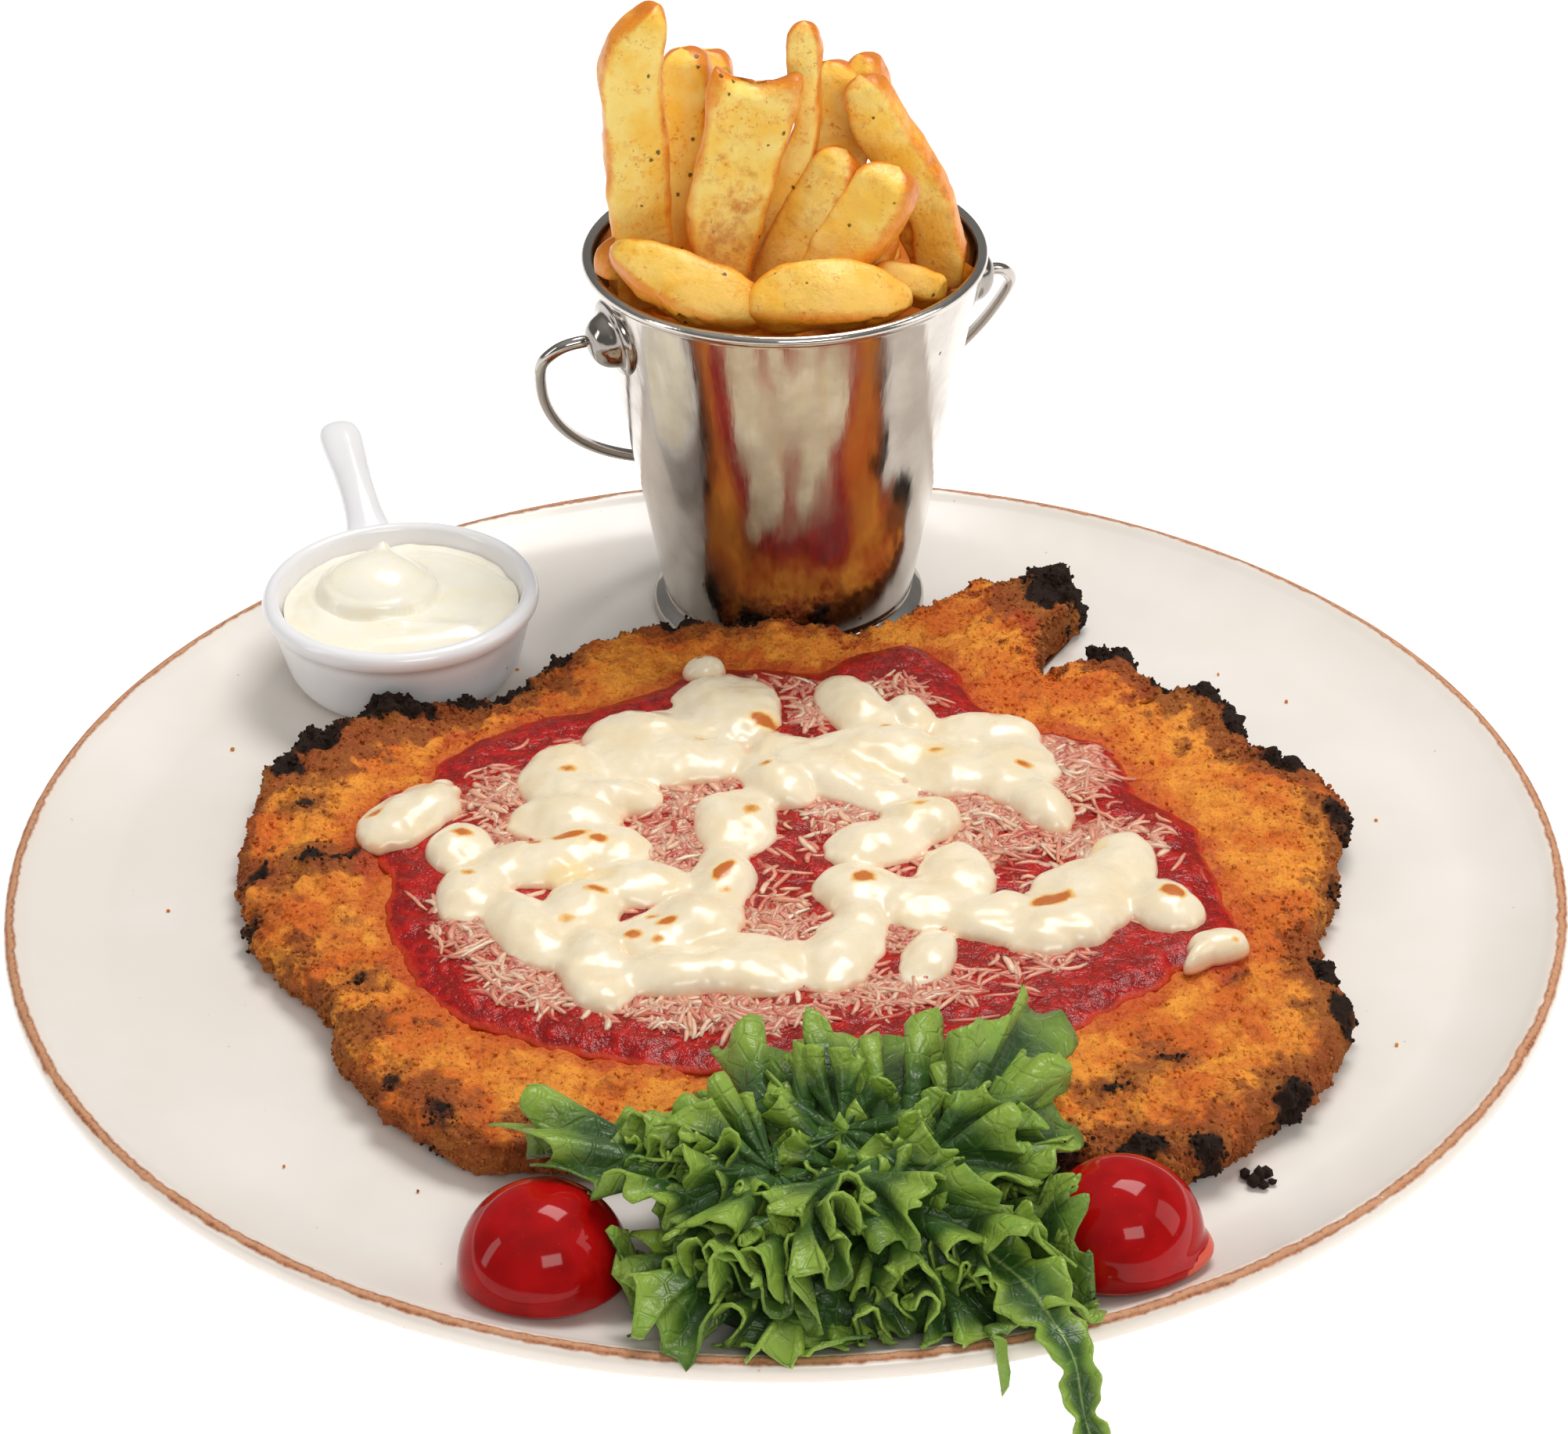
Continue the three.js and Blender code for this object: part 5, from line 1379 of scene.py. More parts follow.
# Toasted spots: x, y, half length, half width, bearing, strength.
TOASTS = [
    (-85.4, 3.9, 2, 1.4, 30, 0.8), (-18.2, 63.2, 1.2, 0.9, 0, 0.7), (-15.7, 56.4, 1.3, 1, 0, 0.6),
    (-4.3, 38.6, 3, 1.8, 0, 1.1), (-17.5, 31, 2, 1.3, 20, 0.6), (-45.5, 17.5, 2.2, 1.6, 0, 0.65),
    (-3.7, 18.6, 1.6, 1.2, 0, 0.6), (-6.8, 1.8, 2.6, 1.8, 70, 0.6), (22, 34, 1.8, 1.2, 0, 0.6),
    (50.5, 18.2, 2, 1.5, 0, 0.75), (32.3, 24, 1.6, 1.2, 0, 0.6), (28.4, 2.5, 2, 1.4, 30, 0.55),
    (15.9, -24.6, 2.6, 2, 40, 1.0), (53.4, -32.5, 4, 2.6, 20, 1.2), (78, -30.7, 3, 2, -50, 1.15),
    (-66.6, -5.4, 2.4, 1.6, 0, 0.8), (-64.6, -20.4, 1.8, 1.2, 0, 0.6), (-44.6, -7.1, 4.2, 1.5, 12, 1.1),
    (-51.4, -8.6, 1.8, 1.4, 0, 0.9), (-38.2, -8.2, 2, 1.5, 0, 0.9), (-38.2, -27.5, 2.6, 1.6, 0, 0.75),
    (-44, -36.5, 1.8, 1.4, 0, 0.5), (-23.6, -38.2, 2.2, 1.3, 20, 0.85), (-30.4, -41.8, 2, 1.5, 0, 0.8),
    (-26.8, -35.7, 1.6, 1.2, 0, 0.7), (-25.4, -43.6, 1.3, 1, 0, 0.6), (-12.5, -21, 3, 1.8, 60, 1.1),
    (89, -46, 1, 0.8, 0, 0.5), (-12.2, -26, 1.4, 1, 0, 0.6),
]
# Yellow, oily places.
OILY = [
    (-1, 38, 9, 5, 0, 0.7), (60, -10.7, 7, 3.5, 10, 1.3), (-42, -20, 10, 5, 0, 0.9), (20, 20, 12, 5, 0, 0.5),
    (34, 24, 9, 5, 0, 0.6), (-36, -10, 9, 5, 0, 0.5), (28, 2, 6, 5, 0, 0.6), (-46, 27, 6, 3, 0, 0.5),
]


def lobe_field(lobes: Marks, x: Array, y: Array) -> Array:
    """1 at a lobe's middle, 0 at its edge, less beyond: ln(sum exp(4 (1 - u^2 - v^2))) / 4 over the lobes."""
    total = sum(np.exp(4 * (1 - np.minimum(oval(x, y, lobe), 40))) for lobe in lobes)
    return np.log(np.maximum(total, 1e-60)) / 4


@dataclass
class MeltedPiece:
    """One run of melted cheese on a flat underside."""

    name: str
    node: str
    lobes: Marks
    cell: float = 0.62
    base: float = 24.3
    spread: float = 0.26

    def field(self, x: Array, y: Array) -> Array:
        """The lobes' field with a softly uneven edge."""
        ragged = 0.17 * uneven(x, y, 6.5, 31, 2) + 0.05 * uneven(x, y, 2.2, 32, 2)
        return lobe_field(self.lobes, x, y) + self.spread + ragged

    def height(self, x: Array, y: Array, inside: Array) -> Array:
        """Thickness: a quarter round at the edge, and over it the lobes' mean height times the field.

        Args:
            x: Places, any shape.
            y: Places, the same shape.
            inside: The field there.

        Returns:
            Thickness at each place.
        """
        rise = np.mean([lobe[5] for lobe in self.lobes])
        edge = np.sqrt(1 - (1 - np.clip(inside / 0.75, 0, 1)) ** 2)
        dome = rise * (0.4 * edge + 0.6 * np.clip(inside, 0, 1.25))
        return dome + np.clip(inside, 0, 0.4) * (1.7 * uneven(x, y, 9, 33) + 0.2 * uneven(x, y, 3.6, 34))

    def build(self, finish: Material) -> Piece:
        """Square cells inside the field; corners just outside are drawn back to its edge along its slope.

        Args:
            finish: The cheese's material.

        Returns:
            The piece.
        """
        reach = max(lobe[2] for lobe in self.lobes) + 2
        spans = zip(*[lobe[:2] for lobe in self.lobes])
        x, y = np.meshgrid(*[np.arange(min(v) - reach, max(v) + reach, self.cell) for v in spans])
        value = self.field(x, y)
        inside = value > 0
        cell = inside[:-1, :-1] | inside[1:, :-1] | inside[:-1, 1:] | inside[1:, 1:]
        used = np.zeros(x.shape, bool)
        sides = (slice(None, -1), slice(1, None))
        for rows, columns in [(a, b) for a in sides for b in sides]:
            used[rows, columns] |= cell
        e = 0.05
        for _ in range(3):
            here = self.field(x, y)
            gx = (self.field(x + e, y) - here) / e
            gy = (self.field(x, y + e) - here) / e
            slope = np.maximum(gx**2 + gy**2, 1e-4)
            move = np.where(used & ~inside, -here / slope, 0)
            length = np.abs(move) * np.sqrt(slope)
            move *= np.minimum(1, self.cell / np.maximum(length, 1e-9))
            x, y = x + gx * move, y + gy * move
        value = np.where(inside, self.field(x, y), 0)
        top = self.base - 0.5 + self.height(x, y, value)
        index = np.full(x.shape, -1)
        index[used] = np.arange(used.sum())
        corner = [index[:-1, :-1], index[:-1, 1:], index[1:, 1:], index[1:, :-1]]
        quads = np.stack([c[cell] for c in corner], -1)
        points = np.stack([x[used], y[used], top[used]], -1)
        n = len(points)
        under = points * (1, 1, 0) + (0, 0, self.base - 1.5)
        thin = 0.85 * (1 - ease(value[used], 0.0, 0.3))
        toast, oily = (spots(*points[:, :2].T, marks, 0.2) for marks in (TOASTS, OILY))
        values = {k: np.concatenate([v, v]) for k, v in {"toast": toast, "oily": oily, "thin": thin}.items()}
        quads = np.vstack([quads, quads[:, ::-1] + n, walls(quads, n)])
        made = Surface(np.vstack([points, under]), quads, values=values).outwards()
        return dressed(made, self.name, "melted_cheese", finish, self.node)


# ---- sauce with grated cheese on it
ALL_CHEESE = [*LOBES, *LEFT_CURD, *TOP_CURD, *RIGHT_CURD]
# Where the grated cheese lies thickest: x, y, half length, half width, bearing, share.
SHRED_BEDS = [
    (61, 22, 12, 11, 70, 1.1), (63, -6, 13, 8, 20, 0.8), (-60, 14, 9, 7, 60, 1.0), (-60, -4, 9, 7, 80, 0.8),
    (-62, -34, 8, 13, 20, 0.9), (-52, -54, 12, 6, -35, 0.95), (-14, -64, 20, 6, -4, 0.9),
    (22, -58, 17, 6, 8, 0.95), (50, -48, 12, 4, 20, 0.45), (15, 6, 12, 9, 0, 1.0), (-2, -34, 8, 10, 0, 0.9),
    (-2, 30, 16, 6, -30, 0.7), (-24, 12, 14, 8, 0, 1.0), (-26, -8, 14, 10, 0, 1.1), (24, 14, 14, 8, 0, 0.9),
    (-40, 30, 8, 5, 30, 0.8), (2, 58, 12, 4, -10, 0.6), (27, 52, 9, 4, -30, 0.7), (40, 4, 12, 8, 0, 1.0),
    (22, -36, 8, 8, 0, 0.8), (40, -10, 10, 8, 0, 0.9), (-54, 2, 10, 8, 0, 0.6), (56, 33, 9, 6, -20, 0.9),
    (76, -2, 4, 9, 10, 0.5), (8, 46, 7, 6, 0, 0.9), (0, 0, 66, 54, 0, 0.1), (-34, -62, 14, 3, 0, 0.4),
    (84, -16, 3, 6, 10, 0.4),
]


@dataclass
class Sauce:
    """The pool of sauce: level under the cheese, thicker and lumpy at its bare edge."""

    base: float = 22.3
    thick: float = 1.7
    under: float = 21.6
    count: int = 560

    def __post_init__(self) -> None:
        """Works out the ragged outline."""
        line = Outline.smooth(SAUCE_EDGE, self.count)
        self.line = Outline(line.moved(1.5 * uneven(*line.points.T, 9, 43, 3)))

    def level(self, x: Array, y: Array) -> Array:
        """Height of the sauce: its level top, falling to the crust at the edge as a root, with pulp.

        Args:
            x: Places, any shape.
            y: Places, the same shape.

        Returns:
            Height at each place.
        """
        dome = np.sqrt(np.clip(self.line.depth(x, y) / 5.5, 0, 1))
        pulp = 0.5 * uneven(x, y, 7, 41, 2) + 0.26 * uneven(x, y, 2.4, 42, 2)
        blob = 1.3 * np.exp(-((x - 28) ** 2 + (y - 68) ** 2) / 90)
        blob += 0.8 * np.exp(-((x - 12) ** 2 + (y + 80) ** 2) / 120)
        return self.base - 0.55 + (self.thick + 0.45) * dome + dome * (pulp * 0.8 + blob)

    def build(self) -> Piece:
        """Rings from the edge inwards over a flat underside."""
        edge = self.line.points
        core = softly(edge, 14) * 0.8
        rings = [edge * (1 - u) + core * u for u in np.linspace(0, 1, 44) ** 1.2]
        rings += [core * s for s in np.linspace(1, 0.04, 62)[1:]]
        x, y = np.moveaxis(np.array(rings), -1, 0)
        upper = np.stack([x, y, self.level(x, y)], -1)
        lower = np.stack([x[:1] * 0.997, y[:1] * 0.997, np.full_like(x[:1], self.under)], -1)
        body = np.concatenate([lower * (0.02, 0.02, 1), lower, upper])
        thin = 1 - ease(self.line.depth(x, y), 0.0, 3.0)
        thin = np.concatenate([thin[:1], thin[:1], thin])
        near = ease(lobe_field(ALL_CHEESE, x, y), -0.7, 0.1)
        melt = np.clip(spots(x, y, SHRED_BEDS, 0.3), 0, 1) + 0.35 * near
        melt = np.concatenate([melt[:1], melt[:1], melt]) * (1 - thin)
        made = Surface.rings(body, thin=thin, melt=np.clip(melt, 0, 1))
        return dressed(made, "tomato_sauce", "tomato_sauce", TomatoSauce().material(), "sauce")

    def shreds(self, count: int = 2300) -> Piece:
        """Bent bars scattered where the beds say: short and half melted among the cheese, longer outside.

        Args:
            count: The most that are kept.

        Returns:
            The piece.
        """
        rng = np.random.default_rng(5)
        x, y = rng.uniform(-86, 92, 60000), rng.uniform(-84, 74, 60000)
        share = np.clip(spots(x, y, SHRED_BEDS, 0.3), 0, 1)
        field = lobe_field(ALL_CHEESE, x, y)
        depth = self.line.depth(x, y)
        share = share * (0.12 + 0.88 * ease(depth, 3, 13))
        drawn = rng.random(len(x)) < share**1.3
        keep = np.flatnonzero((field < 0.0) & (depth > 2.0) & drawn)[:count]
        x, y, share, field = x[keep], y[keep], share[keep], field[keep]
        n = len(x)
        soft = ease(field, -2.4, -0.6)
        bearing = rng.uniform(0, 2 * np.pi, n)
        length = rng.uniform(4.5, 10.5, n) * (1 - soft) + rng.uniform(2.4, 6, n) * soft
        bend = rng.normal(0, 0.5, n)
        t = np.linspace(-0.5, 0.5, 5)
        angle = bearing[:, None] + bend[:, None] * t
        px = x[:, None] + np.cos(angle) * t * length[:, None]
        py = y[:, None] + np.sin(angle) * t * length[:, None]
        ground = np.where(self.line.depth(px, py) > 0, self.level(px, py), self.base)
        over = lobe_field(ALL_CHEESE, px, py)
        melted = 23.6 + 3.4 * np.sqrt(np.clip(over, 0, 1.3))
        ground = np.maximum(ground, np.where(over > 0, melted, 0) - 0.5)
        pile = rng.random(n) ** 2 * 0.9 * share * (1 - 0.5 * soft)
        pz = ground + pile[:, None] - 0.05 + 0.12 * rng.normal(0, 1, n)[:, None] * np.sin(np.pi * (t + 0.5))
        taper = np.array([0.55, 0.95, 1, 0.95, 0.5])
        half = (rng.uniform(0.42, 0.68, n) + 0.3 * soft * rng.random(n))[:, None] * taper
        across = np.stack([-np.sin(bearing), np.cos(bearing), np.zeros(n)], -1)
        tint = np.clip(0.6 - 0.35 * pile + rng.normal(0, 0.22, n) + 0.08 * (1 - soft), 0, 1)
        thick = half * (0.78 - 0.2 * soft)[:, None]
        paths = np.stack([px, py, pz], -1)
        made = bars(paths, half, thick, across, 5, tint=np.repeat(tint[:, None], len(t), axis=1))
        return dressed(made, "grated_cheese", "tomato_sauce", GratedCheese().material())


# ---- sauce dish with mayonnaise
class Vessel:
    """What the dish and the pail share: a round wall about an upright line through (x, y)."""

    x: float
    y: float

    def reach(self, z: Array) -> Array:
        """Outer radius at a height."""
        raise NotImplementedError

    def wall_at(self, z: float) -> float:
        """Outer radius at one height."""
        return float(self.reach(np.array(z)))

    def out(self, points: Array) -> Array:
        """Level distance of corners from the middle line."""
        return np.hypot(points[:, 0] - self.x, points[:, 1] - self.y)

    def put(self, points: Array, radius: Array, chosen: Array) -> None:
        """Moves the chosen corners straight to a radius.

        Args:
            points: Corners, changed in place.
            radius: Wanted distance from the middle line.
            chosen: Which corners move.
        """
        middle = (self.x, self.y)
        grow = np.where(chosen, radius / np.maximum(self.out(points), 1), 1.0)
        points[:, :2] = (points[:, :2] - middle) * grow[:, None] + middle

    def keep_out(self, points: Array, gap: float) -> None:
        """Moves corners that would lie inside the wall or nearer than a gap straight out."""
        radius = self.reach(points[:, 2]) + gap
        self.put(points, radius, self.out(points) < radius)


@dataclass
class SauceDish(Vessel):
    """Porcelain dish with a rounded band under its lip and a stub handle."""

    x: float = -84.9
    y: float = 81.8
    radius: float = 31.0
    height: float = 23.5
    foot: float = 20.5
    wall: float = 3.7
    fill: float = 4.4
    handle: float = 35.5
    rise: float = 17.0
    bearing: float = 106.5

    @property
    def top(self) -> float:
        """Height of the lip."""
        return WELL + self.height

    def reach(self, z: Array) -> Array:
        """Outer radius at a height."""
        knots = [WELL - 1, WELL + 0.5, WELL + 2.4, WELL + 7.4, self.top - 6.4, self.top - 3.6, self.top]
        return np.interp(z, knots, [19.5, 20.5, 23.9, 26.5, 28.8, 31, 31])

    def profile(self) -> Array:
        """Foot, belly, band, lip and inside."""
        foot, r, top = self.foot, self.radius, self.top
        return np.array([
            (0.6, WELL + 0.7), (foot - 4, WELL + 0.7), (foot - 3, WELL), (foot - 1.5, WELL),
            (foot, WELL + 0.5), (foot + 3.4, WELL + 2.4), (foot + 5.1, WELL + 4.8), (foot + 6, WELL + 7.4),
            (r - 2.6, top - 8.4), (r - 2.2, top - 6.2), (r - 1.6, top - 5.0), (r - 0.4, top - 3.9),
            (r, top - 2), (r - 0.9, top - 0.5), (r - 2.2, top), (r - 3.4, top - 0.5), (r - 4, top - 1.8),
            (r - 5.1, top - 7), (r - 7, top - 13), (foot + 1.2, WELL + 6.4), (foot - 2.6, WELL + 3.7),
            (8, WELL + 3.4), (0.6, WELL + 3.4),
        ])

    def build(self) -> Piece:
        """Bowl and handle."""
        bowl = Surface.turned(rounded(self.profile(), 1.3, 5), 160, self.x, self.y)
        out = polar(self.bearing)
        t = np.array([-0.12, -0.04, 0.04, 0.16, 0.35, 0.55, 0.75, 0.9, 0.97, 1.0])
        reach = self.radius + t * self.handle
        drop = np.array([3.2, 2.6, 1.7, 0.8, 0.2, 0, 0, 0.1, 0.4, 0.8])
        line = out * reach[:, None]
        line[:, 2] = self.top - 4 + (reach - self.radius) * math.tan(math.radians(self.rise)) - drop
        widths = np.array([10, 8.2, 6.2, 4.7, 4.2, 4.3, 4.8, 4.9, 4.0, 1.2])
        thick = np.array([3.4, 3.9, 3.8, 3.4, 3.3, 3.2, 3.2, 3.1, 2.4, 0.6])
        fine = through(np.column_stack([line, widths, thick]), 90)
        path = fine[:, :3] + (self.x, self.y, 0)
        grip = bars(path[None], fine[None, :, 3], fine[None, :, 4], polar(self.bearing - 90)[None], 40, 0.9)
        made = Surface.joined([bowl, grip])
        return dressed(made, "porcelain_dish", "porcelain", Porcelain().material(), "sauce_dish")


@dataclass
class Dip:
    """Mayonnaise spooned into the dish: a high smooth mound with a small peak, and folds round it."""

    dish: SauceDish = field(default_factory=SauceDish)
    mound: float = 9.0
    mound_x: float = -5.5
    mound_y: float = 3.5

    def surface(self, x: Array, y: Array, rim: float) -> Array:
        """Height above the level.

        The mound is its height * (1 - d^2.3)^0.62 over an oval, with bells for its peak and ridges
        exp(-(band)^2) for the folds round it, and all of it eases to 0 at the rim.

        Args:
            x: Places from the dish's middle.
            y: Places, the same shape.
            rim: Radius of the filling.

        Returns:
            Height at each place.
        """
        dx, dy = x - self.mound_x, y - self.mound_y
        d = np.hypot(dx / 13.5, dy / 12.5)
        mound = self.mound * np.clip(1 - d**2.3, 0, 1) ** 0.62
        skirt = 1.5 * np.exp(-np.clip(d - 1, 0, None) * 3.2) * ease(d, 0.8, 1.02)
        peak = 1.9 * np.exp(-((x + 4.5) ** 2 + (y - 12) ** 2) / 2.6)
        peak += 0.8 * np.exp(-((x + 4.5) ** 2 + (y - 11.5) ** 2) / 14)
        turn = np.arctan2(dy, dx)
        fold = 1.1 * bell(y + 10.2 + x * 0.10, 2.3) * ease(x, -15, 2) * (1 - ease(x, 14, 22))
        second = 0.8 * bell(y + 15.5 - x * 0.14, 2.2) * ease(x, -12, 0) * (1 - ease(x, 10, 20))
        shelf = 0.9 * bell(np.hypot(x - 2, y) - 19, 3.4) * (0.5 + 0.5 * np.sin(turn * 2 + 0.6))
        crease = 0.7 * bell(d - 1.06, 0.05) * ease(-y, -8, 4)
        edge = ease(rim - np.hypot(x, y), 0, 4)
        return edge * (mound + skirt + peak + fold + second + shelf - crease)

    def build(self) -> Piece:
        """Rings from the middle of the underside, round the rim and over the top."""
        dish = self.dish
        level = dish.top - dish.fill
        rim = dish.radius - dish.wall - 1.1
        steps, angle = 62, around(168)
        r = np.concatenate([[0.5, 17.4, 21.3, rim - 0.4], np.linspace(rim, 0.4, steps)])
        z = np.concatenate([[WELL + 3.9, WELL + 3.9, WELL + 6.7, level - 2.2], np.full(steps, level)])
        x, y = r[:, None] * np.cos(angle), r[:, None] * np.sin(angle)
        top = self.surface(x, y, rim)
        top[:4] = 0
        cling = 0.5 * uneven(x, y, 6, 61, 2) * ease(r, rim - 3, rim)[:, None]
        cling[:3] = 0
        rings = np.stack([x + dish.x, y + dish.y, z[:, None] + top + cling], -1)
        material = Mayonnaise().material()
        return dressed(Surface.rings(rings), "mayonnaise_dip", "mayonnaise", material, "mayonnaise")


# ---- pail
HINGE = 20.3  # bearing of the line through both ears


@dataclass
class Pail(Vessel):
    """Polished steel pail: foot ring, groove, flaring wall and a rolled bead."""

    x: float = 1.7
    y: float = 114.1
    radius: float = 45.0
    height: float = 90.5
    bottom: float = 28.5
    foot: float = 31.3
    wall: float = 0.9
    bead: float = 1.3

    @property
    def top(self) -> float:
        """Height of the bead's crown."""
        return WELL + self.height - GAP

    def reach(self, z: Array) -> Array:
        """Outer radius at a height: the foot below, then the flaring wall.

        Args:
            z: Heights.

        Returns:
            The radius at each.
        """
        neck = self.top - 3
        flare = self.bottom + (self.radius - 1.2 - self.bottom) * (z - WELL - 6) / (neck - WELL - 6)
        return np.where(z < WELL + 5, self.foot, flare)

    def build(self) -> Piece:
        """The turned profile, its bead a full round."""
        foot, bottom, radius, wall, roll = self.foot, self.bottom, self.radius, self.wall, self.bead
        neck, at = self.top - 2.8, self.wall_at
        turn = np.radians(np.linspace(-60, 215, 15))
        bead = np.stack([radius - roll + roll * np.cos(turn), self.top - roll + roll * np.sin(turn)], -1)
        outer = np.array([
            (0.5, WELL + 1.2), (foot - 4, WELL + 1.2), (foot - 3, WELL), (foot - 1.4, WELL),
            (foot - 0.2, WELL + 0.5), (foot, WELL + 1.3), (foot - 0.2, WELL + 2.6), (foot - 1.2, WELL + 3.3),
            (bottom + 0.1, WELL + 4.2), (bottom - 0.5, WELL + 4.9), (bottom - 0.2, WELL + 5.6),
            (bottom + 0.2, WELL + 6.4), (at(40), 40), (at(65), 65), (at(neck), neck),
            (radius - 1.2, neck + 0.5),
        ])
        inner = [bead[-1], (at(neck) - wall - 0.4, neck - 1.5), (at(60) - wall, 60), (bottom - wall, WELL + 7)]
        inner = np.array([*inner, (0.5, WELL + 7)])
        profile = np.vstack([rounded(outer, 0.7, 4), bead, rounded(inner, 0.7, 3)[1:]])
        made = Surface.turned(profile, 256, self.x, self.y)
        return dressed(made, "steel_pail", "polished_steel", PolishedSteel().material(), "pail")


@dataclass
class Ear:
    """A pressed ear: an oval flange on the wall with a domed boss that the wire turns in."""

    side: int
    pail: Pail = field(default_factory=Pail)
    height: float = 89.7
    forward: float = 6.0

    def build(self, finish: Material) -> Piece:
        """The turned boss laid against the leaning wall.

        Args:
            finish: The steel.

        Returns:
            The piece.
        """
        profile = np.array([
            (0.3, -1.6), (8.3, -1.6), (8.6, -0.9), (8.6, 0.1), (8.2, 0.55), (6.9, 0.75), (6.2, 1.3),
            (5.8, 2.6), (5.2, 3.9), (4.2, 5.0), (2.9, 5.7), (1.5, 6.0), (0.3, 6.05),
        ])
        made = Surface.turned(rounded(profile, 0.5, 4), 64)
        lean = math.atan2(self.pail.radius - self.pail.bottom, self.pail.height)
        out = polar(HINGE - self.side * self.forward + (180 if self.side < 0 else 0))
        normal = out * math.cos(lean) - np.array([0, 0, math.sin(lean)])
        level = np.cross([0, 0, 1], out)
        basis = np.stack([level, np.cross(normal, level) * 1.04, normal])
        foot = out * self.pail.wall_at(self.height) + (self.pail.x, self.pail.y, self.height)
        made.points = made.points @ basis + foot
        self.pail.keep_out(made.points, 0.05)
        name = "left" if self.side < 0 else "right"
        return dressed(made, f"steel_ear_{name}", "polished_steel", finish, f"pail_ear_{name}")


@dataclass
class Bail:
    """The bent wire: straight out of each ear, round a corner, then half of a rounded oval."""

    pail: Pail = field(default_factory=Pail)
    wire: float = 1.4
    half_span: float = 56.5
    reach: float = 63.0
    hang: float = 57.8
    corner: float = 10.0
    power: float = 2.1
    end: float = 43.2
    height: float = 87.8

    def line(self) -> Array:
        """The middle line: u = span * cos^(2/p), v = reach * sin^(2/p) in the plane that hangs at an angle."""
        hinge = polar(HINGE)
        slope, power = math.radians(self.hang), 2 / self.power
        drop = np.cross([0, 0, 1], hinge) * math.cos(slope) - np.array([0, 0, math.sin(slope)])
        bend, span = self.corner * 0.72, self.half_span
        a = np.radians([0, 22.5, 45, 67.5])
        corner = np.stack([span - bend * (1 - np.sin(a)), self.corner * (1 - np.cos(a))], -1)
        a = np.radians(np.linspace(16, 90, 8))
        bow = np.stack([span * np.maximum(0, np.cos(a)) ** power, self.reach * np.sin(a) ** power], -1)
        half = np.vstack([[(self.end, 0)], corner, bow])
        both = np.vstack([half, half[-2::-1] * (-1, 1)])
        fine = evenly(through(both, 700), 260)
        middle = np.array([self.pail.x, self.pail.y, self.height])
        return middle + fine[:, :1] * hinge + fine[:, 1:] * drop

    def build(self) -> Piece:
        """One round wire with rounded ends."""
        path = self.line()
        half = np.full((1, len(path)), self.wire)
        half[0, [0, -1]] *= 0.55
        made = bars(path[None], half, half, np.cross([0, 0, 1], polar(HINGE))[None], 18)
        material = PolishedSteel(srgb(182, 176, 170), "steel_wire", 0.05).material()
        return dressed(made, "wire_bail", "steel_wire", material, "bail", body=Body.BAIL)


# ---- fries
@dataclass(frozen=True)
class Fry:
    """One fry: its middle line from the tip down, half widths along it, half thickness, bearing and form."""

    line: tuple[Place, ...]
    halves: tuple[float, ...]
    thick: float
    face: float
    scoop: float = 0.0
    spice: float = 0.0


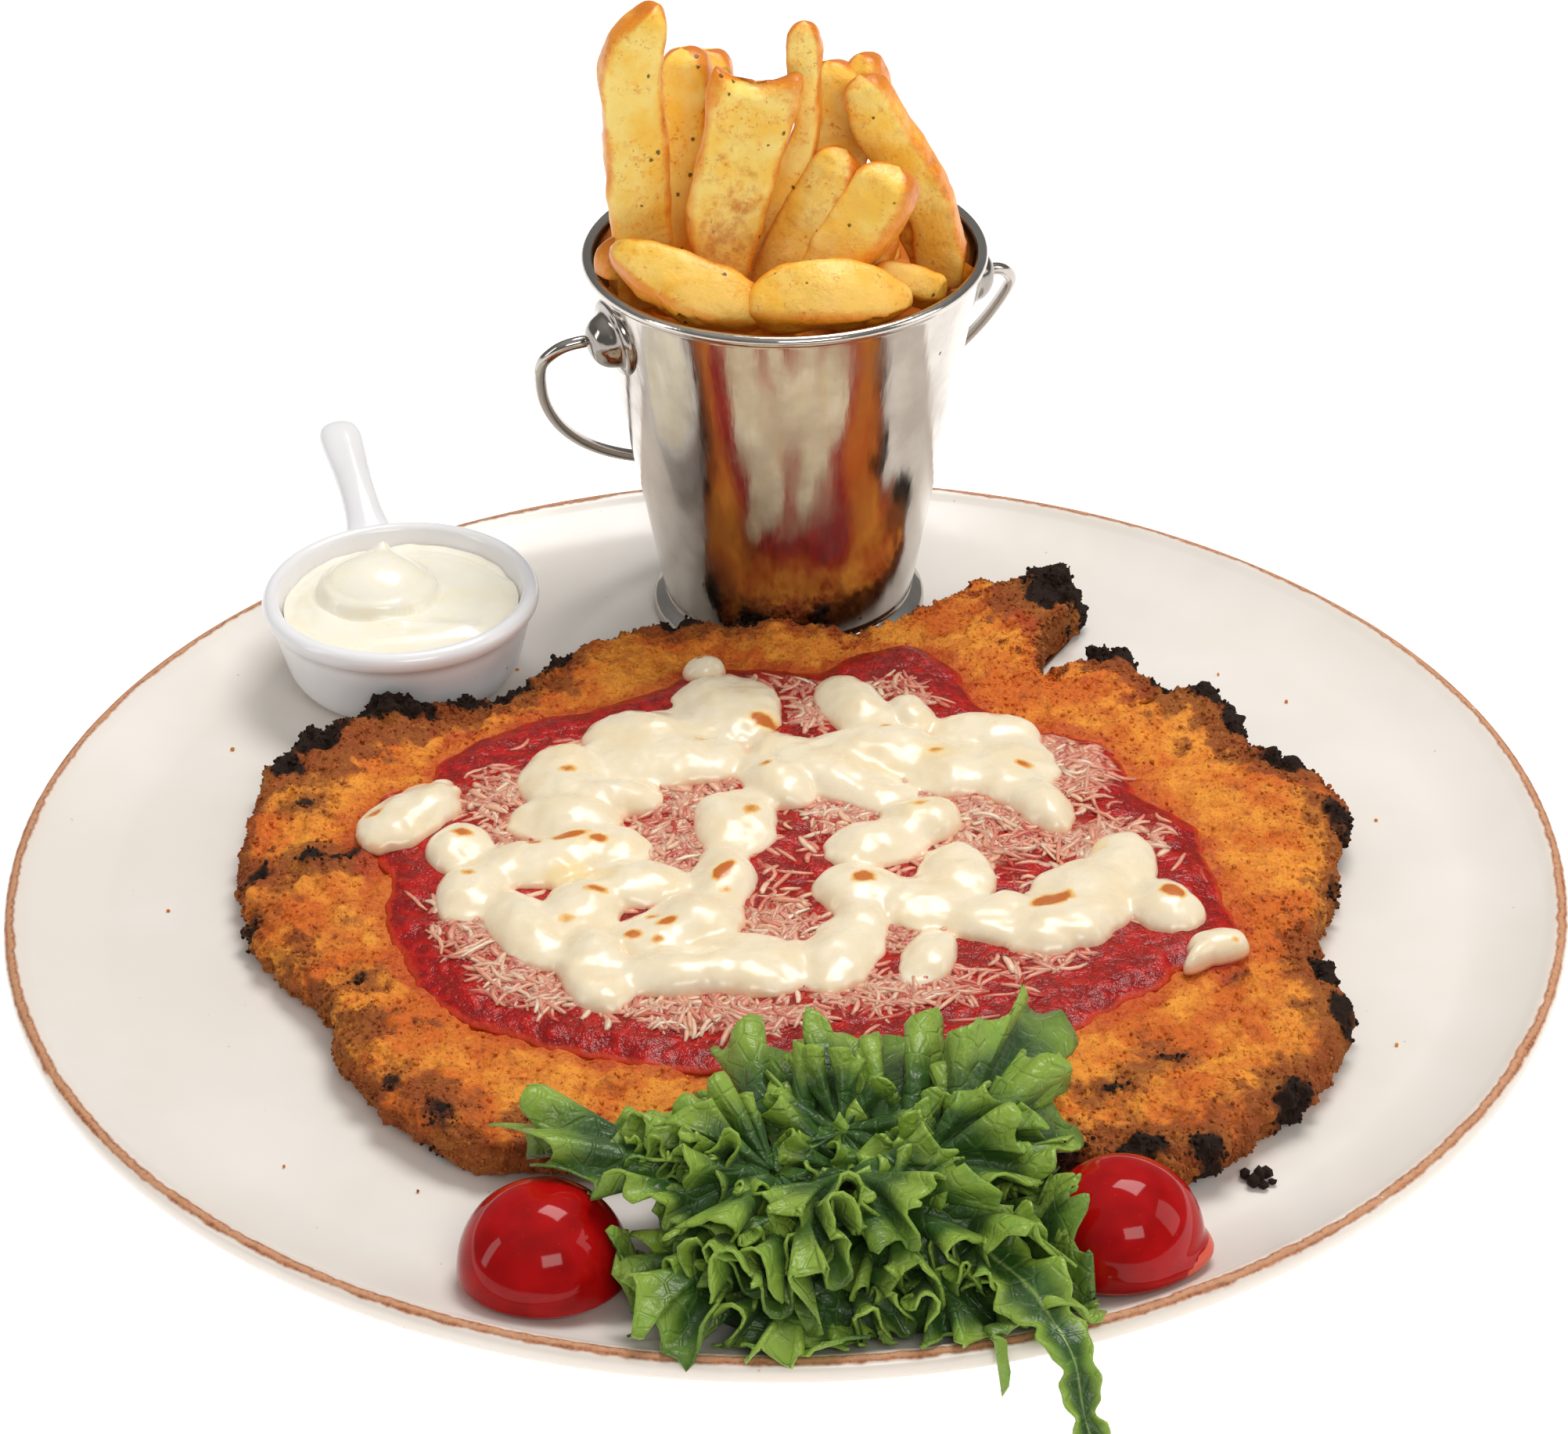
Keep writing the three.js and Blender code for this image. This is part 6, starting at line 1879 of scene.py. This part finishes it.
FRIES = [
    Fry(((-24.4, 105, 163.6), (-30.6, 105, 150), (-30, 105, 128), (-29, 106, 90)),
        (1.4, 6.4, 7.1, 6.8, 6.8), 4.8, 6, 0, 0.1),
    Fry(((-20.2, 119, 148), (-19.4, 119, 138), (-20.4, 119, 118), (-22, 118, 88)),
        (4.4, 5.6, 5.2, 4.2, 3.4), 4.8, -8),
    Fry(((-15.2, 131, 142), (-15, 131, 134), (-15, 130, 112), (-15, 126, 88)), (5, 6.2, 6, 5, 4.4), 4.6, 10),
    Fry(((-3.2, 104, 151), (-5.6, 103, 139), (-10.2, 101, 120), (-13, 98, 97)),
        (9.0, 9.6, 9.2, 8.2, 3.2), 4.6, 4, 5.0, 0.3),
    Fry(((6.4, 110, 157.5), (6.8, 110, 148), (6, 110, 131), (-1, 109, 111), (-8, 108, 88)),
        (3.0, 4.3, 3.2, 3.2, 4, 3.6), 3.8, -10),
    Fry(((11.5, 122, 142.5), (15, 122, 129), (9, 121, 110), (3, 118, 88)),
        (3.4, 7, 7.4, 6, 4.6), 4.4, 8, 0, 0.1),
    Fry(((18.5, 124, 143), (22, 124, 133), (27, 122, 112)), (3.4, 4.4, 4.4), 4.2, -10, 0, 0.3),
    Fry(((18.5, 112, 143.5), (24.5, 112, 130), (33.4, 112, 114.5), (38, 110, 94)),
        (4.4, 5.6, 6.0, 6.0, 5), 4.8, -14, 0, 0.3),
    Fry(((15.5, 107, 129), (10, 105, 117), (3, 102, 104), (-5, 99, 86)),
        (4.6, 6.4, 6.6, 6, 5), 4.8, -28, 0, 0.3),
    Fry(((26.5, 99, 128), (21.5, 98, 119), (13, 96, 107), (5, 93, 86)),
        (5.2, 7.2, 7.4, 6.6, 5), 5.0, -30, 0, 0.1),
    Fry(((24, 104, 112), (19, 101, 103), (14, 98, 86)), (3.4, 4, 4, 3.6), 4, -20),
    Fry(((-35, 93, 112.5), (-22, 86.5, 107.5), (-10, 84, 103.5), (-1, 84, 100)),
        (2.2, 6.2, 6.6, 5.4, 3), 5.4, 80, 0, 0.1),
    Fry(((-7, 83, 103), (6, 81.5, 106.5), (18, 82.5, 106), (29, 87, 101)),
        (3, 6.8, 7.2, 6, 2.4), 5.6, 82, 0, 0.15),
    Fry(((20, 92, 105), (28, 93, 103), (36, 96, 99)), (3.4, 4.2, 4, 2.6), 4, 75, 0, 0.2),
    Fry(((29, 117, 110), (33, 115, 100), (35, 112, 87)), (4, 4.6, 4.4, 4), 4, -10, 0, 0.5),
    Fry(((-35, 102, 110), (-35, 102, 100), (-33, 104, 86)), (3, 4, 4, 3.6), 3.6, 40),
    Fry(((14, 138, 112), (20, 134, 102), (22, 130, 88)), (4, 5, 5, 4), 4.4, 20),
    Fry(((-8, 146, 108), (6, 147, 106), (20, 144, 100)), (3, 4.8, 4.6, 3), 4.6, 85),
]


@dataclass
class Fries:
    """The heap of fries standing in the pail."""

    pail: Pail = field(default_factory=Pail)
    stations: int = 66
    sides: int = 36
    nose: float = 3.2

    def fry(self, one: Fry, seed: int) -> Surface:
        """One fry: a squarish bar with rounded ends, scooped tip where it has one, and uneven faces.

        Args:
            one: Its form.
            seed: Which unevenness.

        Returns:
            Its surface.
        """
        n = self.stations
        line = through(np.array(one.line), n)
        t = np.linspace(0, 1, n)
        wide = through(np.column_stack([np.linspace(0, 1, len(one.halves)), one.halves]), n)[:, 1]
        thick = one.thick * np.interp(t, [0, 0.12, 0.9, 1], [0.72, 1, 1, 0.72])
        run = run_of(line)
        length = run[-1]
        for along in (run, length - run):
            nose = np.maximum(np.sqrt(1 - (1 - np.clip(along / self.nose, 0, 1)) ** 2), 0.06)
            wide, thick = wide * nose, thick * nose
        across = polar(one.face) + (0, 0, 0.9 if one.face > 45 else 0)
        made = bars(line[None], wide[None], thick[None], across[None], self.sides, 0.62)
        flank = np.tile(ease(np.abs(np.cos(around(self.sides, 0.5))), 0.45, 0.98), n)
        flank = np.concatenate([flank, [0.5, 0.5]])
        at = np.concatenate([np.repeat(run, self.sides), [0, length]])
        tip = np.exp(-at / 3.5) + np.exp(-(length - at) / 4.5)
        spice = np.full(len(made.points), one.spice)
        if one.scoop:
            axis = unit(np.gradient(line, axis=0))[0]
            side = unit(across - axis * np.dot(across, axis))
            v = (made.points - line[0]) @ side / one.halves[1]
            notch = one.scoop * np.clip(1 - np.abs(v / 0.95) ** 2.2, 0, 1) * bell(at, 9)
            made.points = made.points + axis * notch[:, None]
            bowl = np.cross(side, axis)
            facing = (made.points - line[0]) @ bowl < 0
            lane = bell(v, 0.6)
            dish = 2.4 * lane * bell(at - 16, 16)
            made.points = made.points + bowl * (dish * facing)[:, None]
            spice = spice + 0.3 * bell(at - 36, 12) * lane - 0.3 * bell(at, 12)
        place = made.points + seed * 31.7
        bumps = 0.7 * noise(place, 10, seed) + 0.34 * noise(place, 3.6, seed + 1, 2)
        made.pushed(bumps - 0.5 * (1 - flank) * (1 - np.clip(tip, 0, 1)))
        made.values = {"edge": np.clip(flank * 0.8 + tip * 0.55, 0, 1.3), "spice": spice}
        return made

    def core(self) -> Surface:
        """What fills the pail below the fries that show."""
        top, low = self.pail.top - 9, WELL + 7.3
        r = self.pail.wall_at(top)
        profile = np.array([(0.5, low), (26.5, low), (r - 3, top - 3), (r - 9, top), (0.5, top + 2)])
        made = Surface.turned(rounded(profile, 2, 4), 64, self.pail.x, self.pail.y)
        return made.valued(edge=0.9, spice=0.8)

    def fillers(self) -> list[Surface]:
        """Short fries lying low in the pail, between those that stand."""
        rng = np.random.default_rng(3)
        made, count = [], 16
        for k in range(count):
            bearing = k * 360 / count + rng.uniform(-8, 8)
            out = polar(bearing) * 24 + (self.pail.x, self.pail.y, 0)
            lean = polar(bearing + rng.uniform(60, 120)) * rng.uniform(6, 12)
            out[2] = rng.uniform(89, 94)
            first = out - lean + (0, 0, rng.uniform(-2, 3))
            last = out + lean + (0, 0, rng.uniform(-3, 2))
            line = tuple(tuple(p) for p in (first, out, last))
            made.append(self.fry(Fry(line, (3.4, 4.4, 4.2, 3.2), 3.8, bearing), 60 + k))
        return made

    def build(self) -> Piece:
        """The standing fries, the low ones and the core, kept inside the pail's wall."""
        pail = self.pail
        standing = [self.fry(one, 100 + k) for k, one in enumerate(FRIES)]
        made = Surface.joined([*standing, *self.fillers(), self.core()])
        z = made.points[:, 2]
        wall = pail.reach(np.minimum(z, pail.top - 3)) - pail.wall - 0.6
        wall = np.where(z > pail.top - 4.5, wall - 2.4, wall)
        pail.put(made.points, wall, (z < pail.top + 0.5) & (pail.out(made.points) > wall))
        return dressed(made, "thick_cut_fries", "fried_potato", FriedPotato().material(), "fries")


# ---- tomatoes
@dataclass
class TomatoHalf:
    """A small tomato cut a little below its middle, lying cut side down."""

    name: str
    node: str
    x: float
    y: float
    lift: float
    tilt: float
    radius: float
    belly: float
    bulge: float = 0.0

    def build(self, plate: Plate, finish: Material) -> Piece:
        """A turned half that leans with the slope, slightly ribbed, with flesh at its cut.

        Args:
            plate: What it lies on.
            finish: The tomato's material.

        Returns:
            The piece.
        """
        r, belly = self.radius, self.belly
        t = np.radians(np.linspace(-14, 89.2, 44))
        skin = np.stack([r * np.cos(t), belly + r * np.sin(t)], -1)
        skin = skin[skin[:, 1] > 0.9]
        profile = np.vstack([[(0.4, 0.0), (r * 0.55, 0.05), (r * 0.86, 0.1), (r * 0.935, 0.35)], skin])
        made = Surface.turned(profile, 120)
        x, y, z = made.points.T
        turn = np.arctan2(y, x)
        body = ease(z, 0.5, belly + 2) * (1 - ease(z, belly + r * 0.6, belly + r))
        grow = 1 + body * 0.008 * np.sin(5 * turn + 1) + 0.006 * np.sin(2 * turn)
        dip = 0.5 * np.exp(-(x**2 + y**2) / 9) * ease(z, belly + r * 0.7, belly + r)
        cut = 1 - ease(z, 0.5, 1.5)
        flesh = self.bulge * bell(turn + 0.15, 0.55)
        flesh = flesh * (1 - ease(z, 1.5, 5)) * ease(np.hypot(x, y), r * 0.6, r)
        made.points = np.stack([x * grow, y * grow, z - dip], -1)
        made.points[:, :2] *= (1 + flesh / r)[:, None]
        made.values = {"cut": np.clip(cut + (flesh > 0.6) * 1.0, 0, 1)}
        axis = unit(np.array([-self.y, self.x, 0.0]))
        c, s, _ = polar(-self.tilt)
        p = made.points
        p = p * c + np.cross(axis, p) * s + np.outer(p @ axis, axis) * (1 - c)
        made.points = p + (self.x, self.y, WELL + self.lift)
        floor = plate.top(np.hypot(*made.points[:, :2].T)) + 0.12
        made.points[:, 2] = np.maximum(made.points[:, 2], floor)
        return dressed(made, self.name, "tomato", finish, self.node)


TOMATOES = [
    TomatoHalf("tomato_half_left", "tomato_left", -45.2, -130.8, 1.5, 6.8, 15.9, 2.4),
    TomatoHalf("tomato_half_right", "tomato_right", 61, -128.8, 2.3, 9.6, 15.1, 4.4, 2.0),
]


# ---- lettuce
@dataclass(frozen=True)
class Leaf:
    """One frilly leaf: where its stalk starts, where its tip ends, how it arches, and its half width."""

    start: Place
    end: Place
    arch: float
    half: float
    frill: float = 1.0


# Seven at the back, six in front, then the inner ones.
LEAVES = [
    Leaf((-2, -126, 22), (-47, -118, 32), 9, 10, 0.7), Leaf((-14, -120, 26), (-43, -112, 36), 3, 6, 0.7),
    Leaf((4, -124, 20), (-10, -94, 33), 6, 12), Leaf((12, -124, 20), (5, -88, 33), 7, 9),
    Leaf((20, -124, 22), (24, -94, 33), 7, 11), Leaf((24, -126, 22), (46, -87, 36), 8, 8),
    Leaf((22, -126, 24), (49, -108, 33), 6, 10), Leaf((22, -130, 20), (49, -136, 25), 8, 10),
    Leaf((4, -132, 18), (-29, -148, 19), 9, 12), Leaf((6, -134, 18), (-13, -156, 17), 9, 11),
    Leaf((12, -134, 20), (8, -158, 14), 10, 9), Leaf((20, -134, 20), (36, -157, 14), 9, 8),
    Leaf((28, -134, 24), (49, -150, 20), 6, 7), Leaf((10, -116, 26), (12, -144, 36), 4, 13),
    Leaf((2, -118, 26), (-20, -134, 33), 6, 12), Leaf((20, -120, 27), (40, -126, 34), 6, 11),
    Leaf((14, -128, 28), (30, -146, 28), 6, 11), Leaf((6, -126, 28), (-6, -150, 27), 6, 11),
    Leaf((-4, -122, 26), (-25, -114, 33), 6, 9), Leaf((8, -114, 28), (16, -102, 36), 3, 11),
    Leaf((-8, -130, 22), (-18, -146, 25), 5, 9), Leaf((30, -118, 26), (40, -104, 33), 4, 9),
]


@dataclass
class Lettuce:
    """The garnish: frilly leaves over a low heap of stalks between the cutlet and the plate's rim."""

    plate: Plate
    cutlet: Cutlet
    thickness: float = 0.55

    def ground(self, x: Array, y: Array) -> Array:
        """Highest surface under the garnish: plate, cutlet or tomato; 1 mm over the table beyond the plate.

        Args:
            x: Places, any shape.
            y: Places, the same shape.

        Returns:
            Height at each place.
        """
        radius = np.hypot(x, y)
        z = np.where(radius < self.plate.radius + 1.4, self.plate.top(radius), 1.0)
        depth = self.cutlet.coarse.depth(x, y)
        z = np.maximum(z, np.where(depth > -2, CRUST - 4 + 6.2 * ease(depth, -2, 3), 0))
        for half in TOMATOES:
            d = np.hypot(x - half.x, y - half.y) / (half.radius + 1.4)
            dome = WELL + half.lift + half.belly + 0.8 + (half.radius + 0.8) * np.sqrt(np.clip(1 - d * d, 0, 1))
            z = np.maximum(z, np.where(d < 1, dome, 0))
        return z

    def leaf(self, leaf: Leaf, seed: int, rays: int = 264, steps: int = 20) -> Surface:
        """One leaf as rays from a point a quarter of the way along it, each point moved by the frill.

        With s the angle of the ray and q the share of the way to the rim, the frill is the sum of waves
        a * q^b * sin(k s + c) out of the leaf's plane, each finer and closer to the rim than the last, and
        the same waves at twice the pace push the rim along itself, so that the folds overhang.

        Args:
            leaf: Its form.
            seed: Which waves.
            rays: Corners along the rim.
            steps: Corners along a ray.

        Returns:
            Its surface.
        """
        rng = np.random.default_rng(seed)
        start, end = np.array(leaf.start, float), np.array(leaf.end, float)
        length = np.linalg.norm(end - start)
        along = (end - start) / length
        side = unit(np.cross([0, 0, 1], along))
        over = np.cross(along, side)
        twist = math.radians(rng.uniform(-32, 32))
        turned = side * math.cos(twist) + over * math.sin(twist)
        side, over = turned, over * math.cos(twist) - side * math.sin(twist)
        s = np.linspace(-1, 1, rays)[None, :]
        q = np.linspace(0.03, 1, steps)[:, None] ** 0.75
        fan = 2.75 * s
        c = rng.uniform(0, 2 * np.pi, 9)
        pace = 1.1 * np.sin(2.3 * s + c[6]) + 0.7 * np.sin(5.1 * s + c[7])
        lobes = 0.13 * np.sin(8 * s + c[4]) + 0.10 * np.sin(19 * s + c[5])
        teeth = 0.17 * (1 - np.abs(np.sin(31 * s + pace))) ** 1.4 + 0.09 * (1 - np.abs(np.sin(53 * s + c[8])))
        ahead = np.where(np.cos(fan) > 0, 0.8, 0.42) * length
        shape = 1 / np.sqrt((np.cos(fan) / ahead) ** 2 + (np.sin(fan) / (leaf.half * 1.3)) ** 2)
        reach = q * shape * (1 + q**4 * (lobes + teeth))
        first, second = 25 * s + c[0] + 3.0 * pace + 0.8 * q, 71 * s + c[1] + 4 * pace + 1.5 * q
        wide = np.sqrt(shape / 20)
        frill = 5.2 * wide * q**1.7 * np.sin(first) + 2.4 * q**3.5 * np.sin(second)
        frill = leaf.frill * (frill + 1.6 * q**0.8 * np.sin(9 * s + c[2]))
        slide = -leaf.frill * (1.9 * wide * q**2 * np.sin(2 * first) + 0.8 * q**4 * np.sin(2 * second))
        a = 0.25 * length + reach * np.cos(fan) - slide * np.sin(fan)
        b = reach * np.sin(fan) + slide * np.cos(fan)
        cup = leaf.arch * 2.0 * (a / length) * (1 - np.clip(a / length, 0, 1.2)) - 0.010 * b**2
        p = start + a[..., None] * along + b[..., None] * side + (frill + cup)[..., None] * over
        floor = self.ground(p[..., 0], p[..., 1]) + 0.7
        lifted = floor + 0.25 * np.abs(p[..., 2] - floor)
        p[..., 2] = np.where(p[..., 2] < floor, np.minimum(lifted, floor + 2.5), p[..., 2])
        # Lighter towards the margin, with painted light on the frills' crests and painted shade in their
        # troughs.
        rim = 0.75 * ease(q, 0.62, 1.0) + 0.3 * np.sin(first) * q + 0.12 * np.sin(second) * q**3
        rim = rim + 0.2 * (rng.random() - 0.5)
        rib = bell(b, 0.8) * (1 - ease(q, 0.2, 0.7)) * 0.5
        return self.blade(p, rim, rib)

    def blade(self, p: Array, rim: Array, rib: Array) -> Surface:
        """A grid of places (rows, columns, 3) as a thin body that carries rim and rib.

        Args:
            p: The places.
            rim: 1 at the frilled rim; on the leaves it also holds painted light on the frills' crests and
                painted shade in the folds.
            rib: 1 on the rib.

        Returns:
            The body.
        """
        size = p.shape[:2]
        held = {name: np.broadcast_to(v, size).ravel() for name, v in (("rim", rim), ("rib", rib))}
        return Surface(p.reshape(-1, 3), grid(*size), values=held).thickened(self.thickness)

    def stalks(self) -> Surface:
        """The low heap that the leaves grow from: a lumpy half dome kept clear of plate and cutlet."""
        angle = around(96)
        t = np.linspace(0.03, 1, 26)[:, None]
        x = 10 + 27 * t * np.cos(angle)
        y = -133 + 19 * t * np.sin(angle)
        top = 19 + 12 * np.sqrt(np.clip(1 - t**2.2, 0, 1)) + 0 * angle
        floor = self.ground(x, y) + 0.4
        top = np.maximum(top + 2.2 * uneven(x, y, 5, 71, 2) - 4, floor + 0.3)
        upper, lower = (np.stack([x, y, z], -1) for z in (top, floor))
        return Surface.rings(np.concatenate([upper, lower[::-1]])).valued(rim=-0.2, rib=0.0)

    def build(self) -> list[Piece]:
        """Three pieces, the leaves at the back with the stalks, those in front and the inner ones."""
        material = LettuceLeaf().material()
        made = [self.leaf(one, 200 + k) for k, one in enumerate(LEAVES)]
        heaps = {"back": made[:7] + [self.stalks(), self.tendril()], "front": made[7:13], "inner": made[13:]}
        pieces = []
        for name, leaves in heaps.items():
            replaced = ("lettuce",) if name == "back" else ()
            shape = Surface.joined(leaves)
            pieces.append(dressed(shape, f"lettuce_{name}_leaves", "lettuce_leaf", material, *replaced))
        return pieces

    def tendril(self) -> Surface:
        """The narrow twisted strip that hangs over the rim at the front right."""
        knots = [(34, -140, 27), (44, -152, 24), (50, -163, 18), (52, -170, 9), (58.5, -176, 3.6)]
        steps = 70
        line = through(np.array(knots, float), steps)
        t = np.linspace(0, 1, steps)
        half = np.interp(t, [0, 0.2, 0.45, 0.75, 1], [5, 6.5, 3.6, 2.8, 0.5])
        half = half * (1 + 0.22 * np.sin(t * 34) + 0.1 * np.sin(t * 71))
        v = np.linspace(-1, 1, 17)
        along = unit(np.gradient(line, axis=0))
        side = unit(np.cross(along, [0.2, -0.7, 0.7]))
        over = np.cross(along, side)
        wave = (0.5 + 1.1 * v**2) * np.sin(t[:, None] * 24 + v * 1.2) - 1.2 * v**2
        p = line[:, None] + side[:, None] * (half[:, None] * v)[..., None] + over[:, None] * wave[..., None]
        p[..., 2] = np.maximum(p[..., 2], self.ground(p[..., 0], p[..., 1]) + 0.6)
        return self.blade(p, np.abs(v) ** 1.5, 0.7 * bell(v, 0.12))


# ---- studio
def posed(name: str, data: bpy.types.ID, *axes: Array) -> Piece:
    """Links a camera or light whose right, up, back and place are given.

    Args:
        name: Its name.
        data: The camera or light.
        axes: The four.

    Returns:
        The object.
    """
    made = bpy.data.objects.new(name, data)
    turn = np.eye(4)
    turn[:3] = np.stack(axes, -1)
    made.matrix_world = Matrix(turn.tolist())
    bpy.context.scene.collection.objects.link(made)
    return made


@dataclass(frozen=True)
class Lamp:
    """A soft rectangular light: its place and size in metres, its power in watts and its warmth."""

    name: str
    place: Place
    size: tuple[float, float]
    power: float
    warm: float

    def build(self) -> None:
        """The light, which faces the middle of the plate."""
        data = bpy.data.lights.new(self.name, "AREA")
        data.shape, data.size, data.size_y, data.energy = "RECTANGLE", *self.size, self.power
        data.color = (1.0, 1.0 - 0.06 * self.warm, 1.0 - 0.14 * self.warm)
        back = unit(np.array(self.place) - (0, 0, 0.03))
        right = unit(np.cross([0, 0, 1], back))
        posed(self.name, data, right, np.cross(back, right), back, self.place)


LAMPS = [
    Lamp("overhead", (0.25, 0.45, 1.25), (0.7, 0.5), 10.8, 0.15),
    Lamp("front", (0.3, -1.15, 0.95), (0.7, 0.35), 5.4, 0.3),
    Lamp("left_card", (-1.1, -0.25, 0.5), (0.25, 0.7), 1.9, 0.3),
    Lamp("right_card", (1.1, -0.1, 0.55), (0.5, 0.7), 2.3, 0.3),
]


@dataclass
class Studio:
    """Plain pale floor, soft lights and the camera."""

    pitch: float = 32.13
    roll: float = -0.755
    lens: float = 97.33
    eye: Place = (0.0002, -0.7338, 0.51213)
    side: float = 0.22
    above: float = 0.46
    reach: float = 9000.0

    def camera(self) -> None:
        """The camera at the photograph's angle: pitched down, then rolled about its own line of sight."""
        data = bpy.data.cameras.new("camera")
        data.lens, data.sensor_width = self.lens, 36.0
        data.clip_start, data.clip_end = 0.05, 20
        e, r = math.radians(self.pitch), math.radians(self.roll)
        level, up = np.array([1.0, 0, 0]), np.array([0, math.sin(e), math.cos(e)])
        right = math.cos(r) * level + math.sin(r) * up
        above = math.cos(r) * up - math.sin(r) * level
        back = np.array([0, -math.cos(e), math.sin(e)])
        bpy.context.scene.camera = posed("camera", data, right, above, back, self.eye)

    def floor(self) -> None:
        """A wide pale table."""
        side = np.linspace(-self.reach, self.reach, 13)
        x, y = np.meshgrid(side, side)
        made = Surface(flat(x, y) - (0, 0, 0.6), grid(len(side), len(side))).piece("table")
        p = Paint("table")
        p.colour = p.mix(p.patch(0.3, 0.7, 300), srgb(250, 250, 250), srgb(246, 246, 246))
        made.data.materials.append(p.finished(0.8, Emission_Color=(1.0, 1.0, 1.0, 1.0), Emission_Strength=0.5))
        made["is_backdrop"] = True

    def world(self) -> None:
        """A surround that is bright overhead and dim towards the sides."""
        world = bpy.data.worlds.new("surround")
        world.use_nodes = True
        tree = world.node_tree
        back = tree.nodes["Background"]
        place = tree.nodes.new("ShaderNodeTexCoord")
        split = tree.nodes.new("ShaderNodeSeparateXYZ")
        rise = tree.nodes.new("ShaderNodeMapRange")
        rise.interpolation_type = "SMOOTHSTEP"
        for key, value in {1: 0.45, 2: 0.95, 3: self.side, 4: self.above}.items():
            rise.inputs[key].default_value = value
        tree.links.new(place.outputs["Generated"], split.inputs[0])
        tree.links.new(split.outputs[2], rise.inputs[0])
        tree.links.new(rise.outputs[0], back.inputs[1])
        back.inputs[0].default_value = (1.0, 0.99, 0.97, 1.0)
        bpy.context.scene.world = world

    def build(self) -> None:
        """Everything that isn't part of the serving."""
        self.floor()
        self.world()
        for lamp in LAMPS:
            lamp.build()
        self.camera()
        bpy.context.scene.view_settings.view_transform = "Standard"


def corners() -> list[list[float]]:
    """The shown object's box as plain lists."""
    return [[float(c) for c in corner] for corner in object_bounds()]


def main() -> None:
    """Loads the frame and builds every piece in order."""
    logging.basicConfig(level=logging.INFO, format="%(message)s")
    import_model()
    Studio().build()
    plate = Plate()
    plate.build()
    cutlet = Cutlet()
    crust = FriedCrust().material()
    cutlet.build(crust)
    Crumbs().build(cutlet, crust)
    sauce = Sauce()
    sauce.build()
    cheese = MeltedCheese().material()
    MeltedPiece("melted_cheese_slices", "cheese", LOBES).build(cheese)
    MeltedPiece("cheese_curd_left", "cheese_left_curd", LEFT_CURD, spread=0.0).build(cheese)
    MeltedPiece("cheese_curd_top", "cheese_top_curd", TOP_CURD, 0.35, spread=0.0).build(cheese)
    MeltedPiece("cheese_curd_right", "cheese_right_curd", RIGHT_CURD, 0.4, spread=0.0).build(cheese)
    sauce.shreds()
    SauceDish().build()
    Dip().build()
    Pail().build()
    # Painted reflection: the ears get a darker steel than the pail, for the dark reflection in their domes.
    pressed = PolishedSteel(srgb(150, 144, 138), "ear_steel_painted_dark", 0.1).material()
    Ear(-1).build(pressed)
    Ear(1).build(pressed)
    Bail().build()
    Fries().build()
    skin = TomatoSkin().material()
    for half in TOMATOES:
        half.build(plate, skin)
    Lettuce(plate, cutlet).build()


if __name__ == "__main__":
    main()
